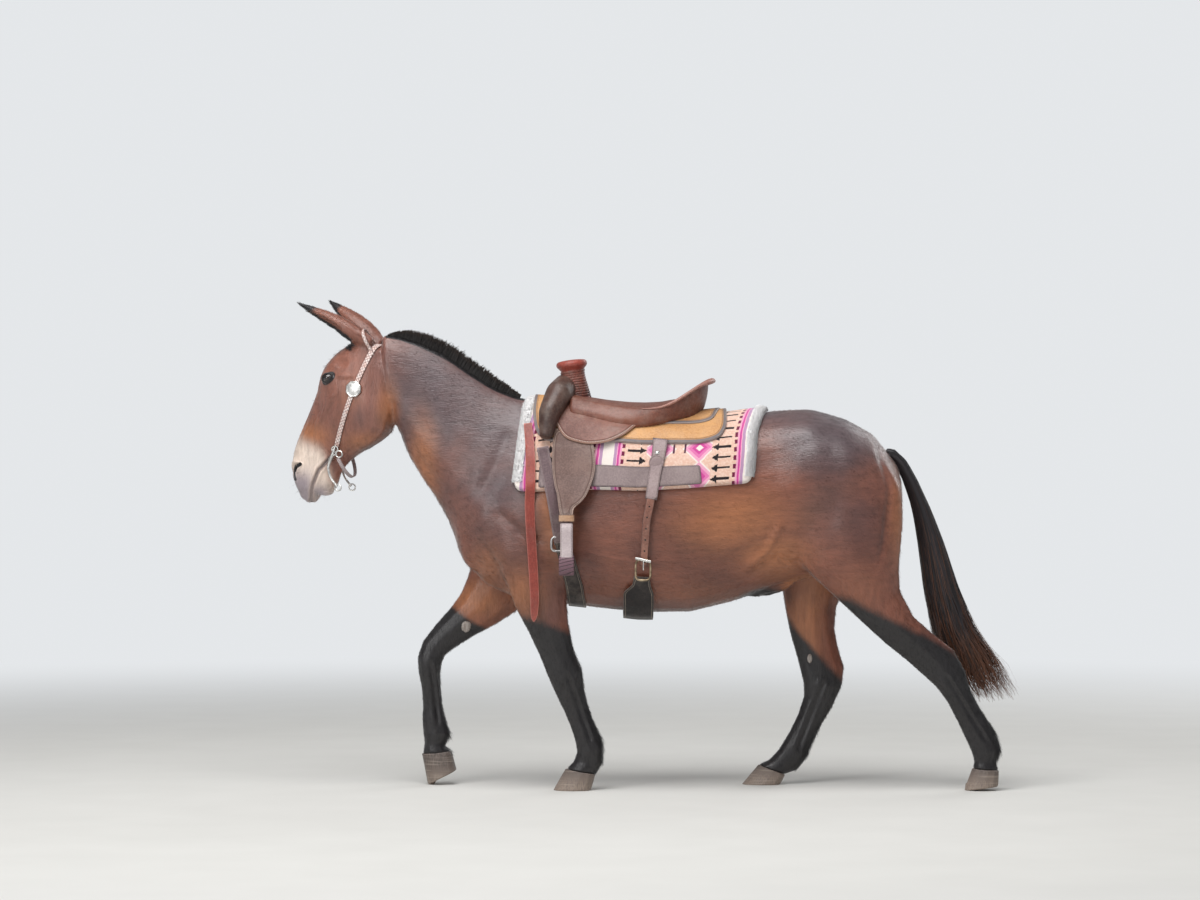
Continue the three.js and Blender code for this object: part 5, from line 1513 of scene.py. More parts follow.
grain_group = new_group("leather grain", {"Vector": None}, grain)
edge_group = new_group("edge", {"Edge": 0.1, "Vector": None, "Width": 0.011}, edge_marks)
stitch_group = new_group("stitches", {"Edge": 0.1, "Along": 0.0, "Inset": 0.006}, stitches)
dust_group = new_group("dust", {"Vector": None}, dust)

# %% A leather
DUST = (0.42, 0.35, 0.29)


def leather(name, base, deep, border=None, rim=None, thread=None, width=0.011, roughness=0.55,
            relief=0.5, dusty=0.15, stitch=0.006, holes=None):
    """A leather with its own colours. border, rim and thread are colours, and may be left out."""
    material, tree, shader = new_material(name, Roughness=roughness, Specular_IOR_Level=0.4)
    where, edge = object_place(tree), attribute(tree, "edge")
    grain = use_group(tree, grain_group, {"Vector": where})
    marks = use_group(tree, edge_group, {"Edge": edge, "Vector": where, "Width": width})
    tone, height = mixed(tree, ranged(tree, grain["Shade"], 0.36, 0.64), deep, base), grain["Height"]
    tone = mixed(tree, times(tree, grain["Creases"], 0.4), tone, deep)
    if border:
        tone = mixed(tree, marks["Border"], tone, border)
        tone = mixed(tree, marks["Groove"], tone, deep)
        height = minus(tree, height, times(tree, marks["Groove"], 1.5))
    if rim:
        tone = mixed(tree, marks["Rim"], tone, rim)
    if thread:
        inputs = {"Edge": edge, "Along": attribute(tree, "along"), "Inset": stitch}
        row = use_group(tree, stitch_group, inputs)["Thread"]
        tone, height = mixed(tree, row, tone, thread), times_plus(tree, row, 1.5, height)
    if holes:
        hole = punched(tree, *holes)
        tone = mixed(tree, hole, tone, (0.006, 0.004, 0.004))
        height = minus(tree, height, times(tree, hole, 3.0))
    fallen = use_group(tree, dust_group, {"Vector": where})["Dust"]
    tone = mixed(tree, times(tree, fallen, dusty), tone, DUST)
    rough = ranged(tree, grain["Shade"], 0.3, 0.7, roughness + 0.12, roughness - 0.12)
    put(tree, shader.inputs["Roughness"], rough)
    paint(tree, shader, tone, height, relief, 0.0014)
    return material


def punched(tree, first, spacing, count):
    """A row of round holes down the middle of a strap."""
    steps = maths(tree, "DIVIDE", minus(tree, attribute(tree, "along"), first), spacing)
    nearest = maths(tree, "MAXIMUM", maths(tree, "ROUND", steps), 0.0)
    nearest = maths(tree, "MINIMUM", nearest, count - 1.0)
    away = times(tree, minus(tree, steps, nearest), spacing)
    squares = times_plus(tree, away, away, maths(tree, "POWER", attribute(tree, "across"), 2.0))
    return fading(tree, maths(tree, "SQRT", squares), 0.0026, 0.0036)

# %% The leathers
GREY_EDGE = (0.155, 0.13, 0.13)
PALE_THREAD = (0.62, 0.52, 0.42)
tan_leather = leather(
    "tan leather", (0.62, 0.33, 0.13), (0.46, 0.22, 0.08),
    border=GREY_EDGE, rim=(0.30, 0.25, 0.24), thread=(0.06, 0.05, 0.05), width=0.013, stitch=0.016,
)
seat_leather = leather(
    "seat leather", (0.20, 0.066, 0.040), (0.11, 0.034, 0.022),
    border=(0.17, 0.065, 0.045), rim=(0.42, 0.25, 0.19), thread=PALE_THREAD,
    width=0.010, stitch=0.006, roughness=0.42,
)
fork_leather = leather(
    "fork leather", (0.085, 0.040, 0.030), (0.040, 0.020, 0.016), roughness=0.42, relief=0.4,
)
russet_leather = leather(
    "russet leather", (0.34, 0.066, 0.046), (0.20, 0.036, 0.026),
    rim=(0.42, 0.13, 0.10), roughness=0.4, dusty=0.08,
)
grey_leather = leather(
    "grey leather", (0.27, 0.205, 0.20), (0.19, 0.14, 0.14),
    rim=(0.10, 0.075, 0.075), thread=(0.10, 0.08, 0.08), roughness=0.6, stitch=0.005,
)
purple_leather = leather(
    "purple brown leather", (0.155, 0.098, 0.105), (0.085, 0.050, 0.055),
    rim=(0.24, 0.18, 0.19), thread=(0.30, 0.24, 0.22), roughness=0.55, stitch=0.005,
)
black_leather = leather(
    "black leather", (0.024, 0.017, 0.016), (0.010, 0.008, 0.008),
    rim=(0.10, 0.08, 0.07), thread=(0.34, 0.28, 0.22), roughness=0.5, stitch=0.007, dusty=0.12,
)
hole_leather = leather(
    "billet leather", (0.30, 0.135, 0.095), (0.17, 0.07, 0.05), rim=(0.11, 0.05, 0.04),
    roughness=0.5, holes=(0.035, 0.0405, 6),
)

# %% [markdown]
# ## Saddle pad
# The pad is a thick felted wool blanket with a fleece roll at its front and rear ends. Real ones are
# woven in bands of stepped diamonds, arrows and dashes, an old saddle blanket pattern. The cloth is
# laid on the map, and its pattern is worked out by nodes from the distance to the nearer end of the
# panel and from the distance down from the spine, in steps as coarse as the yarn.

# %% Pad cloth
def pad_end(name):
    """The front or rear edge as place along the trunk against distance from the spine."""
    points = [(down_to(x * MM, z * MM, 1), x * MM) for x, z in PAD_EDGES[name]]
    points.sort()
    return np.array(points).T


PAD_ENDS = {end: pad_end(end) for end in ("front", "rear")}
PAD_LENGTH = 0.875
PANEL = 0.545  # the rear panel's length; the front one has the rest
YARN = 0.0035
PEACH, PALE_PEACH, BONE = (0.74, 0.47, 0.36), (0.80, 0.58, 0.48), (0.82, 0.74, 0.68)
PINK, ROSE_PINK, MAGENTA = (0.78, 0.36, 0.50), (0.70, 0.18, 0.40), (0.60, 0.07, 0.30)
PURPLE, WINE, INK = (0.45, 0.27, 0.42), (0.16, 0.012, 0.05), (0.018, 0.012, 0.014)


def in_steps(tree, value, size):
    return times(tree, maths(tree, "FLOOR", maths(tree, "DIVIDE", value, size)), size)


def under(tree, value, limit):
    return maths(tree, "LESS_THAN", value, limit)


def band(tree, value, low, high):
    return times(tree, maths(tree, "GREATER_THAN", value, low), under(tree, value, high))


def wool_material():
    material, tree, shader = new_material(
        "woven wool", Roughness=0.92, Sheen_Weight=0.25, Sheen_Roughness=0.5, Specular_IOR_Level=0.15
    )
    where = object_place(tree)
    shift = times(tree, minus(tree, noise(tree, where, 40.0), 0.5), 0.005)
    rear = maths(tree, "ADD", attribute(tree, "from_rear"), shift)
    down = maths(tree, "ABSOLUTE", maths(tree, "ADD", attribute(tree, "lay_s"), shift))
    rear_panel = maths(tree, "MINIMUM", rear, minus(tree, PANEL, rear))
    front_panel = maths(tree, "MINIMUM", minus(tree, rear, PANEL - 0.03), minus(tree, PAD_LENGTH, rear))
    from_end = in_steps(tree, maths(tree, "MAXIMUM", rear_panel, front_panel), YARN)
    down = in_steps(tree, down, YARN)

    def every(size, offset=0.0):
        """How far each place is from the middle of the nearest repeat, down the pad."""
        return times(tree, to_and_fro(tree, maths(tree, "ADD", down, offset), size), size)

    tone = mixed(tree, ranged(tree, noise(tree, where, 120.0, 3.0), 0.4, 0.65), PEACH, PALE_PEACH)
    stripes = ((-1.0, 0.033, BONE), (0.033, 0.044, PURPLE), (0.044, 0.062, PINK), (0.049, 0.055, MAGENTA))
    for low, high, ink in stripes:
        tone = mixed(tree, band(tree, from_end, low, high), tone, ink)
    dash = times(tree, band(tree, from_end, 0.062, 0.071), under(tree, every(0.031), 0.009))
    tone = mixed(tree, dash, tone, WINE)
    # Arrows: a shaft and a head that widens away from its point
    row = every(0.040, 0.012)
    shaft = times(tree, band(tree, from_end, 0.084, 0.140), under(tree, row, 0.0040))
    flare = times(tree, minus(tree, 0.152, from_end), 0.62)
    head = times(tree, band(tree, from_end, 0.128, 0.152), under(tree, row, flare))
    tone = mixed(tree, maths(tree, "MAXIMUM", shaft, head), tone, INK)
    # Stepped diamonds in a column, with rings of colour
    ring = in_steps(tree, maths(tree, "ADD", every(0.110, 0.03), apart(tree, from_end, 0.197)), 0.007)
    column = band(tree, from_end, 0.152, 0.2725)
    rings = ((0.060, BONE), (0.050, PINK), (0.036, ROSE_PINK), (0.022, MAGENTA), (0.009, BONE))
    for limit, ink in rings:
        tone = mixed(tree, times(tree, column, under(tree, ring, limit)), tone, ink)
    bracket = times(tree, band(tree, from_end, 0.246, 0.254), under(tree, every(0.110, 0.03), 0.020))
    tone = mixed(tree, bracket, tone, (0.10, 0.03, 0.06))
    inputs = {"Vector": where, "Scale": 90.0, "Distortion": 2.0}
    weave = place(tree, "ShaderNodeTexWave", inputs, bands_direction="Z").outputs["Fac"]
    soft = times_plus(tree, noise(tree, where, 380.0, 6.0), 1.4, weave)
    paint(tree, shader, shaded(tree, tone, times_plus(tree, soft, 0.22, 0.72)), soft, 0.6, 0.0016)
    return material


def pad_rise(x, s, far):
    """The cloth swells a little between its edges and ripples where the saddle presses on it."""
    ripple = np.sin(x * 31 + s * 9) * np.sin(s * 23 - x * 7)
    return 1.2 * MM * ripple * smoothstep(0.01, 0.08, far)


pad_edge = PAD_EDGES["front"] + PAD_EDGES["low"] + PAD_EDGES["rear"]
pad_edge = rounded(both_sides(pad_edge), 0.02)
pad = laid_sheet("pad", pad_edge, 0.6 * MM, PAD_TOP, edge=11 * MM, spacing=10 * MM, rise=pad_rise)
lay_x = values_of(pad.data.attributes["lay_x"].data, "value", kind=np.float32)
lay_s = values_of(pad.data.attributes["lay_s"].data, "value", kind=np.float32)
add_values(pad, "from_rear", np.interp(np.abs(lay_s), *PAD_ENDS["rear"]) - lay_x)
finish_piece(pad, "saddle_blanket", ["saddle_pad"], wool_material(), angle=70)


# %% Fleece rolls at the pad's ends
FLEECE_WIDTH = 30 * MM
FLEECE_TUFTS = 9000


def fleece_material():
    material, tree, shader = new_material("fleece", Roughness=0.95, Sheen_Weight=0.4)
    curl = noise(tree, object_place(tree), 130.0, 4.0)
    paint(tree, shader, mixed(tree, curl, (0.80, 0.78, 0.77), (0.97, 0.95, 0.95)), curl, 0.5, 0.002)
    return material


fleece = fleece_material()


def end_line(end, inset, count):
    """A line across the back, a little inside one end of the pad."""
    reach = PAD_ENDS[end][0][-1] - 0.004
    s = np.linspace(-reach, reach, count)
    x = np.interp(np.abs(s), *PAD_ENDS[end]) + (inset if end == "front" else -inset)
    return x, s


def make_fleece(end):
    """A roll that wraps the edge of the pad: a half round band along its end."""
    steps, around = 120, 9
    rows = []
    for k, turn in enumerate(np.linspace(-0.2, math.pi * 0.5, around)):
        out = math.cos(turn)
        x, s = end_line(end, FLEECE_WIDTH * (1 - out) - 2 * MM, steps)
        uneven = 1 * MM * np.sin(s * 60 + k) + 0.7 * MM * np.sin(s * 143 + k * 2)
        rows.append(laid(x, s, PAD_TOP * 0.5 + (PAD_TOP * 0.5 + 2.2 * MM) * math.sin(turn) + uneven * 0.6))
    x, s = end_line(end, FLEECE_WIDTH - 3 * MM, steps)
    rows.append(laid(x, s, np.full(steps, PAD_TOP - 3 * MM)))
    x, s = end_line(end, 6 * MM, steps)
    rows.append(laid(x, s, np.full(steps, PAD_TOP * 0.3)))
    points = np.concatenate(rows)
    faces = grid_faces(len(rows), steps, closed_rows=True)
    faces.append(range(0, len(points), steps))
    faces.append(range(steps - 1, len(points), steps)[::-1])
    roll = mesh_piece(f"fleece_{end}", points, faces)
    face_outwards(roll)
    finish_piece(roll, f"fleece_{end}", ["saddle_pad"], fleece, angle=80)


def make_fleece_tufts(end):
    """Short crimped locks of wool that stand off the roll."""
    count = FLEECE_TUFTS // 1
    reach = PAD_ENDS[end][0][-1] - 0.006
    s = rng.uniform(-reach, reach, count)
    turn = rng.uniform(-0.3, math.pi * 0.5, count)
    sign = 1 if end == "front" else -1
    x = np.interp(np.abs(s), *PAD_ENDS[end]) + sign * (FLEECE_WIDTH * (1 - np.cos(turn)) - 1.5 * MM)
    roots = laid(x, s, PAD_TOP * 0.5 + (PAD_TOP * 0.5 + 1.5 * MM) * np.sin(turn))
    up = from_map(TRUNK_OUT, x, s) * np.sin(turn)[:, None]
    up[:, 0] -= sign * np.cos(turn)
    lies = unit(up)
    up = unit(up + rng.normal(0, 0.45, up.shape))
    length = rng.uniform(4, 8, count)[:, None] * MM
    curl = rng.normal(0, 1, up.shape) * 2.2 * MM
    middles = roots + up * length * 0.5 + curl * 0.5
    ends = roots + up * length * 0.9 - curl * 0.3
    paths = np.stack([roots - up * 1.5 * MM, middles, ends], axis=1)
    widths = np.tile([3.6 * MM, 3.0 * MM, 1.6 * MM], (count, 1))
    tufts, per_lock = make_locks(f"fleece_tufts_{end}", paths, np.roll(up, 1, axis=1), widths, 0.7)
    finish_piece(tufts, f"fleece_tufts_{end}", ["saddle_pad"], fleece, angle=180)
    shade_as(tufts, lies, per_lock)


for end in ("front", "rear"):
    make_fleece(end)
    make_fleece_tufts(end)

# %% [markdown]
# ## Skirts, jockeys and wear leathers
# Under the seat lie, from the pad up, the wear leathers sewn to the pad, the skirts, the rear
# jockeys and the side jockeys. All are thick oiled leather with a darker tooled border.

# %% Leather sheets
skirts = laid_sheet("skirts", rounded(both_sides(SKIRT_EDGE)), PAD_TOP + AIR, SKIRT_TOP, edge=3 * MM)
finish_piece(skirts, "skirts", ["saddle_skirts"], tan_leather)
for name, side in SIDES.items():
    outline = rounded(on_map(WEAR_EDGE, side), 0.008)
    wear = laid_sheet(f"wear_{name}", outline, PAD_TOP + AIR, WEAR_TOP + 0.6 * MM, edge=1.5 * MM)
    finish_piece(wear, f"wear_{name}", [f"wear_leather_{name}"], grey_leather)
    outline = rounded(one_side(REAR_JOCKEY_EDGE, side))
    rear = laid_sheet(f"rear_jockey_{name}", outline, SKIRT_TOP + AIR, JOCKEY_TOP)
    finish_piece(rear, f"back_jockey_{name}", [f"rear_jockey_{name}"], tan_leather)
    outline = rounded(one_side(SIDE_JOCKEY_EDGE, side))
    front = laid_sheet(f"side_jockey_{name}", outline, JOCKEY_TOP + AIR, SEAT_TOP)
    finish_piece(front, f"side_jockey_{name}", ["saddle_seat"], seat_leather)

# %% [markdown]
# ## Seat and cantle
# The seat leather is stretched wet over the ground seat. It dips behind the fork, runs out over the
# sides, and climbs at the back to the cantle, whose rim is covered by a stitched binding roll. One
# grid follows the rim from the left side round the cantle to the right, and its rows run from the
# middle out to the rim, over it and down the back of the cantle.

# %% Seat shape
# Rim: place along, half width and height, from the fork to the middle of the cantle
RIM = [(-325, 92, 1446), (-270, 106, 1432), (-200, 124, 1416), (-120, 142, 1402), (-50, 156, 1396),
       (10, 166, 1401), (60, 167, 1421), (105, 157, 1449), (142, 136, 1473), (168, 106, 1489),
       (184, 70, 1497), (192, 34, 1500), (194, 0, 1501)]
# Middle line of the seat: place along and height
DIP = [(-325, 1462), (-260, 1446), (-180, 1433), (-100, 1425), (-40, 1423), (20, 1426), (62, 1434)]
ROLL = 7.5 * MM  # the binding's radius
ROLL_FROM = 4  # the binding starts at this place of the rim


def smooth_line(points, count):
    """A line through points, by Catmull-Rom, at evenly counted places."""
    points = np.asarray(points, float)
    padded = np.vstack([2 * points[0] - points[1], points, 2 * points[-1] - points[-2]])
    at = np.linspace(0, len(points) - 1.0001, count)
    k = at.astype(int)
    t = (at - k)[:, None]
    p0, p1, p2, p3 = (padded[k + n] for n in range(4))
    squared, cubed = 2 * p0 - 5 * p1 + 4 * p2 - p3, 3 * p1 - p0 - 3 * p2 + p3
    return 0.5 * (2 * p1 + (p2 - p0) * t + squared * t**2 + cubed * t**3)


def rim_line(count):
    """Down the left side, round the cantle and up the right side."""
    half = smooth_line(RIM, count) * MM
    return np.vstack([half * (1, -1, 1), half[-2::-1]])


def on_layer(x, y, height):
    """The place on the trunk's layer straight under or over a place of the plan."""
    half = len(MAP_S) // 2
    out = []
    for px, py in zip(x, y):
        i = int(np.clip(round((px - MAP_X[0]) / MAP_STEP), 0, len(MAP_X) - 1))
        row = TRUNK[i, half:, 1] if py > 0 else -TRUNK[i, half::-1, 1]
        row = np.maximum.accumulate(row)
        s = float(np.interp(abs(py) * 0.93, row, np.arange(len(row)) * MAP_STEP))
        out.append(laid(px, math.copysign(s, py), height))
    return np.array(out)


def make_seat():
    rim = rim_line(44)
    count = len(rim)
    centre_x = np.minimum(rim[:, 0], 62 * MM)
    centre_z = np.interp(centre_x / MM, *np.array(DIP).T) * MM
    centre = np.stack([centre_x, np.zeros(count), centre_z], axis=1)
    cantle = smoothstep(-0.17, 0.13, rim[:, 0])
    rows = []
    for share in (0.0, 0.15, 0.3, 0.45, 0.6, 0.72, 0.82, 0.9, 0.96, 1.0):
        bend = share ** (2.0 + 0.9 * cantle)
        row = centre + (rim - centre) * share
        row[:, 2] = centre[:, 2] + (rim[:, 2] - centre[:, 2]) * bend
        rows.append(row)
    outward = rim - centre
    outward[:, 2] = 0
    outward = unit(outward)
    base = on_layer(rim[:, 0] - 12 * MM * cantle, rim[:, 1] * (1.02 - 0.25 * cantle), JOCKEY_TOP + 2 * MM)
    flare = (1 - cantle)[:, None] * outward * 16 * MM
    for share in (0.12, 0.35, 0.65, 0.9, 1.0):
        wall = rim + (base - rim) * share
        wall += outward * 5 * MM * math.sin(math.pi * share) + flare * share
        low = on_layer(wall[:, 0], wall[:, 1], SEAT_TOP + 0.8 * MM)
        wall[:, 2] = np.maximum(wall[:, 2], low[:, 2]) if share < 0.95 else low[:, 2] - 6 * MM
        rows.append(wall)
    points = np.concatenate(rows)
    faces = grid_faces(len(rows), count)
    for k in range(len(rows) - 1):
        a, b = k * count, (k + 1) * count
        faces.append((a, b, b + count - 1, a + count - 1))
    last = (len(rows) - 1) * count
    faces.append(list(range(last, last + count)))
    seat = mesh_piece("seat", points, faces)
    apply_modifier(seat, "WELD", merge_threshold=0.5 * MM)
    edit_all(seat)
    bpy.ops.mesh.quads_convert_to_tris()
    bpy.ops.mesh.normals_make_consistent(inside=False)
    bpy.ops.object.mode_set(mode="OBJECT")
    apply_modifier(seat, "SUBSURF", levels=1, render_levels=1)
    apply_modifier(seat, "SMOOTH", factor=0.4, iterations=3)
    add_no_edge(seat)
    return seat


finish_piece(make_seat(), "seat", ["saddle_seat"], seat_leather, angle=70)

# %% [markdown]
# ## Rolls, rods and rings
# The binding, the bit, the buckles and the rings are round stock bent along a line. A tube is built
# from rings of points that turn with the line, and its radius may change along it.

# %% Tubes
def tube(name, path, radii, around=12, closed=False, flatten=1.0):
    """A round bar along a path in metres. flatten squeezes it from above."""
    path = np.asarray(path, float)
    count = len(path)
    radii = np.broadcast_to(radii, count)
    way = np.roll(path, -1, axis=0) - np.roll(path, 1, axis=0) if closed else np.gradient(path, axis=0)
    way = unit(way)
    side = np.cross(way[0], (0.1, 0.2, 0.97))
    turns = full_turn(around)
    points = []
    for k in range(count):
        side = unit(side - way[k] * side.dot(way[k]))
        ring = np.outer(np.cos(turns), side) + np.outer(np.sin(turns), np.cross(way[k], side))
        ring[:, 2] *= flatten
        points.append(path[k] + ring * radii[k])
    points = np.concatenate(points)
    faces = grid_faces(count, around, closed, True)
    if not closed:
        faces += [range(around)[::-1], range(len(points) - around, len(points))]
    piece = mesh_piece(name, points, faces)
    add_values(piece, "along", np.repeat(lengths_along(path), around))
    add_no_edge(piece)
    return piece


# %% Cantle binding
binding_leather = leather(
    "binding leather", (0.40, 0.20, 0.16), (0.27, 0.12, 0.095), roughness=0.45, relief=0.4,
)
line = rim_line(44)
start = int(len(line) / 2 * ROLL_FROM / (len(RIM) - 1))
line = line[start:-start]
swell_back = smoothstep(0.14, 0.19, line[:, 0])
line[:, 0] += 4 * MM + 9 * MM * swell_back
line[:, 2] += 2 * MM
thin_ends = np.minimum(1, np.minimum(np.arange(len(line)), np.arange(len(line))[::-1]) / 9 + 0.35)
binding = tube("binding", line, ROLL * thin_ends * (1 + 0.9 * swell_back), around=14, flatten=0.72)
finish_piece(binding, "cantle_binding", ["saddle_seat"], binding_leather, angle=70)

# %% [markdown]
# ## Fork and horn
# The fork is a carved wooden arch with wet leather drawn over it. Its solid already has that shape,
# so a copy is remeshed and relaxed until the facets are gone. The horn is turned: its profile is
# spun about an axis, and strips of leather are wrapped round its neck.

# %% Fork
fork = joined_copy(["saddle_fork"], "fork")
apply_modifier(fork, "REMESH", mode="VOXEL", voxel_size=4 * MM)
apply_modifier(fork, "SMOOTH", factor=0.5, iterations=60)
add_no_edge(fork)
finish_piece(fork, "fork", ["saddle_fork"], fork_leather, angle=180)

# %% Horn
HORN_BASE = (-302, 0, 1484)
HORN_TILT = math.radians(-7)
HORN_PROFILE = [(56, -62), (52, -30), (47, 0), (43, 22), (41, 44), (43, 58), (50, 67), (55, 73),
                (57, 79), (56, 86), (51, 92), (40, 95), (20, 97), (0.2, 97.5)]


def make_horn():
    mesh = bpy.data.meshes.new("horn")
    profile = smooth_line([(r, 0, h) for r, h in HORN_PROFILE], 40) * MM
    mesh.from_pydata([tuple(p) for p in profile], [(i, i + 1) for i in range(len(profile) - 1)], [])
    horn_piece = linked(bpy.data.objects.new("horn", mesh))
    edit_all(horn_piece)
    bpy.ops.mesh.spin(steps=56, angle=2 * math.pi, center=(0, 0, 0), axis=(0, 0, 1))
    bpy.ops.mesh.remove_doubles(threshold=0.3 * MM)
    bpy.ops.mesh.select_all(action="SELECT")
    bpy.ops.mesh.region_to_loop()
    bpy.ops.mesh.edge_face_add()
    face_outwards(horn_piece)
    place_at(horn_piece, HORN_BASE, HORN_TILT)
    add_no_edge(horn_piece)
    return horn_piece


def place_at(piece, base, tilt):
    """Turns a piece about the crosswise axis, then moves it, in its mesh."""
    points = points_of(piece)
    x = points[:, 0] * math.cos(tilt) + points[:, 2] * math.sin(tilt)
    z = points[:, 2] * math.cos(tilt) - points[:, 0] * math.sin(tilt)
    set_points(piece, np.stack([x, points[:, 1], z], axis=1) + np.array(base) * MM)


finish_piece(make_horn(), "horn", ["saddle_horn"], russet_leather, angle=60)


def make_horn_wrap():
    """A strip wound round the horn's neck, each turn a little over the last."""
    turns, per_turn = 11, 40
    at = np.linspace(0, turns, turns * per_turn)
    height = -46 + at * 9.2
    neck_radii, neck_heights = np.array(HORN_PROFILE[:9]).T
    radius = np.interp(height, neck_heights, neck_radii) + 1.6
    angle = at * 2 * math.pi
    path = np.stack([radius * np.cos(angle), radius * np.sin(angle), height], axis=1) * MM
    wrap = tube("horn_wrap", path, 4.6 * MM, around=8)
    points = points_of(wrap)
    middle = np.repeat(path, 8, axis=0)
    out = unit(middle * (1, 1, 0))
    depth = ((points - middle) * out).sum(axis=1, keepdims=True)
    set_points(wrap, points - out * depth * 0.55)
    place_at(wrap, HORN_BASE, HORN_TILT)
    return wrap


wrap_russet = leather("horn wrap leather", (0.22, 0.06, 0.04), (0.05, 0.018, 0.016), roughness=0.45)
finish_piece(make_horn_wrap(), "horn_wrap", ["saddle_horn"], wrap_russet, angle=60)

# %% [markdown]
# ## Straps
# A strap is a ribbon of leather with rounded edges. On the animal its place comes from the side
# view, and how far out it lies comes from the skin plus the layers it crosses. Below the pad it
# hangs free, and its levels say how far out it is at each height.

# %% Ribbons of leather
STRAP_STEP = 9 * MM  # how far apart a strap's rows of points are
WELL_OUTSIDE = 0.7
LEAST_FACING = 0.55


def ribbon(name, grid, thick, closed=False, edge=1.2 * MM, facing=None):
    """A slab over a grid of places, rows along it and columns across, with rounded edges.

    It grows towards facing, or away from its own middle.
    """
    grid = np.asarray(grid, float)
    rows, columns = grid.shape[:2]
    if closed:
        padded = np.concatenate([grid[-1:], grid, grid[:1]])
        way = (padded[2:] - padded[:-2]) / 2
    else:
        way = np.gradient(grid, axis=0)
    out = unit(np.cross(way, np.gradient(grid, axis=1)))
    away = grid - grid.mean(axis=(0, 1)) if facing is None else np.array(facing, float)
    if (out * away).sum() < 0:
        out = -out
    across = grid - grid[:, [columns // 2]]
    reach = np.linalg.norm(across, axis=2) * np.sign(np.arange(columns) - (columns - 1) / 2)
    from_side = np.abs(reach[:, [-1]]) - np.abs(reach)
    along = lengths_along(grid[:, columns // 2])
    from_end = np.full(rows, 1.0) if closed else np.minimum(along, along[-1] - along)
    far = np.minimum(from_side, from_end[:, None])
    over = rounded_over(far, edge)
    top = grid + out * (thick * (0.45 + 0.55 * over))[..., None]
    bottom = grid + out * (thick * 0.12 * (1 - over))[..., None]
    count = rows * columns
    points = np.vstack([top.reshape(-1, 3), bottom.reshape(-1, 3)])
    faces = []
    for a, b, c, d in grid_faces(rows, columns, closed):
        faces += [(a, d, c, b), (a + count, b + count, c + count, d + count)]
    ends = [(0, count, columns, 1), (columns - 1, count, columns, -1)]
    if not closed:
        ends += [(0, columns, 1, -1), (count - columns, count, 1, 1)]
    for first, stop, step, order in ends:
        line = list(range(first, stop, step))
        if closed:
            line.append(first)
        for a, b in zip(line, line[1:]):
            faces.append((a, a + count, b + count, b)[::order])
    piece = mesh_piece(name, points, faces)
    add_values(piece, "edge", np.tile(far.ravel(), 2))
    add_values(piece, "along", np.tile(np.repeat(along, columns), 2))
    add_values(piece, "across", np.tile(reach.ravel(), 2))
    face_outwards(piece)
    return piece


def evened(values, rounds, closed=False):
    """The rows of a line, each drawn towards the mean of its neighbours, some times over."""
    values = np.array(values, float)
    for _ in range(rounds):
        if closed:
            values = values * 0.5 + (np.roll(values, 1, axis=0) + np.roll(values, -1, axis=0)) * 0.25
        else:
            values[1:-1] = values[1:-1] * 0.5 + (values[:-2] + values[2:]) * 0.25
    return values


def columns_for(width, edge=1.2 * MM):
    """Shares of the half width, close together at both edges."""
    near = 1 - 2 * edge / width
    return np.array([-1, -(near + 1) / 2, -near, -0.5, 0, 0.5, near, (near + 1) / 2, 1])


def side_reach(x, z, side):
    """How far out the skin is at a place of the side view, in metres, and how much it faces out."""
    spot, normal, _, _ = skin_tree.ray_cast(Vector((x, side * WELL_OUTSIDE, z)), Vector((0, -side, 0)))
    if spot is None:
        return 0.0, 1.0
    return abs(spot.y), max(LEAST_FACING, abs(normal.y))


def lie_of(levels):
    """Levels of height, layer under it and air, from the top down, all in millimetres."""
    heights, layers, airs = np.array(levels[::-1], float).T * MM

    def lie(x, z, side):
        out, facing = side_reach(x, z, side)
        return out + np.interp(z, heights, layers) / facing + np.interp(z, heights, airs)

    return lie


def side_strap(name, path, widths, side, lie, thick=4 * MM, tip=0.0):
    """A strap along a side view path in millimetres, with one width for each of its points."""
    length = sum(math.dist(a, b) for a, b in zip(path, path[1:])) * MM
    count = max(8, int(length / STRAP_STEP))
    line = smooth_line([(x, z, w) for (x, z), w in zip(path, widths)], count) * MM
    way = unit(np.gradient(line[:, :2], axis=0))
    wide = line[:, 2].copy()
    if tip:
        left = np.linspace(1, 0, count) * length
        wide *= np.sqrt(np.clip(1 - (1 - np.clip(left / tip, 0.0, 1)) ** 2, 0.04, 1))
    grid = np.empty((count, 9, 3))
    for i in range(count):
        shares = columns_for(max(wide[i], 4 * MM))
        for k, share in enumerate(shares):
            x = line[i, 0] - way[i, 1] * share * wide[i] / 2 * side
            z = line[i, 1] + way[i, 0] * share * wide[i] / 2 * side
            grid[i, k] = (x, side * lie(x, z, side), z)
    grid[:, :, 1] = evened(grid[:, :, 1], 3)
    return ribbon(name, grid, thick, facing=(0, side, 0))


# %% Fenders
FENDER_PATH = [(-312, 1330), (-306, 1260), (-303, 1180), (-312, 1100), (-328, 1045), (-328, 1003)]
FENDER_WIDTHS = [120, 150, 156, 120, 62, 44]
FENDER_LEVELS = [(1300, 33, 0.5), (1240, 33, 1), (1150, 33, 5), (1005, 0, 82)]
fender_leather = leather(
    "fender leather", (0.17, 0.095, 0.075), (0.10, 0.052, 0.042),
    border=(0.13, 0.075, 0.062), rim=(0.30, 0.2, 0.16), thread=(0.36, 0.26, 0.2),
    width=0.012, stitch=0.007, roughness=0.5,
)
for name, side in SIDES.items():
    lie = lie_of(FENDER_LEVELS)
    fender = side_strap(f"fender_{name}", FENDER_PATH, FENDER_WIDTHS, side, lie, thick=5 * MM)
    finish_piece(fender, f"fender_leather_{name}", [f"fender_{name}"], fender_leather)

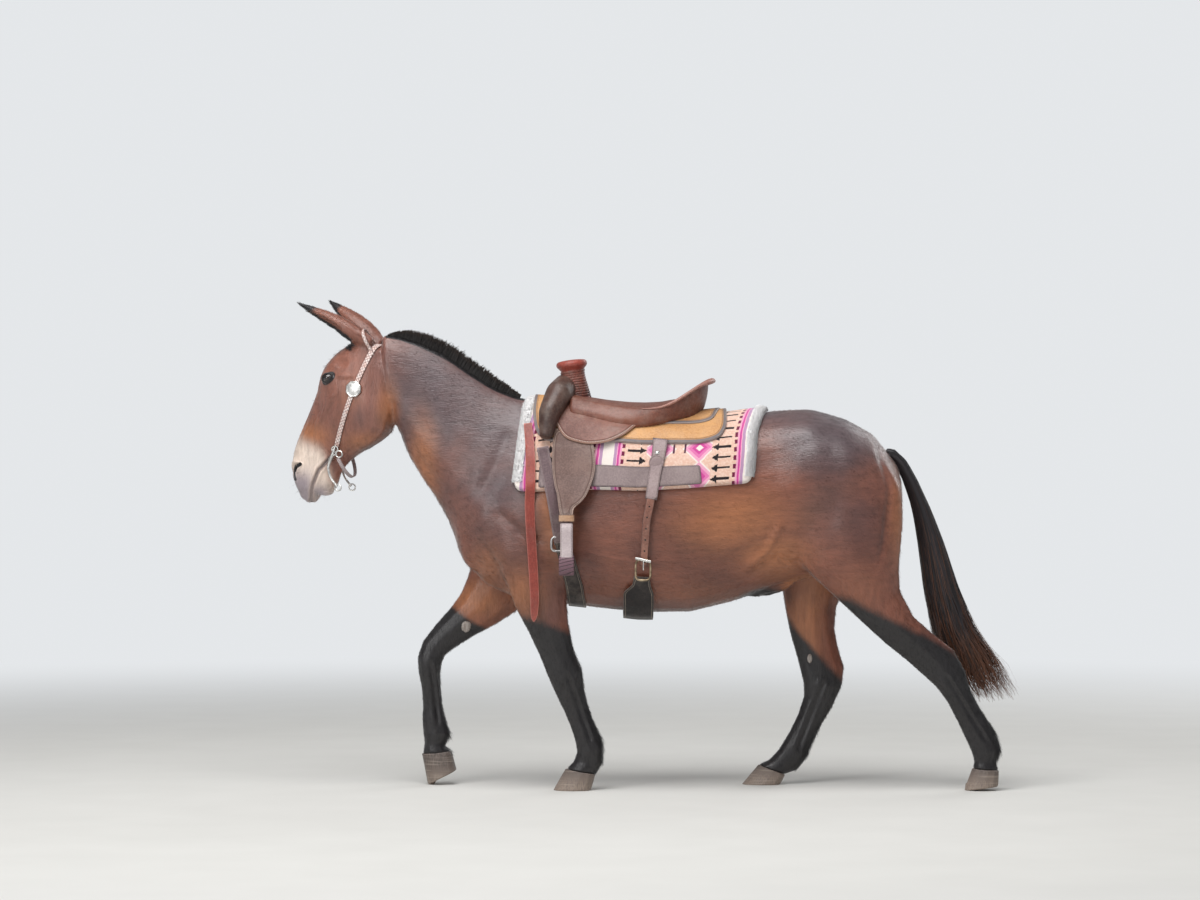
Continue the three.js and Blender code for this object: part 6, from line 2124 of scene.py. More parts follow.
# %% Latigos
LATIGO_PATH = [(-416, 1258), (-404, 1190), (-380, 1075), (-364, 980), (-352, 905)]
LATIGO_LEVELS = [(1262, 33, 4), (1230, 25, 4), (1092, 25, 3), (1000, 0, 12), (930, 0, 5)]
HANGING_PATH = [(-472, 1345), (-462, 1247), (-460, 1138), (-463, 1040), (-457, 920), (-450, 811),
                (-445, 703), (-448, 622)]
HANGING_WIDTHS = [30, 34, 36, 36, 35, 34, 32, 24]
for name, side in SIDES.items():
    latigo = side_strap(f"latigo_{name}", LATIGO_PATH, [44, 44, 43, 42, 42], side, lie_of(LATIGO_LEVELS))
    finish_piece(latigo, f"latigo_strap_{name}", [f"latigo_{name}"], purple_leather)
elbow = 4 * MM + max(side_reach(-0.45, z, -1)[0] for z in (0.96, 0.92, 0.88, 0.84))


def hanging_lie(x, z, side):
    """Over the pad, then straight down past the elbow."""
    out, facing = side_reach(x, z, side)
    share = smoothstep(1.07, 1.14, z)
    return (out + 31 * MM / facing) * share + elbow * (1 - share)


hanging = side_strap("hanging", HANGING_PATH, HANGING_WIDTHS, -1, hanging_lie, tip=0.05)
finish_piece(hanging, "hanging_strap", ["hanging_latigo"], russet_leather)

# %% [markdown]
# ## Rear cinch and billets
# A billet is the strap that hangs from the saddle and takes the buckle of the rear cinch. The near
# one is doubled and stitched at its top, carries a rosette, and goes on as a single strap with
# punched holes.

# %% Billets
BILLET_PATH = [(14, 1288), (6, 1230), (-8, 1160), (-22, 1068)]
BILLET_WIDTHS = [56, 50, 46, 44]
BILLET_LEVELS = [(1300, 33, 2), (1250, 33, 2), (1220, 25, 3), (1104, 25, 2), (1050, 25, 0)]
BILLET_TIP_PATH = [(-22, 1076), (-30, 1030), (-38, 990), (-44, 900), (-49, 826)]
BILLET_TIP_LEVELS = [(1076, 25, 0), (1060, 25, -3), (960, 7, 10), (880, 7, 11)]
billet_leather = leather(
    "grey billet leather", (0.36, 0.275, 0.27), (0.26, 0.19, 0.19), rim=(0.09, 0.06, 0.06),
    thread=(0.12, 0.09, 0.09), roughness=0.55, stitch=0.005,
)
for name, side in SIDES.items():
    billet = side_strap(f"billet_{name}", BILLET_PATH, BILLET_WIDTHS, side, lie_of(BILLET_LEVELS))
    finish_piece(billet, f"billet_top_{name}", [f"billet_{name}"], billet_leather)
    end = side_strap(f"tip_{name}", BILLET_TIP_PATH, [31, 30, 29, 28, 28], side, lie_of(BILLET_TIP_LEVELS))
    finish_piece(end, f"billet_end_{name}", [f"billet_tip_{name}"], hole_leather)

# %% Cinches
def round_belly(name, x_front, x_rear, top, thick, slack, inset):
    """A cinch from one side under the belly to the other. x and top are given by side."""
    turns = np.radians(np.linspace(top - 180, 180 - top, 96))
    shares = columns_for(0.07)
    grid = np.empty((len(turns), 9, 3))
    for i, turn in enumerate(turns):
        down = abs(turn) / math.pi
        for k, share in enumerate(shares):
            middle, half = (x_front(down) + x_rear(down)) / 2, (x_rear(down) - x_front(down)) / 2
            x = middle + half * share
            way = Vector((0, -math.sin(turn), -math.cos(turn)))
            hit = skin_tree.ray_cast(Vector((x, 0, MAP_MIDDLE_Z)), way)
            reach = hit[3] + inset + slack * max(0.0, math.cos(turn)) ** 2
            grid[i, k] = (x, way.y * reach, MAP_MIDDLE_Z + way.z * reach)
    return ribbon(name, evened(grid, 4), thick)


def bent(heights, places):
    return lambda down: np.interp(down, heights, places) * MM


# Shares of a half turn from straight down, with the cinch's front and rear edges there
TURN_SHARES = [0, 0.07, 0.17, 0.26, 0.35]
front_cinch = round_belly(
    "front_cinch", bent(TURN_SHARES, [-323, -323, -335, -359, -377]),
    bent(TURN_SHARES, [-257, -257, -269, -297, -325]), 118, 7 * MM, 0.0, 1.2 * MM,
)
finish_piece(front_cinch, "girth", ["front_cinch"], black_leather)
rear_cinch = round_belly(
    "rear_cinch", bent([0, 0.185, 0.21, 0.24], [-121, -121, -88, -84]),
    bent([0, 0.185, 0.21, 0.24], [-11, -11, -22, -26]), 137, 6 * MM, 24 * MM, 1.0 * MM,
)
finish_piece(rear_cinch, "rear_girth", ["flank_cinch"], black_leather)

# %% [markdown]
# ## Metal
# Silver on a saddle is bright where it is rubbed and dull where it tarnishes. Buckle frames are bar
# bent round, and discs are plain thin domes with a raised, beaded rim.

# %% Metals
def metal(name, bright, dull, roughness=0.25):
    material, tree, shader = new_material(name, Metallic=1.0)
    where = object_place(tree)
    smear = noise(tree, where, 45.0, 6.0)
    scratch = noise(tree, stretched(tree, where, (1, 1, 9)), 160.0)
    put(tree, shader.inputs["Roughness"], ranged(tree, smear, 0.3, 0.7, roughness, roughness + 0.22))
    paint(tree, shader, mixed(tree, ranged(tree, smear, 0.4, 0.66), bright, dull), scratch, 0.15, 0.0006)
    return material


silver = metal("silver", (0.80, 0.79, 0.76), (0.42, 0.41, 0.40))
steel = metal("stainless steel", (0.62, 0.61, 0.60), (0.34, 0.33, 0.33), 0.3)
bronze = metal("bronze", (0.46, 0.36, 0.24), (0.2, 0.15, 0.1), 0.35)


def boxed(turns, power):
    """A circle's places, pressed out into a square's corners by a power below one."""
    return [np.sign(part) * np.abs(part) ** power for part in (np.cos(turns), np.sin(turns))]


def frame_line(x, z, width, height, y):
    """A rounded rectangle in the side view."""
    out_x, out_z = boxed(full_turn(40), 0.5)
    return np.stack([x + out_x * width / 2, np.full(40, y / MM), z + out_z * height / 2], axis=1) * MM


def disc(name, centre, outward, radius, sides=0, dome=4 * MM):
    """A domed disc with a raised, beaded rim. With sides its outline is a rounded polygon."""
    around = 64
    turns = full_turn(around)
    shape = np.ones(around)
    if sides:
        part = 2 * math.pi / sides
        inside = np.abs((turns % part) - part / 2)
        shape = (math.cos(part / 2) / np.cos(part / 2 - inside)) ** 0.8
    outward = Vector(outward).normalized()
    a = outward.orthogonal().normalized()
    b = outward.cross(a)
    profile = [(1.0, -3 * MM), (1.0, 0), (0.985, 1.2 * MM), (0.93, 2.0 * MM), (0.87, 1.2 * MM),
               (0.83, 0.6 * MM), (0.78, 1.0 * MM), (0.6, dome * 0.62), (0.4, dome * 0.85),
               (0.2, dome * 0.97), (0.05, dome)]
    bead = 0.35 * MM * np.cos(turns * 32)
    points = []
    for k, (share, lift) in enumerate(profile):
        for turn, grow, beat in zip(turns, shape, bead):
            reach = radius * share * (grow if share > 0.5 else 1)
            rise = lift + (beat if k == 3 else 0)
            over = a * math.cos(turn) * reach + b * math.sin(turn) * reach
            points.append(Vector(centre) + over + outward * rise)
    faces = grid_faces(len(profile), around, closed_columns=True)
    faces += [range(len(points) - around, len(points)), range(around)[::-1]]
    piece = mesh_piece(name, points, faces)
    add_no_edge(piece)
    face_outwards(piece)
    return piece


# %% Buckles, rosettes and cinch rings
for name, side in SIDES.items():
    billet_lie = lie_of(BILLET_LEVELS)
    tip_lie = lie_of(BILLET_TIP_LEVELS)
    y = side * (tip_lie(-0.051, 0.86, side) + 7 * MM)
    ring = tube("buckle", frame_line(-51, 812, 54, 74, y), 4 * MM, closed=True)
    finish_piece(ring, f"buckle_{name}", [f"flank_buckle_{name}"], bronze)
    outer = y / MM + side * 3
    tongue_line = [(-49, outer, 852), (-50, outer + side * 3, 832), (-50, outer, 812)]
    tongue = tube("tongue", np.array(tongue_line) * MM, 2.2 * MM)
    bar_line = [(-79, outer, 854), (-64, outer, 852), (-38, outer, 845), (-23, outer, 842)]
    bar = tube("bar", np.array(bar_line) * MM, 5.5 * MM)
    bar = join_pieces([bar, tongue], "bar")
    finish_piece(bar, f"buckle_bar_{name}", [f"flank_buckle_{name}"], silver)
    x, z = -2 * MM, 1202 * MM
    spot = (x, side * (billet_lie(x, z, side) + 4.5 * MM), z)
    rosette = disc(f"rosette_{name}", spot, (0, side, 0.15), 27 * MM)
    finish_piece(rosette, f"rosette_{name}", [f"billet_{name}"], billet_leather, angle=50)
    spot = (x + 4 * MM, side * (billet_lie(x, 1.236, side) + 4.5 * MM), 1.236)
    stud = disc(f"stud_{name}", spot, (0, side, 0.15), 9 * MM)
    finish_piece(stud, f"stud_{name}", [f"billet_{name}"], silver, angle=50)
    latigo_lie = lie_of(LATIGO_LEVELS)
    y = side * (latigo_lie(-0.352, 0.912, side) + 1 * MM)
    ring = tube("cinch ring", frame_line(-351, 905, 66, 52, y), 4.5 * MM, closed=True)
    finish_piece(ring, f"cinch_ring_{name}", [f"latigo_{name}"], steel)

# %% [markdown]
# ## Stirrups
# A stirrup is a bell of bent wood covered in leather, with a wider wrapped tread. The strip runs
# round the bell's line, with its flat side turned inwards. A collar holds the leathers together
# above it.

# %% Stirrups
STIRRUP_X, STIRRUP_Y = -328, 322
BELL = [(0, 978), (24, 976), (36, 962), (42, 930), (54, 880), (64, 836), (64, 812), (52, 802), (0, 800)]


def make_bell(name, side, wide, thick, low_only=False):
    half = smooth_line([(y, 0, z) for y, z in BELL], 34)
    line = np.vstack([half, (half * (-1, 1, 1))[-2:0:-1]])
    if low_only:
        keep = line[:, 2] < 872
        first = int(np.nonzero(keep)[0][0])
        line = line[first: first + keep.sum()]
    count = len(line)
    grid = np.empty((count, 9, 3))
    shares = columns_for(wide)
    sunk = 4.5 if low_only else 2.5
    middle = np.array([0, 0, 880.0])
    for i in range(count):
        out = unit(line[i] - middle)
        for k, share in enumerate(shares):
            at = line[i] - out * sunk
            grid[i, k] = (STIRRUP_X * MM + share * wide / 2, side * (STIRRUP_Y + at[0]) * MM, at[2] * MM)
    return ribbon(name, grid, thick, closed=not low_only, edge=2.5 * MM)


def wrap_leather():
    """Leather strip wound round and round, drawn as rounded bands."""
    material, tree, shader = new_material("wrapped leather", Roughness=0.5)
    grain = use_group(tree, grain_group, {"Vector": object_place(tree)})
    slant = times_plus(tree, attribute(tree, "across"), 0.22, attribute(tree, "along"))
    gap = ranged(tree, to_and_fro(tree, slant, 0.0115), 0.36, 0.5)
    tone = mixed(tree, grain["Shade"], (0.10, 0.045, 0.06), (0.19, 0.10, 0.125))
    tone = mixed(tree, gap, tone, (0.025, 0.012, 0.016))
    height = times_plus(tree, times(tree, gap, gap), -6.0, grain["Height"])
    paint(tree, shader, tone, height, 0.7, 0.0015)
    return material


wrapped = wrap_leather()
pale_leather = leather(
    "pale grey leather", (0.52, 0.44, 0.44), (0.38, 0.31, 0.32), rim=(0.25, 0.19, 0.19),
    thread=(0.2, 0.16, 0.16), roughness=0.55, stitch=0.005,
)
collar_leather = leather("collar leather", (0.52, 0.32, 0.2), (0.36, 0.2, 0.12), rim=(0.12, 0.07, 0.05))
for name, side in SIDES.items():
    bell = make_bell(f"bell_{name}", side, 46 * MM, 6.5 * MM)
    tread = make_bell(f"tread_{name}", side, 54 * MM, 11 * MM, low_only=True)
    finish_piece(bell, f"stirrup_bell_{name}", [f"stirrup_{name}"], pale_leather, angle=50)
    finish_piece(tread, f"stirrup_tread_{name}", [f"stirrup_{name}"], wrapped, angle=50)
    loop = np.empty((28, 9, 3))
    out_x, out_y = boxed(full_turn(28), 0.6)
    for k, share in enumerate(columns_for(26 * MM)):
        loop[:, k, 0] = (STIRRUP_X + out_x * 25) * MM
        loop[:, k, 1] = (side * STIRRUP_Y + out_y * 11) * MM
        loop[:, k, 2] = 1000 * MM + share * 13 * MM
    collar = ribbon(f"collar_{name}", loop, 3 * MM, closed=True)
    node = f"stirrup_{name}"
    finish_piece(collar, f"stirrup_collar_{name}", [node], collar_leather, angle=50)
    deselect()
    bpy.ops.mesh.primitive_cube_add(location=(STIRRUP_X * MM, side * STIRRUP_Y * MM, 0.983))
    neck = bpy.context.object
    neck.scale = (22 * MM, 9 * MM, 16 * MM)
    bpy.ops.object.transform_apply(location=True, rotation=True, scale=True)
    apply_modifier(neck, "BEVEL", width=5 * MM, segments=4)
    add_no_edge(neck)
    finish_piece(neck, f"stirrup_neck_{name}", [f"stirrup_{name}"], purple_leather, angle=50)

# %% [markdown]
# ## Headstall
# A one-ear headstall is one strap over the poll behind the ears and down both cheeks, with a small
# loop round one ear in place of a browband. This one is braided from pale rawhide. Its line over the
# poll is found with rays, in the plane of the strap, from the middle of the head out to the skin.

# %% Rawhide braid
def rawhide_material():
    material, tree, shader = new_material("rawhide braid", Roughness=0.5, Specular_IOR_Level=0.45)
    along, across = attribute(tree, "along"), attribute(tree, "across")
    strands = [to_and_fro(tree, times_plus(tree, across, lean, along), 0.013) for lean in (1.0, -1.0)]
    gap = fading(tree, maths(tree, "MINIMUM", *strands), 0.04, 0.13)
    speck = noise(tree, object_place(tree), 70.0, 5.0)
    tone = mixed(tree, ranged(tree, speck, 0.35, 0.65), (0.72, 0.50, 0.44), (0.82, 0.70, 0.66))
    tone = mixed(tree, times(tree, gap, 0.75), tone, (0.20, 0.10, 0.09))
    rim = fading(tree, attribute(tree, "edge"), 0.0006, 0.002)
    tone = mixed(tree, times(tree, rim, 0.7), tone, (0.14, 0.07, 0.06))
    paint(tree, shader, tone, times_plus(tree, gap, -2.0, speck), 0.8, 0.0012)
    return material


rawhide = rawhide_material()


# %% Lines on the head
def head_hit(origin, way):
    """From a place inside the straight head, the skin in a direction, both in millimetres."""
    start = head_point(*origin)
    aim = (head_point(*(np.array(origin) + way)) - start).normalized()
    spot, normal, _, far = skin_tree.ray_cast(start, aim)
    return spot, normal, far


def cheek_hit(x, z, side):
    spot, normal, _, _ = skin_tree.ray_cast(head_point(x, side * 260, z), -head_direction(0, side, 0))
    return spot, normal


def head_ribbon(name, spots, outs, width, thick, closed=False, lift=1.5 * MM, rounds=3):
    """A flat strap over places on the head, with the direction that its face looks."""
    spots, outs = evened(spots, rounds, closed), unit(evened(outs, rounds, closed))
    way = np.roll(spots, -1, axis=0) - np.roll(spots, 1, axis=0) if closed else np.gradient(spots, axis=0)
    across = unit(np.cross(way, outs))
    shares = columns_for(width, 1 * MM)
    grid = (spots + outs * lift)[:, None] + across[:, None] * (shares * width / 2)[None, :, None]
    return ribbon(name, grid, thick, closed=closed, edge=1 * MM)


# %% Crown and cheek straps
CHEEK = [(-1050, 1554), (-1067, 1512), (-1083, 1471), (-1112, 1394), (-1140, 1328), (-1166, 1258)]
STRAP_WIDTH = 19 * MM


def crown_line():
    """From the left temple over the poll to the right one."""
    spots, outs = [], []
    foot, top = np.array([-1040.0, 0, 1580.0]), np.array([-984.0, 0, 1736.0])
    up = unit(top - foot)
    for turn in np.radians(np.linspace(-88, 88, 45)):
        spot, normal, _ = head_hit(foot, up * math.cos(turn) + np.array([0, math.sin(turn), 0]))
        spots.append(spot)
        outs.append(normal)
    return spots, outs


def cheek_line(side):
    spots, outs = [], []
    for x, z in smooth_line(CHEEK, 46):
        spot, normal = cheek_hit(x, z, side)
        spots.append(spot)
        outs.append(normal)
    return spots, outs


def headstall_line():
    """Up the left cheek, over the poll and down the right one."""
    crown = crown_line()
    top = min(crown[0][0].z, crown[0][-1].z) - 4 * MM
    cheeks = []
    for side in (-1, 1):
        spots, outs = cheek_line(side)
        low = [k for k, spot in enumerate(spots) if spot.z < top]
        cheeks.append(([spots[k] for k in low], [outs[k] for k in low]))
    (left, left_outs), (right, right_outs) = cheeks
    return left[::-1] + crown[0] + right, left_outs[::-1] + crown[1] + right_outs


headstall = head_ribbon("headstall", *headstall_line(), STRAP_WIDTH, 4.5 * MM, rounds=8)
finish_piece(headstall, "headstall_strap", ["headstall"], rawhide, angle=60)

# %% Ear loop
LOOP = ((-1078, 1735), (-1030, 1610))
ear_base, ear_tip = (np.array(p, float) for p in EARS["left"])


def ear_loop():
    """A ring in the strap's plane round the foot of the left ear."""
    high, low = (np.array([x, -60.0, z]) for x, z in LOOP)
    run, axis = unit(high - low), unit(ear_tip - ear_base)
    share = np.cross(run, ear_base - low)[1] / np.cross(run, -axis)[1]
    middle = ear_base + axis * share
    reach, ways = [], []
    for turn in np.radians(np.arange(0, 360, 8)):
        way = run * math.cos(turn) + np.array([0, math.sin(turn), 0])
        spot, _, far = head_hit(middle, way)
        reach.append(min(far / MM, 52) if spot else 34)
        ways.append(way)
    reach = np.array(reach)
    for _ in range(3):
        reach = np.maximum(reach, (np.roll(reach, 1) + np.roll(reach, -1)) / 2)
    reach = reach + 1.5
    spots = [head_point(*(middle + way * far)) for way, far in zip(ways, reach)]
    outs = [spot - head_point(*middle) for spot in spots]
    return spots, outs


loop = head_ribbon("ear_loop", *ear_loop(), 13 * MM, 3.5 * MM, closed=True)
finish_piece(loop, "ear_loop_strap", ["ear_loop"], rawhide, angle=60)

# %% Discs, bit and curb strap
CHEEK_DISC = (-1083, 1471, 31)
BIT_CHEEK = [(-1166, 1258), (-1172, 1238), (-1184, 1208), (-1191, 1180), (-1182, 1146), (-1158, 1112)]
BIT_OUT = 70
for name, side in SIDES.items():
    x, z, radius = CHEEK_DISC
    spot, normal = cheek_hit(x, z, side)
    outward = head_direction(0, side, 0.0) * 0.6 + normal * 0.4
    plate = disc(f"disc_{name}", spot + outward * 9 * MM, outward, radius * MM, sides=8, dome=3.5 * MM)
    finish_piece(plate, f"cheek_plate_{name}", [f"cheek_disc_{name}"], silver, angle=50)
parts = []
for side in SIDES.values():
    shank = [head_point(x, side * BIT_OUT, z) for x, z in smooth_line(BIT_CHEEK, 36)]
    thick = np.interp(np.linspace(0, 1, 36), [0, 0.1, 0.35, 0.5, 0.9, 1], [3.5, 5.5, 6.5, 5, 4, 4.5]) * MM
    parts.append(tube("shank", shank, thick, around=14))
    for x, z, size in ((-1166, 1250, 11), (-1150, 1232, 12), (-1154, 1108, 12)):
        ring = [(x + math.cos(turn) * size, z + math.sin(turn) * size) for turn in full_turn(28)]
        line = [head_point(ring_x, side * (BIT_OUT + 1), ring_z) for ring_x, ring_z in ring]
        parts.append(tube("ring", line, 2.6 * MM, around=10, closed=True))
    link = [head_point(x, side * BIT_OUT, z) for x, z in ((-1178, 1224), (-1166, 1230), (-1158, 1232))]
    parts.append(tube("link", link, 3 * MM))
mouthpiece = [head_point(-1184, y, 1214) for y in np.linspace(-BIT_OUT, BIT_OUT, 24)]
parts.append(tube("mouthpiece", mouthpiece, 6 * MM, around=14))
finish_piece(join_pieces(parts, "bit"), "curb_bit", ["bit"], silver, angle=60)


def curb_strap():
    """Behind the chin, from ring to ring."""
    spots, outs = [], []
    for turn in np.radians(np.linspace(-80, 80, 34)):
        back = math.cos(turn)
        spot = head_point(-1160 + 34 * back, math.sin(turn) * (BIT_OUT + 2), 1232 - 84 * back)
        spots.append(spot)
        outs.append(spot - head_point(-1160, 0, 1228))
    return head_ribbon("curb", spots, outs, 14 * MM, 3 * MM, rounds=1, lift=0)


finish_piece(curb_strap(), "curb_strap", ["bit"], pale_leather)

# %% [markdown]
# ## Short coat
# The flat hair of the body is in the skin's bumps, and only where it breaks the outline does it need
# a shape. So each tuft is a tiny curved lock with its root in the skin, laid along the hair's own
# direction. They are longest under the belly, behind the legs and in the ears, and smallest on the
# face. A tuft takes its markings from its root, and lies nowhere under the tack.

# %% Places for the tufts
TUFTS = 66000
TUFTS_IN_A_PIECE = 11000
ROOM_ROUND_EYE = 0.032
TACK_REACH = 0.035  # a root has no tuft if tack lies nearer over it than this
skin.data.calc_loop_triangles()
skin_corners = values_of(skin.data.loop_triangles, "vertices", 3, np.int32)
skin_normals = normals_of(skin)
tack_trees = []
for piece in bpy.data.objects:
    if piece.type == "MESH" and piece.name not in before_tack:
        faces = [tuple(face.vertices) for face in piece.data.polygons]
        tack_trees.append(BVHTree.FromPolygons([v.co.copy() for v in piece.data.vertices], faces))


def tuft_length(points, normals, head, legs, ears):
    """How long the hair is at each place, in millimetres."""
    z, down, rear = points[:, 2], -normals[:, 2], normals[:, 0]
    trunk = (1 - head) * (1 - legs)
    long = 8 + 8 * trunk * smoothstep(0.35, 0.85, down) + 4 * trunk * smoothstep(0.4, 0.9, np.abs(rear))
    long = long * (1 - legs) + legs * (6 + 6 * smoothstep(0.2, 0.8, rear))
    fetlock = smoothstep(0.25, 0.19, z) * smoothstep(0.09, 0.13, z) * smoothstep(0.1, 0.7, rear)
    long += 13 * fetlock
    long = long * (1 - head) + head * (4.5 + 5.5 * smoothstep(0.3, 0.8, down) * (z > 1.12))
    return np.where(ears, 9, long)


def hair_way(points, normals, head, legs, ears):
    way = np.outer((1 - head) * (1 - legs), (0.88, 0, -0.47)) + np.outer(legs, (0.12, 0, -0.99))
    way += np.outer(head, (-0.18, 0, -0.98))
    for name, (base, tip) in EARS.items():
        mine = ears & (points[:, 1] * SIDES[name] > 0)
        way[mine] = np.array(head_direction(*(np.array(tip) - base)))
    way -= normals * (way * normals).sum(axis=1, keepdims=True)
    return unit(way, 1e-9)


def tuft_places():
    """Roots by weight: more where the surface turns to a side view's outline, and on the legs."""
    a, b, c = (skin_points[skin_corners[:, k]] for k in range(3))
    area = np.linalg.norm(np.cross(b - a, c - a), axis=1)
    middle, lie = (a + b + c) / 3, skin_normals[skin_corners].mean(axis=1)
    marks = {key: value[skin_corners].mean(axis=1) for key, value in skin_marks.items()}
    z, ears = middle[:, 2], ear_shares(middle)
    weight = 1 + 2.5 * smoothstep(0.5, 0.15, np.abs(lie[:, 1])) + 2.0 * marks["legs"] + 2.5 * marks["head"]
    weight += 16 * ears + 5 * marks["legs"] * smoothstep(0.3, 0.8, lie[:, 0]) * (z < 0.3)
    weight *= (z > 0.055) * (1 - 0.8 * smoothstep(1150, 1050, head_frame(middle)[:, 2]) * marks["head"])
    chosen = rng.choice(len(area), TUFTS, p=area * weight / (area * weight).sum())
    u, v = rng.uniform(0, 1, (2, TUFTS))
    u, v = np.where(u + v > 1, 1 - u, u)[:, None], np.where(u + v > 1, 1 - v, v)[:, None]
    roots = a[chosen] + (b - a)[chosen] * u + (c - a)[chosen] * v
    outs = unit(lie[chosen])
    shares = {key: value[chosen] for key, value in marks.items()}
    free = np.array([is_free(Vector(root), Vector(out)) for root, out in zip(roots, outs)])
    shares = {key: value[free] for key, value in shares.items()}
    return roots[free], outs[free], shares, ears[chosen][free] > 0.5


def ear_shares(points):
    straight = head_frame(points)
    near = np.zeros(len(points), bool)
    for name in EARS:
        near |= ear_black(straight, name)[1]
    return (near & (points[:, 0] < -0.93)).astype(float)


def is_free(root, out):
    """Whether nothing of the tack or the eyes lies over a place."""
    if min((root - eye_centres[name]).length for name in SIDES) < ROOM_ROUND_EYE:
        return False
    start = root + out * 1 * MM
    return not any(tree.ray_cast(start, out, TACK_REACH)[0] for tree in tack_trees)


# %% Grow the coat
def make_coat():
    roots, outs, shares, ears = tuft_places()
    long = tuft_length(roots, outs, shares["head"], shares["legs"], ears) * MM
    long *= rng.uniform(0.75, 1.2, len(roots))
    way = hair_way(roots, outs, shares["head"], shares["legs"], ears)
    way += rng.normal(0, 0.14, way.shape)
    lift = rng.uniform(0.16, 0.34, len(roots))[:, None]
    steps = np.array([-0.06, 0.5, 1.0])
    rise = np.array([-0.10, 0.62, 0.85])
    bend = way[:, None] * steps[None, :, None] + (outs * lift)[:, None] * rise[None, :, None]
    paths = roots[:, None] + bend * long[:, None, None]
    widths = rng.uniform(1.3, 2.4, len(roots))[:, None] * np.array([1.0, 0.85, 0.3]) * MM
    widths[shares["head"] > 0.5] *= 0.7
    for number, first in enumerate(range(0, len(roots), TUFTS_IN_A_PIECE), 1):
        part = slice(first, first + TUFTS_IN_A_PIECE)
        piece, per_lock = make_locks(f"coat_{number}", paths[part], outs[part], widths[part], thickness=0.35)
        store_markings(piece, {key: np.repeat(value[part], per_lock) for key, value in shares.items()})
        add_bake_map(piece, per_lock, roots[part])
        finish_piece(piece, f"coat_{number}", (), tuft_material, angle=180)
        shade_as(piece, outs[part], per_lock)


make_coat()

# %% [markdown]
# ## Long single hairs
# The ears are filled with pale-rooted dark hair, the upper lids carry lashes, and stiff feelers stand
# out from the lips and chin. Each is a lock of its own.

# %% Ear hair, lashes and feelers
EAR_HAIRS = 320
LASHES = 46
FEELERS = 46


def add_path(paths, outs, root, way, out, long, bend):
    """A hair from its root along its way, which bends by the end."""
    way, bend = unit(np.array(way, float)), np.array(bend, float)
    paths.append([np.array(root) + (way * t + bend * t * t) * long for t in (-0.08, 0.35, 0.7, 1.0)])
    outs.append(np.array(out, float))


def fill_ears(paths, outs):
    for base, tip in EARS.values():
        base, tip = np.array(base, float), np.array(tip, float)
        axis = unit(tip - base)
        front = np.array([-axis[2], 0, axis[0]])
        for _ in range(EAR_HAIRS):
            along = rng.uniform(0.12, 0.8)
            start = base + (tip - base) * along
            way = front + axis * rng.uniform(-0.2, 0.3) + np.array([0, rng.uniform(-0.5, 0.5), 0])
            spot, normal, _ = head_hit(start, way * 100)
            if spot:
                way = axis * 0.8 + front * 0.5 + np.array([0, rng.normal(0, 0.3), 0])
                add_path(paths, outs, spot, head_direction(*way), normal, rng.uniform(9, 19) * MM, (0, 0, 0))


def add_lashes(paths, outs):
    for name, side in SIDES.items():
        outward, along, upward = eye_axes(side)
        for share in np.linspace(-0.85, 0.85, LASHES):
            lid = upward * ALMOND[1] * (1 - abs(share) ** 2) + along * ALMOND[0] * share
            rim = (lid + outward * math.sqrt(EYE_RADIUS**2 - lid.length_squared)).normalized()
            root = eye_centres[name] + rim * (EYE_RADIUS + LID_THICKNESS)
            way = outward * 0.9 + upward * 0.35 + along * share * 0.5
            add_path(paths, outs, root, way, along, rng.uniform(8, 13) * MM, -np.array(upward) * 0.45)


def add_feelers(paths, outs):
    for side in SIDES.values():
        for _ in range(FEELERS):
            x, z = rng.uniform(-1325, -1215), rng.uniform(1060, 1180)
            spot, normal = cheek_hit(x, z, side)
            if spot:
                drop = np.array([rng.normal(-0.1, 0.1), rng.normal(0, 0.1), -0.35])
                add_path(paths, outs, spot, normal, drop, rng.uniform(14, 34) * MM, drop)


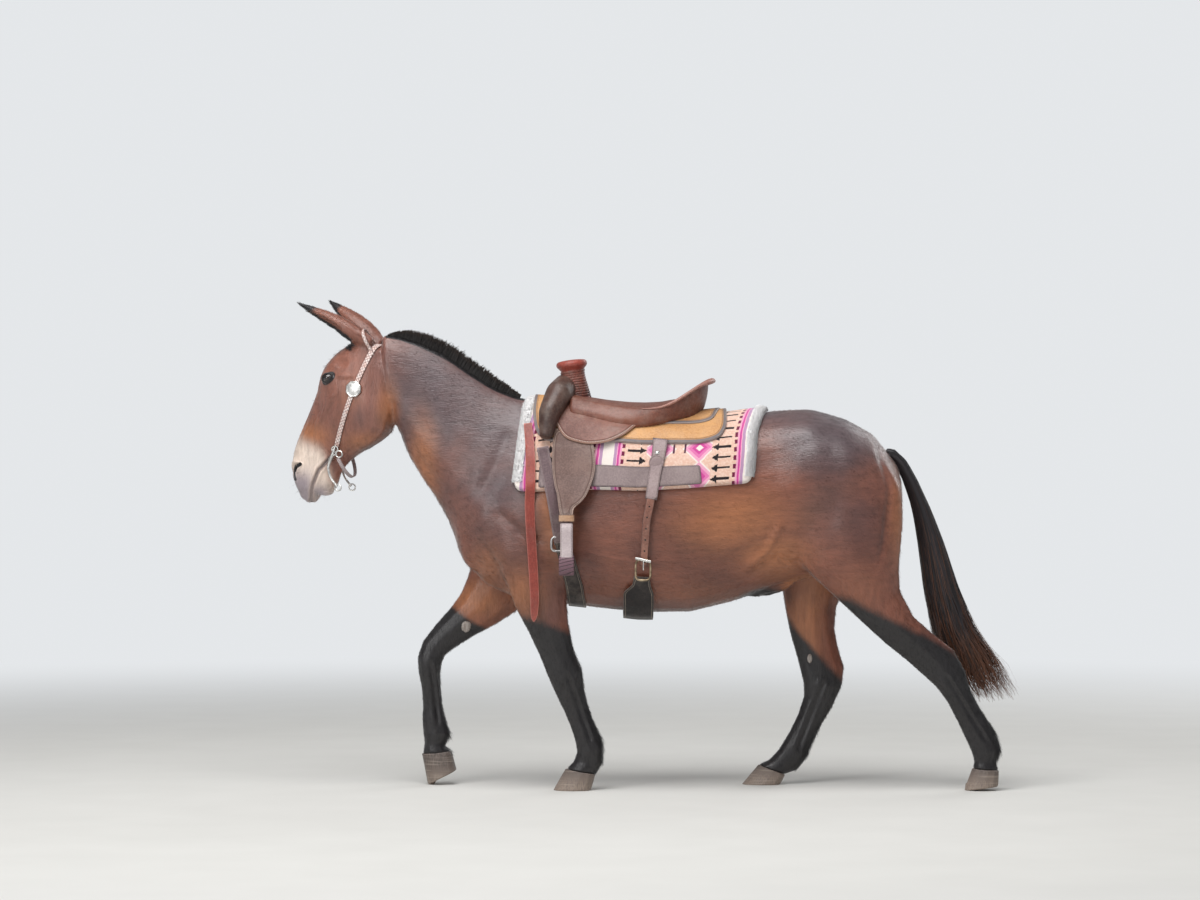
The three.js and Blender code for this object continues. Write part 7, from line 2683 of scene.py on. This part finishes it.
def make_single_hairs(name, grow, thick, material):
    paths, outs = [], []
    grow(paths, outs)
    paths, outs = np.array(paths), np.array(outs)
    widths = thick * rng.uniform(0.7, 1.3, len(paths))[:, None] * np.array([1.0, 0.9, 0.6, 0.2])
    piece, per_lock = make_locks(name, paths, outs, widths, thickness=0.8)
    add_lock_colour(piece, per_lock, rng.uniform(0.3, 1.0, len(paths)))
    add_bake_map(piece, per_lock, paths[:, 0])
    finish_piece(piece, name, (), material, angle=60)


ear_fill = long_hair_material("ear hair", (0.10, 0.05, 0.035), (0.03, 0.02, 0.016), 0.3)
make_single_hairs("ear_hair", fill_ears, 1.6 * MM, ear_fill)
make_single_hairs("lashes", add_lashes, 0.7 * MM, black_hair)
make_single_hairs("feelers", add_feelers, 0.45 * MM, black_hair)

# %% [markdown]
# ## Chestnuts
# Inside each leg, above the knee and below the hock, is a small callus of rough horn. Each one is a
# ball pressed flat and roughened, which stands half out of the skin.

# %% Chestnuts
# Place in side view, side, and half the width, thickness and height
CHESTNUTS = {
    "fore_left": (-0.386, 0.64, -1, (18, 6, 23)), "fore_right": (-0.706, 0.592, 1, (18, 6, 23)),
    "hind_left": (0.965, 0.47, -1, (9, 4, 17)), "hind_right": (0.575, 0.47, 1, (9, 4, 17)),
}
callus_horn = horn_material("chestnut horn", (0.38, 0.34, 0.31), (0.40, 0.36, 0.33))
for name, (x, z, side, half) in CHESTNUTS.items():
    spot, normal, _, _ = skin_tree.ray_cast(Vector((x, side * 0.002, z)), Vector((0, side, 0)))
    if spot is None:
        print("no skin at the chestnut of", name)
        continue
    deselect()
    bpy.ops.mesh.primitive_ico_sphere_add(subdivisions=4, radius=1.0)
    callus = bpy.context.object
    points = points_of(callus)
    rough = 1 + 0.10 * np.sin(points[:, 2] * 17 + points[:, 0] * 9) * np.cos(points[:, 1] * 13)
    set_points(callus, points * rough[:, None] * np.array(half) * MM)
    bpy.ops.transform.translate(value=spot)
    bpy.ops.object.transform_apply(location=True, rotation=True, scale=True)
    finish_piece(callus, f"chestnut_{name}", (), callus_horn, angle=180)
